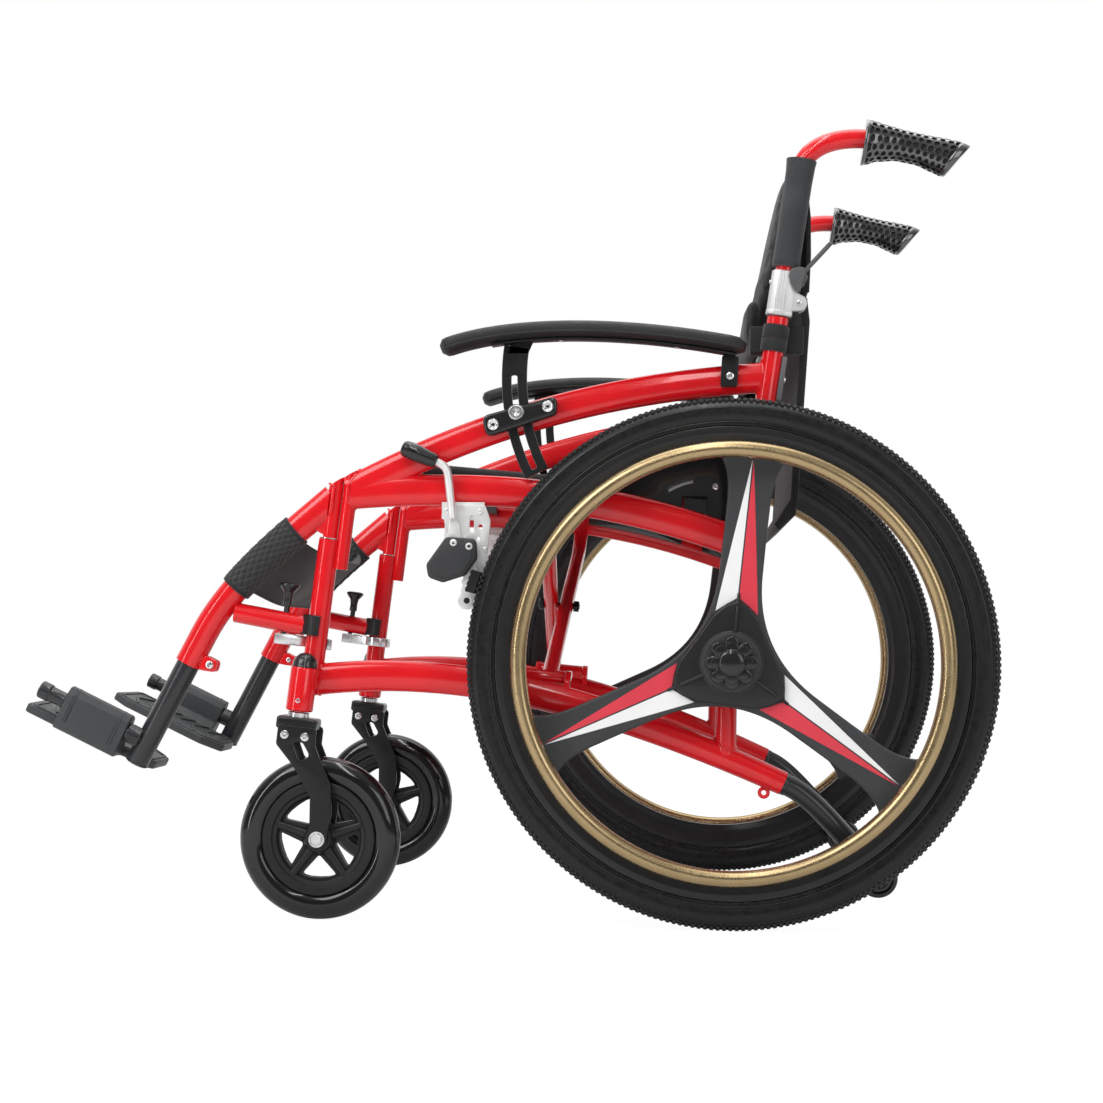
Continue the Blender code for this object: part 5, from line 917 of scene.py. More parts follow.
caster_rubber = coated("caster_rubber", (0.006, 0.006, 0.007), 0.13, coat=0.4, grain=400.0, depth=0.00001, wear=0.08, shine=0.32)
caster_mould = coated("caster_mould", (0.012, 0.012, 0.013), 0.42, grain=1500.0, depth=0.00003, shine=0.32)
hub_y = caster_hub.y - axle_y
half_line = [(0.0662, 0.0106), (0.0674, 0.0124), (0.0696, 0.0141), (0.0726, 0.0153), (0.0762, 0.0159),
             (0.0798, 0.0159), (0.0834, 0.0152), (0.0868, 0.0138), (0.0899, 0.0117), (0.0925, 0.0088),
             (0.0943, 0.0050), (0.0950, 0.0)]
caster_tyre = spun(half_line + [(r, -h) for r, h in reversed(half_line[:-1])], caster_hub, across, 96)
ring = spun(
    softened([(0.0478, -0.0060), (0.0478, 0.0060), (0.0505, 0.0100), (0.0545, 0.0108), (0.0560, 0.0132),
              (0.0650, 0.0142), (0.0666, 0.0128), (0.0666, -0.0128), (0.0650, -0.0142), (0.0560, -0.0132),
              (0.0545, -0.0108), (0.0505, -0.0100)],
             0.0012, 3), caster_hub, across, 72,
)
windows = []
for i in range(5):
    middle = 126 + 72 * i
    c = math.cos(math.radians(middle))
    s = math.sin(math.radians(middle))
    shape = []
    for out, aside in ((0.0190, 0.0), (0.0425, -0.0215), (0.0452, -0.0110), (0.0458, 0.0), (0.0452, 0.0110),
                       (0.0425, 0.0215)):
        shape.append((hub_y + out * c - aside * s, 0.095 + out * s + aside * c))
    windows.append(softened(shape, 0.0040, 5))
web = side_plate(circle(hub_y, 0.095, 0.0500, 72), 0.2555 - 0.0062, 0.2555 + 0.0062, 0.0010)
web = without(web, *[side_plate(shape, 0.2555 - 0.0100, 0.2555 + 0.0100, 0.0) for shape in windows])
boss = spun(
    softened([(0.0053, -0.0158), (0.0150, -0.0158), (0.0178, -0.0100), (0.0205, -0.0060), (0.0205, 0.0060),
              (0.0178, 0.0100), (0.0150, 0.0158), (0.0053, 0.0158)], 0.0014, 3), caster_hub, across, 48,
)
spoke_ribs = []
for i in range(5):
    way_out = heading(90 + 72 * i)
    for sign in (-1, 1):
        line = [caster_hub + way_out * out + across * sign * lift
                for out, lift in ((0.012, 0.0095), (0.024, 0.0078), (0.036, 0.0072), (0.052, 0.0085))]
        spoke_ribs.append(drawn_tube(line, lambda t: (0.0030, 0.0058 - 0.0014 * t), 14, side_way=across))
caster_body = smooth(painted(grouped("caster_body", ring, web, boss, *spoke_ribs), caster_mould), 40)
caster_tyre = smooth(painted(caster_tyre, caster_rubber), 50)
both_sides(
    grouped("caster", caster_body, caster_tyre), "front_wheel", "caster_wheel", ["caster_wheel"]
)


# Hangers
# The swing-away leg rests: an oval tube that turns round towards its lower end, with a tube joint on
# top that turns on the front post, a strut back to the post, and a black half bush round the post.

foot_way = heading(-90 - 27.2)
hanger_top = on_front_post(0.4965)
hanger_end = at(-0.6464, 0.2971)
straight = hanger_end - foot_way * 0.040
hanger_line = bend(hanger_top, hanger_top + heading(220) * 0.062, straight - foot_way * 0.075, straight, 35)
hanger_line += [straight.lerp(hanger_end, 0.5), hanger_end]


def hanger_size(share, grow=0.0):
    """Oval at the top and round below, by the share of the tube's length."""
    t = min(1.0, share / 0.75)
    return 0.010 + 0.00625 * t + grow, 0.018 - 0.00175 * t + grow


bush_black = coated("bush_black", (0.014, 0.014, 0.015), 0.38, grain=1500.0, depth=0.00003, shine=0.32)
hanger_tube = drawn_tube(hanger_line, hanger_size, 40, 2.1)
hanger_tube = sliced(hanger_tube, on_front_post(0.48) - back_way * 0.0055, back_way)
pin_tube = drawn_tube([on_front_post(0.4475), on_front_post(0.525)], 0.0086, 32)
pin_tube = sliced(pin_tube, on_front_post(0.5160), heading(122))
ledge = [(on_front_post(0.4485).y - axle_y, 0.4485), (on_front_post(0.505).y - axle_y, 0.505)]
ledge += [(ledge[1][0] - 0.030, 0.485), (on_front_post(0.4475).y - axle_y - 0.020, 0.4595)]
ledge = side_plate(ledge, frame_x - 0.006, frame_x + 0.006, 0.0018)
strut_top = at(-0.590, 0.359)
bush_at = on_front_post(0.3435)
strut = drawn_tube([strut_top, strut_top.lerp(bush_at - heading(0) * 0.016, 0.5), bush_at - heading(0) * 0.016],
                   0.012, 32)
ear_shape = softened([(-0.634, 0.290), (-0.612, 0.287), (-0.609, 0.300), (-0.625, 0.308)], 0.005, 4)
ears = [side_plate(ear_shape, frame_x - 0.009, frame_x - 0.004, 0.001),
        side_plate(ear_shape, frame_x + 0.004, frame_x + 0.009, 0.001)]
strut_end = (strut_top - bush_at).normalized()
welds = [
    weld([strut_top.lerp(bush_at, 0.8), strut_top.lerp(bush_at, 0.2)], 1, (0.012, 0.012), 2.0,
         hanger_line[20], (hanger_line[21] - hanger_line[19]).normalized(), 0.0170),
    weld(hanger_line, 2, hanger_size(0.05), 2.1, on_front_post(0.48), front_way, 0.0086, 0.0012),
]
hanger_red = smooth(painted(grouped("hanger_red", hanger_tube, pin_tube, ledge, strut, *ears, *welds), red_coat))
joint_ring = spun([(0.0055, 0), (0.0122, 0), (0.0122, 0.0012), (0.0055, 0.0012)], on_front_post(0.4474), front_way)
pin = rod(on_front_post(0.4475) - front_way * 0.024, on_front_post(0.4475), 0.0055, steps=24)
ear_bolt = rod(at(-0.6185, 0.2960, frame_x - 0.011), at(-0.6185, 0.2960, frame_x + 0.010), 0.0036, steps=20)
ear_head = screw(at(-0.6185, 0.2960, frame_x + 0.009), across, 0.0052, 0.0030)
bush = spun([(0.0131, -0.012), (0.0185, -0.012), (0.0195, -0.011), (0.0195, 0.011), (0.0185, 0.012), (0.0131, 0.012)],
            bush_at, front_way, 56)
bush = sliced(bush, bush_at + heading(0) * 0.004, back_way)
wing = cut_plate(
    softened([(-0.0125, -0.011), (0.0, -0.034), (0.0125, -0.011), (0.011, -0.002), (-0.011, -0.002)], 0.003, 3),
    bush_at - front_way * 0.0096, across, back_way, 0.0042, 0.001,
)
wing = without(wing, rod(bush_at - front_way * 0.02, bush_at + front_way * 0.02, 0.0131, steps=56))
bush = smooth(painted(grouped("bush", bush, wing), bush_black), 40)
hanger_zinc = smooth(painted(grouped("hanger_zinc", pin, joint_ring, ear_bolt, ear_head), zinc))
both_sides(grouped("hanger", hanger_red, bush, hanger_zinc), "swing_hanger", "hanger", ["hanger"])


# Calf sleeves and bands
# A quilted mesh sleeve is pulled over each hanger, stitched in diamonds with a plain hem at both
# ends, and carries half of a soft band that crosses behind the calves.

stitched = bpy.data.materials.new("stitched_mesh")
stitched.use_nodes = True
shader = stitched.node_tree.nodes["Principled BSDF"]
shader.inputs["Sheen Weight"].default_value = 0.25
shader.inputs["Sheen Roughness"].default_value = 0.4
start = Wire(stitched.node_tree)
place = start.node("TexCoord", output="Object")
cells = start.node("TexVoronoi", {}, {"Vector": place, "Scale": 620.0})
clouds = start.node("TexNoise", {}, {"Vector": place, "Scale": 60.0, "Detail": 3.0})
threads = cells.step(0.10, 0.42)
seams = start.node("Attribute", {"attribute_name": "quilt"}, output="Fac")
tone = seams.step(0.03, 0.15).between((0.052, 0.053, 0.055), threads.between((0.006, 0.006, 0.007), (0.020, 0.020, 0.021)))
for name, wire in (
    ("Base Color", tone),
    ("Roughness", 0.92 - clouds * 0.14),
    ("Normal", start.node("Bump", {}, {"Height": threads, "Distance": 0.0004, "Strength": 0.8})),
):
    stitched.node_tree.links.new(wire.socket, shader.inputs[name])


def woven(name, colour, light, scale=2600.0, depth=0.0003, along=(0.0, 1.0, 0.0)):
    """A plain weave: two crossing sets of threads that pass over and under each other."""
    material = bpy.data.materials.new(name)
    material.use_nodes = True
    shader = material.node_tree.nodes["Principled BSDF"]
    shader.inputs["Sheen Weight"].default_value = 0.18
    shader.inputs["Sheen Roughness"].default_value = 0.45
    start = Wire(material.node_tree)
    place = start.node("TexCoord", output="Object")
    axes = [start.node("SeparateXYZ", {}, {0: place}, output=k) for k in range(3)]
    warp = start.sum("SINE", axes[0] * scale)
    weft = start.sum("SINE", (axes[2] + axes[1] * 0.35) * scale)
    weave = 0.5 + warp * weft * 0.5
    clouds = start.node("TexNoise", {}, {"Vector": place, "Scale": 22.0, "Detail": 4.0})
    fuzz = start.node("TexNoise", {}, {"Vector": place, "Scale": 900.0, "Detail": 2.0})
    tone = (weave * 0.6 + clouds.step(0.3, 0.7) * 0.25 + fuzz * 0.15).between(colour, light)
    rough = 0.95 - clouds * 0.18
    bump = start.node("Bump", {}, {"Height": weave + fuzz * 0.4, "Distance": depth, "Strength": 0.7})
    for socket, wire in (("Base Color", tone), ("Roughness", rough), ("Normal", bump)):
        material.node_tree.links.new(wire.socket, shader.inputs[socket])
    return material


webbing = woven("hem_webbing", (0.006, 0.006, 0.007), (0.020, 0.020, 0.021), 3000.0, 0.0002)
sleeve_line = hanger_line[10:26]
fine_line = []
for a, b in zip(sleeve_line, sleeve_line[1:]):
    fine_line += [a.lerp(b, k / 6) for k in range(6)]
fine_line.append(sleeve_line[-1])
quilt_sides = 110
share_at = lambda t: (10 + 15 * t) / 37
sleeve = drawn_tube(fine_line, lambda t: hanger_size(share_at(t), 0.0013), quilt_sides, 2.1)
length = sum((b - a).length for a, b in zip(fine_line, fine_line[1:]))
quilt = sleeve.data.attributes.new("quilt", "FLOAT", "POINT")
for i, middle in enumerate(fine_line):
    u = i / (len(fine_line) - 1) * length / 0.0140
    way_on = (fine_line[min(i + 1, len(fine_line) - 1)] - fine_line[max(i - 1, 0)]).normalized()
    rise = way_on.cross(across)
    for k in range(quilt_sides):
        vertex = sleeve.data.vertices[i * quilt_sides + k]
        v = math.atan2((vertex.co - middle).dot(rise), (vertex.co - middle).x) / (2 * math.pi) * 13
        lines = min(abs((u + v) % 1 - 0.5), abs((u - v) % 1 - 0.5))
        puff = 0.0020 * min(1.0, lines * 3.4) ** 0.6
        hem = min(i, len(fine_line) - 1 - i)
        if hem < 4:
            puff = 0.0013
            lines = 0.5
        quilt.data[vertex.index].value = lines
        out = vertex.co - middle
        vertex.co = middle + out * (1 + puff / out.length)
hems = []
for i in (2, len(fine_line) - 3):
    part = fine_line[i - 2:i + 3]
    share = share_at(i / (len(fine_line) - 1))
    hems.append(drawn_tube(part, lambda t: hanger_size(share, 0.0022 + 0.0008 * math.sin(math.pi * t)), 40, 2.1))
sleeve = smooth(painted(sleeve, stitched), 80)
hems = smooth(painted(grouped("hems", *hems), webbing), 60)
sleeve = grouped("sleeve", sleeve, hems)
sleeves = both_sides(sleeve, "calf_sleeve", "hanger", [])

band_top = sleeve_line[0].lerp(sleeve_line[-1], 0.07)
band_foot = sleeve_line[0].lerp(sleeve_line[-1], 0.93)
down_way = (band_foot - band_top).normalized()
out_way = Vector((0.0, -down_way.z, down_way.y))
bpy.ops.object.select_all(action="DESELECT")
bpy.ops.mesh.primitive_grid_add(x_subdivisions=48, y_subdivisions=16, size=1, location=(0, 0, 0))
band = bpy.context.object
for vertex in band.data.vertices:
    t = vertex.co.x + 0.5
    s = vertex.co.y + 0.5
    x = frame_x - 0.0120 - (frame_x - 0.0120 - 0.0004) * t
    depth = 0.0075 + 0.0250 * math.sin(math.pi / 2 * min(1.0, 1.6 * t))
    depth += 0.0008 * math.sin(9 * t + 3 * s) * math.sin(math.pi * s)
    middle = band_top.lerp(band_foot, s)
    vertex.co = Vector((x, middle.y, middle.z)) + out_way * depth
applied(band, "SOLIDIFY", thickness=0.0026, offset=0.0)
band_cloth = woven("band_cloth", (0.006, 0.006, 0.007), (0.020, 0.020, 0.022), 2200.0, 0.0003)
piping = []
for s in (0.02, 0.98):
    line = []
    for k in range(25):
        t = k / 24
        middle = band_top.lerp(band_foot, s)
        x = frame_x - 0.0120 - (frame_x - 0.0120 - 0.0016) * t
        depth = 0.0075 + 0.0250 * math.sin(math.pi / 2 * min(1.0, 1.6 * t))
        line.append(Vector((x, middle.y, middle.z)) + out_way * depth)
    piping.append(drawn_tube(line, 0.0019, 12, side_way=heading(90)))
band = mended(band)
band = smooth(painted(band, band_cloth), 60)
piping = smooth(painted(grouped("piping", *piping), webbing), 60)
band = grouped("band", band, piping)
bands = both_sides(band, "calf_band", "hanger", ["calf_strap"])
for piece, sign in zip(bands, (1, -1)):
    sleeves[0] if sign > 0 else sleeves[1]
    0.218 * sign
    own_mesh(piece)


# Hanger latches
# A flat bright hook grips the post from behind, and a black mushroom knob in the strut is pressed
# down to free it.

latch_top = on_front_post(0.3230) + front_way * 0.00625
inner = post_radius + 0.0005
outer = inner + 0.0055
hook = arc(0, 0, inner, -78, 98, 20) + arc(0, 0, outer, 98, -52, 18) + [(0.010, -0.050), (-0.008, -0.050)]
hook = cut_plate(softened(hook, 0.0008, 1), latch_top - front_way * 0.00625, -across, back_way, 0.0125, 0.0008)
slot_mark = cut_plate(
    softened([(-0.004, -0.038), (0.004, -0.038), (0.004, -0.026), (-0.004, -0.026)], 0.003, 4),
    latch_top + front_way * 0.0001, -across, back_way, 0.0008, 0.0002,
)
latch = smooth(painted(grouped("latch", hook, slot_mark), zinc))
both_sides(latch, "latch_hook", "latch", ["hanger_latch"])

knob_foot = latch_top - back_way * 0.0405
knob_line = softened(
    [(0, 0.0003), (0.0035, 0.0003), (0.0035, 0.0335), (0.0054, 0.0335), (0.0050, 0.0430), (0.0062, 0.0500),
     (0.0112, 0.0560), (0.0121, 0.0580), (0.0117, 0.0600), (0.0085, 0.0612), (0, 0.0614)], 0.0006, 2,
)
knob = smooth(painted(spun(knob_line, knob_foot, front_way, 40), knob_gloss), 40)
both_sides(knob, "release_knob", "latch", ["latch_knob"])


# Foot tubes
# Dark satin tubes that slide in the hangers, each with a hinge rod for its footplate: a plain
# head in front and a collar behind the plate's block.

satin_black = coated("satin_black", (0.020, 0.021, 0.023), 0.34, coat=0.3, grain=1300.0, depth=0.00003, shine=0.32)
rod_x = 0.2355
rod_back = heading(-25.4)
rod_up = heading(64.6)


def on_rod(along, up=0.0, x=rod_x):
    return at(-0.8246, 0.2655, x) + rod_back * along + rod_up * up


tube_top = hanger_end - foot_way * 0.034
tube_foot = hanger_end + foot_way * 0.134
tube = rod(tube_top, tube_foot, 0.0138, edge=0.0016, steps=48)
cap = spun([(0, 0), (0.0142, 0), (0.0142, 0.0016), (0.0120, 0.0030), (0, 0.0032)], tube_foot - foot_way * 0.0016,
           foot_way, 48)
hinge_rod = rod(on_rod(0.033), on_rod(0.138), 0.007, steps=32)
head = spun(
    softened([(0, 0), (0.0100, 0), (0.0106, 0.0010), (0.0106, 0.0125), (0.0092, 0.0140), (0.0092, 0.0330),
              (0.0104, 0.0342), (0, 0.0342)], 0.0006, 2), on_rod(0.0002), rod_back, 40,
)
collar = spun(
    softened([(0, 0.1187), (0.0113, 0.1187), (0.0115, 0.1200), (0.0115, 0.1355), (0.0108, 0.1368), (0, 0.1368)],
             0.0006, 2), on_rod(0), rod_back, 40,
)
bpy.ops.object.select_all(action="DESELECT")
bpy.ops.mesh.primitive_cube_add(size=1, location=on_rod(0.128, 0.0113), scale=(0.0012, 0.0120, 0.0010))
bpy.ops.object.transform_apply(location=False, rotation=False, scale=True)
ridge = bpy.context.object
ridge.rotation_euler = (math.radians(-25.4), 0, 0)
ridge = settled(ridge)
opened(ridge)
bpy.ops.mesh.select_all(action="SELECT")
bpy.ops.mesh.spin(steps=27, dupli=True, angle=2 * math.pi * 27 / 28, center=on_rod(0.128), axis=rod_back)
bpy.ops.object.mode_set(mode="OBJECT")
foot_tube = smooth(painted(grouped("foot_tube", tube, cap, hinge_rod, head, collar, ridge), satin_black), 38)
both_sides(foot_tube, "leg_tube", "foot_tube", ["foot_tube"])


# Footplates
# Moulded charcoal plates that flip up round the rod: a chamfered block over the rod and a
# tread with a raised rim and rows of chevrons for grip.

plate_mould = coated("plate_mould", (0.044, 0.048, 0.050), 0.44, grain=1100.0, depth=0.00005, wear=0.10, shine=0.32)
section = [(0.013, -0.029), (0.013, 0.012), (0.0081, 0.0200), (0.0, 0.021), (-0.0081, 0.0180), (-0.013, 0.010),
           (-0.013, -0.012), (-0.023, -0.022), (-0.023, -0.032), (0.009, -0.033)]
block = cut_plate(softened(section, 0.003, 4), on_rod(0.0765), across, rod_up, 0.083, 0.0016)
groove_bars = []
for along in (0.046, 0.1065):
    groove_bars.append(cut_plate(
        softened([(x * 1.018, up * 1.015) for x, up in section[:6]] + [(-0.0130, 0.0), (0.0130, 0.0)], 0.003, 4),
        on_rod(along), across, rod_up, 0.0035, 0.0008,
    ))
tread_x = rod_x - 0.013
edge_x = frame_x - 0.0138 - 0.0045
tread_shape = [(tread_x + 0.012, -0.0075), (tread_x + 0.012, 0.045), (tread_x + 0.006, 0.116), (edge_x, 0.120),
               (edge_x, 0.1525), (edge_x - 0.0115, 0.1585), (0.142, 0.1585), (0.122, 0.1285), (0.122, 0.0105),
               (0.138, -0.0115)]
tread_shape = softened(tread_shape, 0.007, 4)
tread = cut_plate(tread_shape, on_rod(0.0, -0.0275, 0.0), across, rod_back, 0.011, 0.0024)
middle = Vector((sum(x for x, _ in tread_shape) / len(tread_shape), sum(y for _, y in tread_shape) / len(tread_shape)))
inside = [tuple(middle + (Vector(p) - middle) * 0.94) for p in tread_shape]
inner = [tuple(middle + (Vector(p) - middle) * 0.90) for p in tread_shape]
lip = cut_plate(inside, on_rod(0.0, -0.0215, 0.0), across, rod_back, 0.0018, 0.0006, [inner])
chevrons = []
tip_x = (tread_x + 0.122) / 2
for i in range(6):
    front = 0.0085 + i * 0.022
    for sign in (-1, 1):
        reach = sign * 0.040
        shape = [(tip_x, front), (tip_x + reach, front + 0.014), (tip_x + reach, front + 0.0182), (tip_x, front + 0.0042)]
        shape = shape if sign > 0 else shape[::-1]
        chevrons.append(cut_plate(softened(shape, 0.0012, 2), on_rod(0.0, -0.0213, 0.0), across, rod_back, 0.0022, 0.0005))
footplate = smooth(painted(grouped("footplate", block, *groove_bars, tread, lip, *chevrons), plate_mould), 36)
both_sides(footplate, "foot_rest", "footplate", ["footplate"])


# Armrests
# A steel strip under a moulded foam pad ends in a slotted curved bar, so the pad tilts round its
# rear screw and is locked by the clamp on the arch. The bar's narrow edge faces below the pad are bright metal.

pad_skin = coated("pad_skin", (0.020, 0.020, 0.021), 0.52, grain=520.0, depth=0.00012, mottle=0.10, wear=0.14, shine=0.32)
bright_edge_and_painted_highlight = coated("bright_edge_and_painted_highlight", (0.42, 0.42, 0.43), 0.34, metallic=1.0, grain=900.0, depth=0.00002)
bar_start = frame_x + 0.0103
bar_end = bar_start + 0.004


def round_pivot(radius, degrees):
    angle = math.radians(degrees)
    return (-0.0016 + radius * math.cos(angle), 0.641 + radius * math.sin(angle))


pad_front = at(-0.3434, 0.6830 - 0.01025, 0.246)
pad_rear = at(0.0169, 0.6846 - 0.01025, 0.246)
pad_line = bend(pad_front, at(-0.2724, 0.70205, 0.246), at(-0.130, 0.70405, 0.246), pad_rear, 44)


def pad_size(t):
    end = min(t, 1 - t)
    taper = min(1.0, 0.30 + 0.70 * math.sqrt(max(0.0, 1 - (1 - min(1.0, end / 0.055)) ** 2)))
    return 0.025 * taper, 0.01025 * min(1.0, 0.25 + taper * 0.80)


pad = drawn_tube(pad_line, pad_size, 48, 2.7)
bead_lines = []
for sign in (-1, 1):
    line = []
    for i in range(1, 44):
        t = i / 44
        half, high = pad_size(t)
        line.append(pad_line[i] + across * sign * half * 0.985 - heading(90) * high * 0.42)
    bead_lines.append(drawn_tube(line, 0.0011, 10))
pad = smooth(painted(grouped("pad", pad, *bead_lines), pad_skin), 50)
pads = both_sides(pad, "arm_cushion", "armrest", ["arm_pad"])

bar_shape = [round_pivot(0.2698, 172 + 35 * i / 24) for i in range(25)]
bar_shape += [round_pivot(0.2398, 207 - 35 * i / 24) for i in range(25)]
slot = [round_pivot(0.2583, 179.7 + 25.9 * i / 20) for i in range(21)]
slot += [round_pivot(0.2513, 205.6 - 25.9 * i / 20) for i in range(21)]
arm_bar = side_plate(softened(bar_shape, 0.0025, 3), bar_start, bar_end, 0.0005, [softened(slot, 0.0033, 4)])
web = side_plate([(-0.2640, 0.6680), (-0.2405, 0.6680), (-0.2345, 0.6818), (-0.2620, 0.6795)], bar_start, bar_end, 0.0005)
pivot_plate = side_plate(
    softened([(-0.0131, 0.6285), (0.0069, 0.6285), (0.0089, 0.6645), (-0.0111, 0.6662)], 0.0035, 4),
    bar_start, bar_end + 0.0004, 0.0008,
)
strip_line = []
for i in range(10, 44):
    way_on = (pad_line[i + 1] - pad_line[i - 1]).normalized()
    below = Vector((0.0, way_on.z, -way_on.y))
    below = below if below.z < 0 else -below
    place = pad_line[i] + below * (0.01025 + 0.0017)
    strip_line.append(Vector((bar_start + 0.010, place.y, place.z)))
strip = drawn_tube(strip_line, (0.010, 0.0014), 16, 6.0)
arm_steel = grouped("arm_steel", arm_bar, web, pivot_plate, strip)
arm_steel = smooth(painted(arm_steel, black_steel, bright_edge_and_painted_highlight), 30)
# The bar's narrow edge faces, in front and below the pad, take the second, bright metal finish.
for face in arm_steel.data.polygons:
    if abs(face.normal.x) < 0.8 and face.center.y < axle_y - 0.22 and face.center.z < 0.668:
        face.material_index = 1
pivot_screw = screw(at(-0.0016, 0.641, bar_end), across, 0.0050, 0.0026)
pad_screws = []
for y in (-0.200, -0.060):
    place = min(strip_line, key=lambda p: abs(p.y - axle_y - y))
    pad_screws.append(screw(place - heading(90) * 0.0012, -heading(90), 0.0034, 0.0014))
arm_screws = smooth(painted(grouped("arm_screws", pivot_screw, *pad_screws), zinc))
both_sides(grouped("arm", arm_steel, arm_screws), "arm_rest_bar", "armrest", ["arm_bar"])

clamp_shape = softened([(-0.2935, 0.5925), (-0.2885, 0.5670), (-0.2045, 0.5945), (-0.2045, 0.6170)], 0.009, 6)
clamp = side_plate(clamp_shape, bar_start, 0.2575, 0.0030)
channel = [round_pivot(0.2703, 176 + 28 * i / 16) for i in range(17)]
channel += [round_pivot(0.2393, 204 - 28 * i / 16) for i in range(17)]
clamp = without(clamp, side_plate(channel, bar_start - 0.010, bar_end + 0.0006, 0.0))
clamp_screws = []
for y, z in ((-0.2800, 0.5822), (-0.2155, 0.6037)):
    dish = spun([(0.0034, 0.0), (0.0062, 0.0), (0.0066, 0.0006), (0.0056, 0.0012), (0.0040, 0.0002)],
                at(y, z, 0.2574), across, 28)
    clamp_screws += [screw(at(y, z, 0.2568), across, 0.0036, 0.0012), dish]
y, z = round_pivot(0.2548, 190)
lock_bolt = spun(
    softened([(0, -0.001), (0.0095, -0.001), (0.0095, 0.0016), (0.0080, 0.0030), (0.0048, 0.0032), (0.0040, 0.0012),
              (0, 0.0010)], 0.0004, 2), at(y, z, 0.2575), across, 44,
)
shank = rod(at(y, z, bar_start), at(y, z, 0.2570), 0.0029, steps=20)
clamp = smooth(painted(clamp, knob_gloss), 36)
clamp_steel = smooth(painted(grouped("clamp_steel", lock_bolt, shank, *clamp_screws), zinc))
both_sides(grouped("clamp", clamp, clamp_steel), "arm_clamp_block", "frame", ["arm_clamp"])


# Wheel brakes
# A stamped bracket clamped on the mid rail carries a bent bright lever with a black grip and an arm
# whose notched shoe presses on the tyre. A black cover hides both pivots.

layer = frame_x + 0.0103
lever_x = layer + 0.0035
stamped = coated("stamped_zinc", (0.82, 0.82, 0.81), 0.38, metallic=0.6, grain=260.0, depth=0.00003,
                 mottle=0.06, wear=0.14)
plate_shape = softened([(-0.3420, 0.4890), (-0.3375, 0.4640), (-0.3400, 0.4330), (-0.3050, 0.4270), (-0.3000, 0.4085),
                        (-0.2880, 0.4070), (-0.2832, 0.4700), (-0.2900, 0.4880)], 0.004, 4)
main = side_plate(plate_shape, layer, layer + 0.003, 0.0005,
                  [circle(-0.2950, 0.4625, 0.0026, 20), circle(-0.2975, 0.4480, 0.0022, 20),
                   softened([(-0.3080, 0.4560), (-0.3030, 0.4560), (-0.3030, 0.4760), (-0.3080, 0.4760)], 0.0024, 4)])
jaw = []
for low, high in ((0.4715, 0.4815), (0.4815, 0.4915)):
    jaw.append(side_plate([(-0.3415, low), (-0.2905, low), (-0.2905, high), (-0.3415, high)], frame_x + 0.0101,
                          layer + 0.0006, 0.0002))
under_jaw = side_plate(
    softened([(-0.3418, 0.4718), (-0.2902, 0.4706), (-0.2902, 0.4762), (-0.3418, 0.4775)], 0.001, 2),
    frame_x - 0.008, layer + 0.0005, 0.0004,
)
plate_screws = [screw(at(-0.2893, 0.4350, layer + 0.003), across, 0.0032, 0.0016),
                screw(at(-0.3345, 0.4810, layer + 0.003), across, 0.0036, 0.0018),
                screw(at(-0.2955, 0.4800, layer + 0.003), across, 0.0036, 0.0018)]
pivots = []
cover_start = layer + 0.003 + 0.004 + 0.001
for y, z in ((-0.3256, 0.4426), (-0.3071, 0.4384)):
    pivots.append(rod(at(y, z, layer + 0.001), at(y, z, cover_start + 0.001), 0.003, steps=20))
    pivots.append(screw(at(y, z, cover_start + 0.0083), across, 0.0043, 0.0016))
bracket = smooth(painted(grouped("bracket", main, *jaw, under_jaw, *plate_screws, *pivots), stamped))
cover_shape = softened([(-0.3350, 0.4495), (-0.2985, 0.4475), (-0.2975, 0.4240), (-0.3115, 0.4040), (-0.3380, 0.3955),
                        (-0.3555, 0.4015), (-0.3580, 0.4170)], 0.008, 6)
cover = side_plate(cover_shape, cover_start, cover_start + 0.008, 0.0030)
middle = Vector((-0.3265, 0.4210))
face = [tuple(middle + (Vector(p) - middle) * 0.80) for p in cover_shape]
cover_top = side_plate(face, cover_start + 0.0070, cover_start + 0.0088, 0.0007)
cover = smooth(painted(grouped("cover", cover, cover_top), moulded), 36)
both_sides(grouped("brake", bracket, cover), "brake_bracket", "frame", ["brake_plate"])

lever_hub = arc(-0.3256, 0.4426, 0.0085, 180, 360, 12)
arm = side_plate(lever_hub + [(-0.3205, 0.4660), (-0.3320, 0.4660)], lever_x, lever_x + 0.004, 0.0006,
                 [circle(-0.3256, 0.4426, 0.0033, 24)])
bar_x = lever_x + 0.0063
grip_start = at(-0.3474, 0.5385, 0.2530)
grip_end = at(-0.3881, 0.5556, 0.2530)
grip_way = (grip_end - grip_start).normalized()
lever_line = [at(-0.3276, 0.4715, bar_x), at(-0.3290, 0.4850, bar_x)]
lever_line += bend(at(-0.3312, 0.5040, bar_x), at(-0.3345, 0.5310, bar_x), grip_start - grip_way * 0.016,
                   grip_start + grip_way * 0.003, 14)
lever_rod = drawn_tube(lever_line, 0.0048, 24)
flat = side_plate([(-0.3305, 0.4520), (-0.3215, 0.4520), (-0.3238, 0.4770), (-0.3330, 0.4770)], lever_x + 0.0015,
                  lever_x + 0.0043, 0.001)
lever_steel = smooth(painted(grouped("lever_steel", arm, lever_rod, flat), stamped))
grip_rubber = coated("grip_rubber", (0.008, 0.008, 0.009), 0.26, coat=0.5, grain=700.0, depth=0.00006, shine=0.32)
grip = spun(
    softened([(0, -0.001), (0.0072, -0.001), (0.0082, 0.0010), (0.0088, 0.0050), (0.0098, 0.0160), (0.0105, 0.0250),
              (0.0105, 0.0345), (0.0098, 0.0400), (0.0078, 0.0432), (0.0045, 0.0444), (0, 0.0447)], 0.0010, 3),
    grip_start, grip_way, 40,
)
grip = smooth(painted(grip, grip_rubber), 50)
both_sides(grouped("lever", lever_steel, grip), "brake_handle", "brake_lever", ["brake_lever"])

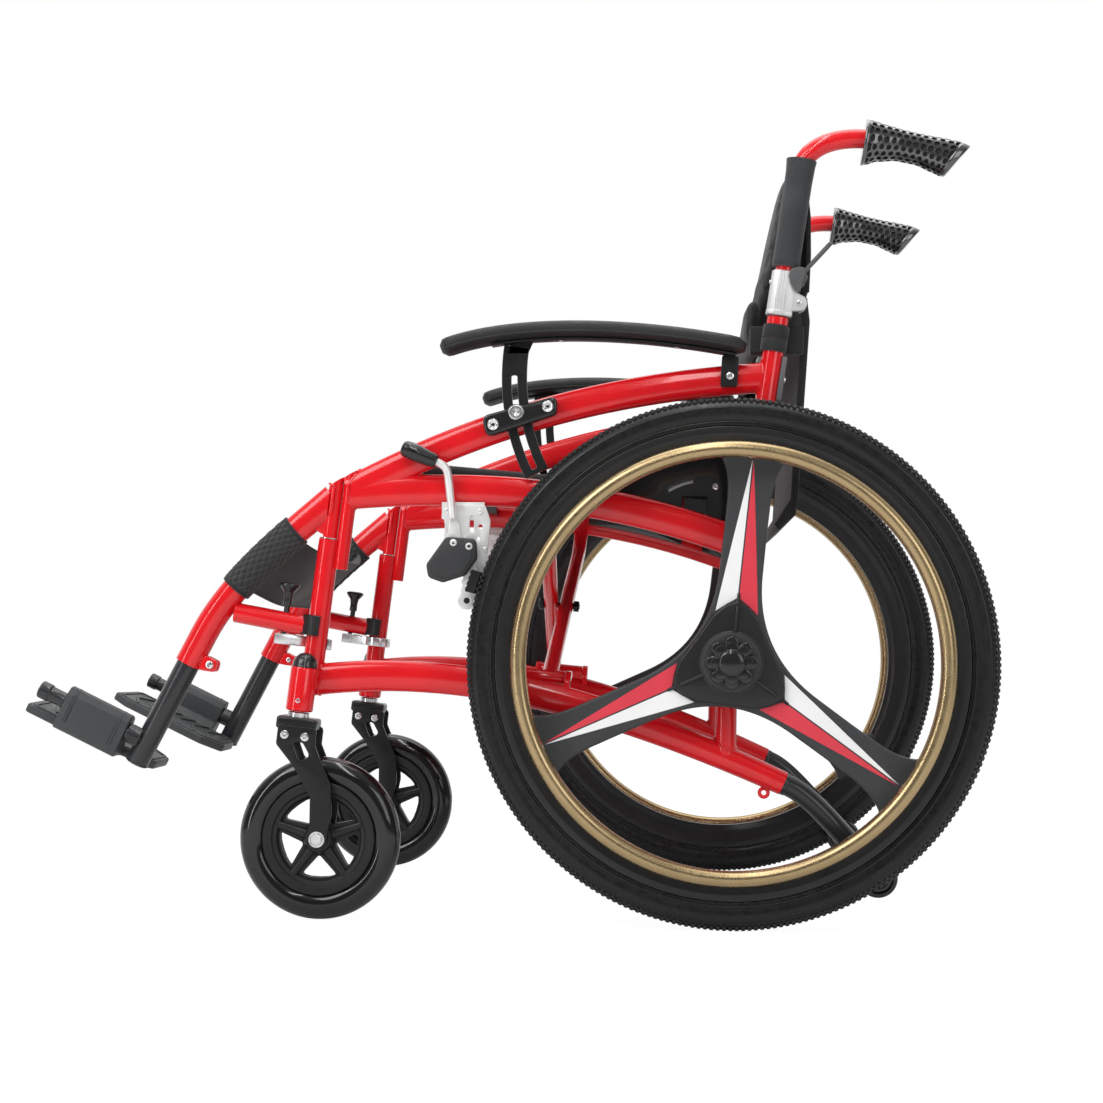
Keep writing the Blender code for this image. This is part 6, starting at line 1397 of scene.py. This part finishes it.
reach = 0.305 + 0.0065 + 0.0006
shoe_y = -math.sqrt(reach**2 - 0.091**2)
hub_arc = arc(-0.3071, 0.4384, 0.0075, 0, 180, 12)
teeth = [(-0.3105, 0.4290), (-0.3132, 0.4240), (-0.3118, 0.4195), (-0.3147, 0.4150), (-0.3130, 0.4105), (-0.3158, 0.4060),
         (-0.3142, 0.4015), (-0.3168, 0.3965), (-0.3150, 0.3920), (-0.3175, 0.3870), (-0.3170, 0.3830)]
shoe_arm = side_plate(
    hub_arc + teeth + arc(-0.3100, 0.3745, 0.0105, 170, 360, 14) + [(-0.2975, 0.3900), (-0.2965, 0.4050), (-0.2990, 0.4200)],
    lever_x, lever_x + 0.004, 0.0005, [circle(-0.3100, 0.3745, 0.0036, 24), circle(-0.3071, 0.4384, 0.0033, 24)],
)
eye = spun([(0.0038, 0.0), (0.0064, 0.0), (0.0064, 0.0012), (0.0038, 0.0012)], at(-0.3100, 0.3745, lever_x + 0.004),
           across, 28)
shoe_arm = smooth(painted(grouped("shoe_arm", shoe_arm, eye), stamped))
eye_bolt = rod(at(-0.3100, 0.3745, lever_x - 0.0005), at(-0.3100, 0.3745, lever_x + 0.0044), 0.0036, steps=24)
press = Vector((-shoe_y, 0.305 - 0.396)).normalized()
along_tyre = Vector((-press.y, press.x))
notched = []
for i in range(9):
    step = -0.0135 + 0.027 * i / 8
    notched.append(Vector((shoe_y, 0.396)) - press * (0.0062 if i % 2 else 0.0048) + along_tyre * step)
notched = [tuple(p) for p in notched] + [tuple(Vector((shoe_y, 0.396)) + press * 0.0056 + along_tyre * step)
                                         for step in (0.0128, -0.0128)]
shoe = side_plate(notched, lever_x + 0.001, 0.2925, 0.0004)
shoe = smooth(painted(grouped("shoe", shoe, eye_bolt), black_steel), 40)
both_sides(grouped("shoe", shoe_arm, shoe), "brake_block", "brake_shoe", ["brake_shoe"])


# Cross brace
# Two red tubes cross under the seat on one bolt. Each turns on a pin in the saddles of one lower rail
# and carries the opposite seat rail, closed with black plugs.

brace_slope = 0.0897 / 0.203
for sign, offset, letter in ((1, -0.0098, "a"), (-1, 0.0098, "b")):
    foot = in_fold(-0.203 * sign, 0, offset)
    corner = in_fold(0.191 * sign, 0.0897 + brace_slope * 0.191, offset)
    bend_start = in_fold(0.160 * sign, 0.0897 + brace_slope * 0.160, offset)
    bend_end = corner + fold_up * 0.031
    brace_line = [foot, in_fold(0, 0.0897, offset)]
    brace_line += bend(bend_start, bend_start.lerp(corner, 0.6), bend_end.lerp(corner, 0.6), bend_end, 14)
    brace_line += [bend_end + fold_up * 0.004, in_fold(0.191 * sign, 0.228, offset)]
    arm = drawn_tube(brace_line, 0.0095, 32, side_way=fold_way)
    rail = rod(in_fold(0.191 * sign, 0.228, -0.170), in_fold(0.191 * sign, 0.228, 0.1955), 0.011, edge=0.0008, steps=36)
    barrel = rod(in_fold(-0.203 * sign, 0, -0.029), in_fold(-0.203 * sign, 0, 0.029), 0.009, steps=32)
    brace_red = smooth(painted(grouped("brace_red", arm, rail, barrel), red_coat), 40)
    plugs = []
    for along, way in ((-0.1702, -1), (0.1957, 1)):
        middle = in_fold(0.191 * sign, 0.228, along)
        plugs.append(spun([(0, 0.0), (0.0098, 0.0), (0.0098, 0.0005), (0.0080, 0.0009), (0, 0.0010)], middle,
                          fold_way * way, 32))
    plugs = smooth(painted(grouped("plugs", *plugs), plug_paint))
    fitted(grouped("brace", brace_red, plugs), "brace_arm_" + letter, "brace_" + letter, ["cross_brace_" + letter])

half = 0.0196
hub_at = in_fold(0, 0.0897)
bolt = rod(hub_at - fold_way * (half + 0.001), hub_at + fold_way * (half + 0.0078), 0.004, steps=24)
dome = spun([(0, -half - 0.0070), (0.0050, -half - 0.0066), (0.0074, -half - 0.0050), (0.0085, -half - 0.0026),
             (0.0085, -half), (0, -half)], hub_at, fold_way, 32)
nut = cut_plate(circle(0, 0, 0.0079, 6), hub_at + fold_way * (half + 0.0035), across, fold_up, 0.0068, 0.0008)
bolt = smooth(painted(grouped("bolt", bolt, dome, nut), black_steel))
fitted(bolt, "brace_pivot_bolt", "brace_a", ["brace_bolt"])


# Side guards
# A glossy black moulded skirt beside the seat, screwed to the inside of the mid rail and the rear
# post, with a crescent-shaped slot near its back.

guard_black = coated("guard_black", (0.016, 0.016, 0.017), 0.20, coat=0.7, grain=420.0, depth=0.00006)
count = len(mid_line)
lower_edge = [(p.y - axle_y, p.z - 0.004) for p in mid_line[round(count * 3 / 7):]]
lower_edge[-1] = (lower_edge[-1][0] - 0.002, lower_edge[-1][1])
guard_shape = lower_edge + [(on_rear_post(0.575).y - axle_y - 0.004, 0.575), (-0.020, 0.583), (-0.080, 0.577),
                            (-0.150, 0.557), (-0.215, 0.533)]
crescent = arc(-0.030, 0.440, 0.084, 124, 98, 14) + arc(-0.032, 0.452, 0.066, 98, 124, 14)
guard = side_plate(guard_shape, 0.2140, 0.2170, 0.0010)
guard = without(guard, side_plate(crescent, 0.2100, 0.2200, 0.0),
                side_plate([(-0.0568, 0.4300), (-0.0272, 0.4300), (-0.0272, 0.5012), (-0.0568, 0.5012)], 0.2100, 0.2200, 0.0))
# The lip is a painted highlight: a thin bright metal strip along the slot's lower edge that stands for the bright
# crescent of light in the slot, not a real part.
lip = side_plate(arc(-0.030, 0.4400, 0.0815, 122, 100, 16) + arc(-0.030, 0.4368, 0.0815, 100, 122, 16), 0.2166, 0.2176, 0.0003)
guard = smooth(painted(guard, guard_black), 36)
lip = smooth(painted(lip, bright_edge_and_painted_highlight), 36)
guard_screws = [screw(at(y, z, 0.2170), across, 0.0043, 0.0018) for y, z in ((-0.0169, 0.5128), (-0.1500, 0.5020))]
guard_screws = smooth(painted(grouped("guard_screws", *guard_screws), zinc))
both_sides(grouped("side_guard", guard, lip, guard_screws), "side_skirt", "frame", ["side_guard"])


# Anti-tip tubes and wheels
# A black tube plugged into the lower rail curves down behind the axle, with two cheeks that hold a
# small rubber wheel just over the floor.

tip_way = heading(-24)
tip_start = low_line[-1] + tip_way * 0.0003
tip_end = at(0.142, 0.094)
tip_line = [tip_start, tip_start + tip_way * 0.004]
tip_line += bend(tip_start + tip_way * 0.008, tip_start + tip_way * 0.034, tip_end - heading(-47) * 0.030, tip_end, 18)
tip_tube = drawn_tube(tip_line, 0.0125, 36)
tip_ring = spun([(0.0100, 0), (0.0128, 0.0004), (0.0132, 0.0016), (0.0132, 0.0040), (0.0126, 0.0052), (0.0100, 0.0056)],
                tip_start, tip_way, 40)
cheek = [(0.1320, 0.0960), (0.1500, 0.1060), (0.1820, 0.0590)] + arc(0.172, 0.056, 0.009, 0, -180, 10)
cheeks = [side_plate(cheek, frame_x - 0.0130, frame_x - 0.0100, 0.0008),
          side_plate(cheek, frame_x + 0.0100, frame_x + 0.0130, 0.0008)]
bridge = side_plate([(0.130, 0.102), (0.146, 0.108), (0.148, 0.088), (0.134, 0.086)], frame_x - 0.012, frame_x + 0.012, 0.001)
tip_steel = smooth(painted(grouped("tip_steel", tip_tube, tip_ring, *cheeks, bridge), satin_black), 38)
tip_pin = [rod(at(0.172, 0.056, frame_x - 0.0135), at(0.172, 0.056, frame_x + 0.0135), 0.0039, steps=24),
           screw(at(0.172, 0.056, frame_x + 0.0130), across, 0.0052, 0.0022),
           screw(at(0.172, 0.056, frame_x - 0.0130), -across, 0.0052, 0.0022)]
tip_pin = smooth(painted(grouped("tip_pin", *tip_pin), zinc))
both_sides(grouped("anti_tip", tip_steel, tip_pin), "anti_tip_stay", "frame", ["anti_tip_tube"])
roller = spun(
    softened([(0.0043, -0.0090), (0.0110, -0.0090), (0.0125, -0.0070), (0.0165, -0.0070), (0.0180, -0.0088),
              (0.0215, -0.0082), (0.0230, -0.0060), (0.0230, 0.0060), (0.0215, 0.0082), (0.0180, 0.0088),
              (0.0165, 0.0070), (0.0125, 0.0070), (0.0110, 0.0090), (0.0043, 0.0090)], 0.0008, 2),
    at(0.172, 0.056), across, 64,
)
both_sides(smooth(painted(roller, caster_rubber), 40), "anti_tip_roller", "anti_tip_wheel", ["anti_tip_wheel"])


# Back tubes
# Red tubes that stand in the cast hinges and turn back at the top into the handles.

handle_start = at(0.1562, 0.9254)
back_line = [on_rear_post(z) for z in (0.7360, 0.7750, 0.8100, 0.8450, 0.8700)]
back_line += bend(
    on_rear_post(0.885), on_rear_post(0.885) + rear_way * 0.030, handle_start - heading(-4) * 0.040, handle_start, 22
)
back_line += [handle_start + heading(-9) * 0.020, handle_start + heading(-10) * 0.097]
back_tube = smooth(painted(drawn_tube(back_line, 0.01125, 40), red_coat), 40)
both_sides(back_tube, "handle_tube", "upper_back", ["back_tube"])


# Back hinges
# Bright castings round the rear posts, ribbed down their sides, with a lobe at the back for the
# hinge pin. A dark leaf-shaped catch with a thin rod frees the back.

cast = coated("cast_alloy", (0.60, 0.60, 0.60), 0.42, metallic=0.55, grain=420.0, depth=0.00002, mottle=0.05, wear=0.08)
section = [(-0.0130, 0.0060), (-0.0130, -0.0070), (-0.0091, -0.0135), (-0.0030, -0.0135), (-0.0015, -0.0150),
           (0.0015, -0.0150), (0.0030, -0.0135), (0.0091, -0.0135), (0.0130, -0.0070), (0.0130, 0.0060),
           (0.01105, 0.0150), (-0.01105, 0.0150)]
leg_at = on_rear_post(0.7135)
casting = cut_plate(softened(section, 0.0018, 3), leg_at + rear_way * 0.027, across, heading(-8.25), 0.054, 0.0012)
flutes = []
for b in (-0.0045, -0.0008, 0.0029):
    line = [leg_at + rear_way * t + heading(-8.25) * b + across * 0.0127 for t in (0.0018, 0.027, 0.0522)]
    flutes.append(drawn_tube(line, 0.00075, 10))
lobe = arc(0.079, 0.7284, 0.0098, -85, 75, 14) + [(0.0765, 0.7420), (0.0728, 0.7480), (0.0718, 0.7605), (0.065, 0.7605),
                                                  (0.061, 0.7184)]
lobe = side_plate(lobe, frame_x - 0.01105, frame_x + 0.01105, 0.0022)
lobe = without(lobe, side_plate([(0.0625, 0.70), (0.10, 0.70), (0.10, 0.78), (0.0625, 0.78)], frame_x - 0.0035,
                                frame_x + 0.0035, 0.0))
collar = cut_plate(softened([(a * 1.035, b * 1.03) for a, b in section], 0.0018, 3), leg_at + rear_way * 0.0035, across,
                   heading(-8.25), 0.006, 0.0010)
hinge_pin = [rod(leg_at + rear_way * 0.0400 - heading(-8.25) * 0.0165, leg_at + rear_way * 0.0400, 0.0024, steps=18)]
hinge = smooth(painted(grouped("hinge", casting, *flutes, lobe, collar, *hinge_pin), cast), 34)
both_sides(hinge, "cast_hinge", "upper_back", ["back_hinge"])
catch_mould = coated("catch_mould", (0.075, 0.077, 0.080), 0.42, grain=900.0, depth=0.00003)
leaf = side_plate(
    softened([(0.0745, 0.7540), (0.0775, 0.7470), (0.0850, 0.7490), (0.0905, 0.7610), (0.0845, 0.7690), (0.0765, 0.7665)],
             0.0042, 5), frame_x - 0.0027, frame_x + 0.0027, 0.0010,
)
outer_leaf = side_plate(
    softened([(0.0690, 0.7680), (0.0800, 0.7705), (0.0862, 0.7690), (0.0850, 0.7590), (0.0800, 0.7400), (0.0752, 0.7408),
              (0.0690, 0.7510), (0.0668, 0.7600)], 0.0040, 5), frame_x + 0.0134, frame_x + 0.0160, 0.0009,
)
leaf_bar = rod(at(0.0815, 0.7640, frame_x), at(0.0815, 0.7640, frame_x + 0.0150), 0.0024, steps=18)
catch_rod = drawn_tube([at(0.0815, 0.7625), at(0.0990, 0.7815), at(0.1150, 0.7990)], 0.0028, 16)
catch_end = spun([(0, 0), (0.0023, 0), (0.0028, 0.0010), (0.0024, 0.0026), (0, 0.0032)], at(0.1150, 0.7990), heading(47.6), 20)
catch_pin = rod(at(0.0800, 0.7530, frame_x - 0.0040), at(0.0800, 0.7530, frame_x + 0.0040), 0.0019, steps=18)
catch = smooth(painted(grouped("catch", leaf, outer_leaf, leaf_bar, catch_rod, catch_end), catch_mould), 40)
both_sides(grouped("catch_set", catch, painted(catch_pin, zinc)), "back_catch", "hinge_lever", ["hinge_lever"])


# Push grips
# Glossy black grips with rows of round holes through a soft skin over a dark core, waisted in the
# middle, and cut off at a slant behind.

grip_skin = coated("grip_skin", (0.014, 0.014, 0.015), 0.24, coat=1.0, grain=800.0, depth=0.00001, shine=1.0)
grip_core = coated("grip_core", (0.010, 0.010, 0.010), 0.75, grain=800.0, depth=0.00004)
grip_at = at(0.1549, 0.9145)
grip_length = 0.1145
waist = [(0, 0.0272, 0.0240, 0.0067), (0.06, 0.0258, 0.0232, 0.0082), (0.20, 0.0218, 0.0205, 0.0114),
         (0.40, 0.0184, 0.0180, 0.0142), (0.60, 0.0182, 0.0180, 0.0150), (0.80, 0.0208, 0.0192, 0.0140),
         (0.92, 0.0222, 0.0196, 0.0132), (1.0, 0.0212, 0.0180, 0.0128)]


def grip_point(share, angle, inset=0.0):
    """A place on the grip's skin, by its share of the length and the angle round it."""
    share = max(0.0, min(1.0, share))
    k = max(i for i in range(len(waist) - 1) if waist[i][0] <= share)
    (low, high_a, wide_a, rise_a), (top, high_b, wide_b, rise_b) = waist[k], waist[k + 1]
    t = (share - low) / (top - low)
    t = t * t * (3 - 2 * t) * 0.6 + t * 0.4
    high = high_a + (high_b - high_a) * t - inset
    wide = wide_a + (wide_b - wide_a) * t - inset
    c, s = math.cos(angle), math.sin(angle)
    a = wide * math.copysign(abs(c) ** (2 / 2.2), c)
    b = high * math.copysign(abs(s) ** (2 / 2.2), s)
    slant = 0.0034 * max(0.0, 1 - share * 4) - 0.010 * max(0.0, share * 2 - 1) ** 2
    rise = rise_a + (rise_b - rise_a) * t
    along = heading(-15) * (grip_length * share - slant * b / high)
    return grip_at + along + across * a + heading(75) * b + heading(90) * rise


def grip_shell(first, last, rings, inset, rounded=0.0):
    """A closed length of the grip, with its ends rounded over."""
    line = [at(0.1 * i, 0.0) for i in range(rings)]
    shell = drawn_tube(line, 0.01, 48)
    for i in range(rings):
        t = i / (rings - 1)
        edge = min(i, rings - 1 - i)
        pull = rounded * (1 - math.sqrt(1 - (1 - edge / 3) ** 2)) if rounded and edge < 3 else 0.0
        for vertex in shell.data.vertices[i * 48:i * 48 + 48]:
            angle = math.atan2(vertex.co.z, vertex.co.x - frame_x)
            vertex.co = grip_point(first + (last - first) * t, angle, inset + pull)
    return mended(shell)


pitch = 0.0088
hole = 0.0030
bpy.ops.object.select_all(action="DESELECT")
bpy.ops.mesh.primitive_circle_add(vertices=12, radius=pitch / math.sqrt(3), fill_type="NGON", location=(0, 0, 0))
tile = bpy.context.object
for vertex in tile.data.vertices:
    turn = round(math.degrees(math.atan2(vertex.co.y, vertex.co.x)) / 30)
    if turn % 2 == 0:
        vertex.co *= math.cos(math.radians(30))
opened(tile)
bpy.ops.mesh.select_all(action="SELECT")
bpy.ops.mesh.inset(thickness=0.001)
bpy.ops.mesh.delete(type="FACE")
bpy.ops.object.mode_set(mode="OBJECT")
for vertex in sorted(tile.data.vertices, key=lambda v: v.co.length)[:12]:
    vertex.co = vertex.co.normalized() * hole
row = pitch * math.sqrt(3) / 2
bpy.ops.object.select_all(action="DESELECT")
tile.select_set(True)
bpy.context.view_layer.objects.active = tile
bpy.ops.object.duplicate()
shifted = bpy.context.object
shifted.location = (pitch / 2, row, 0)
pattern = grouped("pattern", tile, settled(shifted))
applied(pattern, "ARRAY", count=11, use_relative_offset=False, use_constant_offset=True,
        constant_offset_displace=(pitch, 0, 0), use_merge_vertices=True, merge_threshold=0.00005)
applied(pattern, "ARRAY", count=8, use_relative_offset=False, use_constant_offset=True,
        constant_offset_displace=(0, 2 * row, 0), use_merge_vertices=True, merge_threshold=0.00005)
for vertex in pattern.data.vertices:
    share = (0.0092 + vertex.co.x) / grip_length
    vertex.co = grip_point(share, 2 * math.pi * vertex.co.y / (16 * row))
pattern = mended(pattern, 0.00005)
applied(pattern, "SOLIDIFY", thickness=0.0022, offset=-1.0)
front_lip = grip_shell(0.0, 0.052, 8, 0.0, 0.0012)
rear_lip = grip_shell(0.918, 1.0, 8, 0.0, 0.0012)
core = grip_shell(0.05, 0.95, 24, 0.0024)
skin = smooth(painted(grouped("skin", pattern, front_lip, rear_lip), grip_skin), 42)
both_sides(grouped("grip", skin, smooth(painted(core, grip_core), 50)), "push_handle", "upper_back", ["push_grip"])


# Seat cloth
# A black woven cloth hangs between the seat rails and is wrapped over both, with a wide sewn hem
# along each rail and piping on its front and back edges.

seat_cloth = woven("seat_cloth", (0.007, 0.007, 0.008), (0.024, 0.024, 0.026), 2300.0, 0.0003)
seat_line = []
for k in range(9):
    seat_line.append(("wrap", 1, 8 + 82 * k / 8))
for k in range(1, 60):
    seat_line.append(("span", 1 - 2 * k / 60, 0.0))
for k in range(9):
    seat_line.append(("wrap", -1, 90 - 82 * k / 8))


def seat_place(kind, side, angle, s, lift=0.0):
    """A place on the top of the seat cloth: across by side, or round a rail by angle."""
    if kind == "wrap":
        radius = 0.01535 + lift
        return (side * (0.191 + radius * math.cos(math.radians(angle))), 0.228 + radius * math.sin(math.radians(angle)))
    t = 1 - abs(side)
    sag = 0.014 * (0.55 + 0.45 * math.sin(math.pi * s))
    up = 0.228 + 0.01535 - sag * math.sin(math.pi / 2 * t) + 0.004 * math.sin(math.pi * t) + lift
    return side * 0.191, up


def seat_point(place, s, lift=0.0):
    x, up = seat_place(*place, s, lift)
    ripple = 0.0007 * math.sin(16 * s + 5 * x / 0.19) * math.sin(math.pi * s) if place[0] == "span" else 0.0
    return in_fold(x, up + ripple, -0.1665 + 0.354 * s)


bpy.ops.object.select_all(action="DESELECT")
bpy.ops.mesh.primitive_grid_add(x_subdivisions=len(seat_line) - 1, y_subdivisions=50, size=1, location=(0, 0, 0))
seat = bpy.context.object
for vertex in seat.data.vertices:
    i = round((vertex.co.x + 0.5) * (len(seat_line) - 1))
    vertex.co = seat_point(seat_line[i], vertex.co.y + 0.5)
opened(seat)
bpy.ops.mesh.select_all(action="SELECT")
bpy.ops.mesh.normals_make_consistent(inside=False)
bpy.ops.object.mode_set(mode="OBJECT")
upward = seat.data.polygons[len(seat.data.polygons) // 2].normal.z > 0
applied(seat, "SOLIDIFY", thickness=0.0034, offset=-1.0 if upward else 1.0)
edging = []
for s in (0.005, 0.995):
    edging.append(drawn_tube([seat_point(place, s, -0.0014) for place in seat_line], 0.0021, 12, side_way=fold_way))
stitches = []
for side in (1, -1):
    for inset in (0.030, 0.034):
        place = ("span", side * (1 - inset / 0.191), 0.0)
        stitches.append(drawn_tube([seat_point(place, 0.01 + 0.98 * k / 40, -0.0002) for k in range(41)], 0.0005, 8))
seat = smooth(painted(seat, seat_cloth), 70)
edging = smooth(painted(grouped("edging", *edging, *stitches), webbing), 70)
seat = grouped("seat", seat, edging)
seat = fitted(seat, "seat_cloth", "seat", ["seat_sling"])
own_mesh(seat)


# Upper back
# A padded black cloth between the back tubes, sewn to a sleeve round each tube, with a stiff panel
# behind it. The pad is blown up by a short cloth simulation.


def plumped(piece, cell=0.0055, most=0.007):
    """Blows a closed shape up like a filled cover, moving no point further than most."""
    applied(piece, "REMESH", mode="VOXEL", voxel_size=cell)
    rest = [vertex.co.copy() for vertex in piece.data.vertices]
    only(piece)
    bpy.ops.object.modifier_add(type="CLOTH")
    cloth = piece.modifiers[-1]
    cloth.settings.quality = 4
    cloth.settings.mass = 0.25
    cloth.settings.tension_stiffness = 18
    cloth.settings.compression_stiffness = 18
    cloth.settings.bending_stiffness = 0.6
    cloth.settings.use_pressure = True
    cloth.settings.uniform_pressure_force = 4.0
    cloth.settings.effector_weights.gravity = 0.0
    cloth.point_cache.frame_start = 1
    cloth.point_cache.frame_end = 20
    for frame_number in range(1, 21):
        bpy.context.scene.frame_set(frame_number)
    bpy.ops.object.modifier_apply(modifier=cloth.name)
    bpy.context.scene.frame_set(1)
    for vertex, place in zip(piece.data.vertices, rest):
        move = vertex.co - place
        if move.length > most:
            vertex.co = place + move * (most / move.length)
    applied(piece, "SUBSURF", levels=1)
    return piece


def post_y(z):
    return on_rear_post(z).y - axle_y


back_cloth = woven("back_cloth", (0.008, 0.008, 0.009), (0.026, 0.026, 0.027), 2400.0, 0.0003)
stations = [(-0.0225, 0.7430), (-0.0148, 0.780), (-0.0118, 0.826), (-0.0102, 0.855), (-0.0078, 0.882), (-0.0055, 0.897)]


def pad_middle(z):
    """How far the pad's middle stands before the posts at a height."""
    for (first, low), (last, high) in zip(stations, stations[1:]):
        if z <= high:
            return first + (last - first) * max(0.0, z - low) / (high - low)
    return stations[-1][0]



fronts = [(post_y(z) + offset - 0.0062, z) for offset, z in stations]
rears = [(post_y(z) + offset + 0.0062, z) for offset, z in reversed(stations)]
cushion = side_plate(softened(fronts + rears, 0.004, 3), -0.2120, 0.2120, 0.003)
cushion = plumped(cushion)
for vertex in cushion.data.vertices:
    share = min(1.0, abs(vertex.co.x) / 0.2165)
    middle = axle_y + post_y(vertex.co.z) + pad_middle(vertex.co.z)
    vertex.co.y = middle + (vertex.co.y - middle) * (1 - 0.42 * share**5)
    for line_z in (0.800, 0.862):
        dent = math.exp(-((vertex.co.z - line_z) / 0.0022) ** 2)
        vertex.co.y += 0.0016 * dent * (1 if vertex.co.y < middle else -1)
stiff = [(post_y(0.780) - 0.0080, 0.780), (post_y(0.894) - 0.0080, 0.894), (post_y(0.894) + 0.0030, 0.894),
         (post_y(0.780) + 0.0030, 0.780)]
stiff = side_plate(softened(stiff, 0.003, 3), -0.205, 0.205, 0.003)
cover_line = [(0.0810, 0.8930), (0.0872, 0.8840), (0.0903, 0.8692), (0.0937, 0.8367), (0.0940, 0.7896), (0.0920, 0.7460)]
inner_line = [(y - 0.0030, z - 0.0010) for y, z in reversed(cover_line)]
rear_cover = side_plate(softened(cover_line + inner_line, 0.0035, 3), -0.2125, 0.2125, 0.0012)
cover_hems = []
for side in (1, -1):
    line = [at(y - 0.0015, z, side * 0.2112) for y, z in cover_line[1:]]
    cover_hems.append(drawn_tube(line, (0.0014, 0.0026), 12, 2.6))
cushion = smooth(painted(cushion, back_cloth), 70)
stiff = smooth(painted(grouped("stiff", stiff, rear_cover), back_cloth), 60)
cover_hems = smooth(painted(grouped("cover_hems", *cover_hems), webbing), 60)
upper = fitted(grouped("upper", cushion, stiff, cover_hems), "back_cushion", "upper_back_right", ["back_upper"])
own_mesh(upper)

# The sleeve cloth is lighter and bluer than the back cloth: partly its own blue-grey, partly a painted highlight for
# the lit band along the sleeve.
sleeve_grey_and_painted_highlight = woven("sleeve_grey_and_painted_highlight", (0.014, 0.015, 0.017), (0.052, 0.056, 0.060), 2400.0, 0.0003)
sleeve_path = [on_rear_post(0.772), on_rear_post(0.800), on_rear_post(0.830), on_rear_post(0.855), on_rear_post(0.872)]
sleeve_path += [at(0.0803, 0.8850), at(0.0814, 0.8935), at(0.0824, 0.9000)]
side_sleeve = drawn_tube(sleeve_path, lambda t: (0.0163, 0.0163 + 0.0018 * t**4), 48)
hem_at = sleeve_path[0] + rear_way * 0.0006
sleeve_hem = spun([(0.0118, 0), (0.0160, 0.0), (0.0166, 0.0012), (0.0166, 0.0090), (0.0163, 0.0100), (0.0118, 0.0100)],
                  hem_at, rear_way, 48)
sleeve_end = spun([(0.0, 0.0), (0.0164, 0.0), (0.0167, 0.0014), (0.0162, 0.0030), (0.0120, 0.0040), (0.0, 0.0040)],
                  sleeve_path[-1] - (sleeve_path[-1] - sleeve_path[-2]).normalized() * 0.0034,
                  (sleeve_path[-1] - sleeve_path[-2]).normalized(), 48)
side_sleeve = smooth(painted(grouped("side_sleeve", side_sleeve, sleeve_hem, sleeve_end), sleeve_grey_and_painted_highlight), 60)
both_sides(side_sleeve, "back_sleeve", "upper_back", [])


# Lower back
# The pad below the hinges, with a strap band round each rear post and a loose panel that hangs
# behind the posts down to the seat.

pad_shape = [(0.0200, 0.7375), (0.0190, 0.700), (0.0240, 0.671), (0.0340, 0.671), (0.0310, 0.700), (0.0335, 0.7375)]
low_pad = side_plate(softened(pad_shape, 0.003, 3), -0.2090, 0.2090, 0.003)
low_pad = smooth(painted(plumped(low_pad, 0.0055, 0.0035), back_cloth), 70)
flap_shape = [(0.0900, 0.7399), (0.0930, 0.711), (0.0870, 0.620), (0.0820, 0.545), (0.0780, 0.480), (0.0560, 0.460),
              (0.0540, 0.470), (0.0720, 0.500), (0.0750, 0.545), (0.0790, 0.620), (0.0850, 0.711), (0.0820, 0.7399)]
flap = smooth(painted(side_plate(softened(flap_shape, 0.004, 3), -0.2125, 0.2125, 0.0012), back_cloth), 50)
flap_hems = []
for side in (1, -1):
    line = [(0.0860, 0.7390), (0.0893, 0.711), (0.0832, 0.620), (0.0787, 0.545), (0.0755, 0.492), (0.0560, 0.4655)]
    flap_hems.append(drawn_tube([at(y, z, side * 0.2110) for y, z in line], (0.0016, 0.0046), 12, 2.6))
flap_hems = smooth(painted(grouped("flap_hems", *flap_hems), webbing), 60)
straps = []
for side in (1, -1):
    low, high = (0.1975, 0.2235) if side > 0 else (-0.2235, -0.1975)
    straps.append(side_plate(softened([(0.0225, 0.6705), (0.0862, 0.6705), (0.0862, 0.7035), (0.0225, 0.7035)], 0.002, 2),
                             low, high, 0.002))
straps = smooth(painted(grouped("straps", *straps), webbing), 50)
lower = fitted(grouped("lower", low_pad, flap, flap_hems, straps), "back_flap", "frame_right", ["back_lower"])
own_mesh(lower)

band_foot = on_rear_post(0.6712)
bands = [spun([(0.0130, 0.0), (0.0152, 0.0), (0.0156, 0.0008), (0.0156, 0.0148), (0.0152, 0.0156), (0.0130, 0.0156)],
              band_foot + rear_way * step, rear_way, 48) for step in (0.0, 0.0162)]
bands = smooth(painted(grouped("bands", *bands), webbing), 50)
both_sides(bands, "post_band", "frame", [])
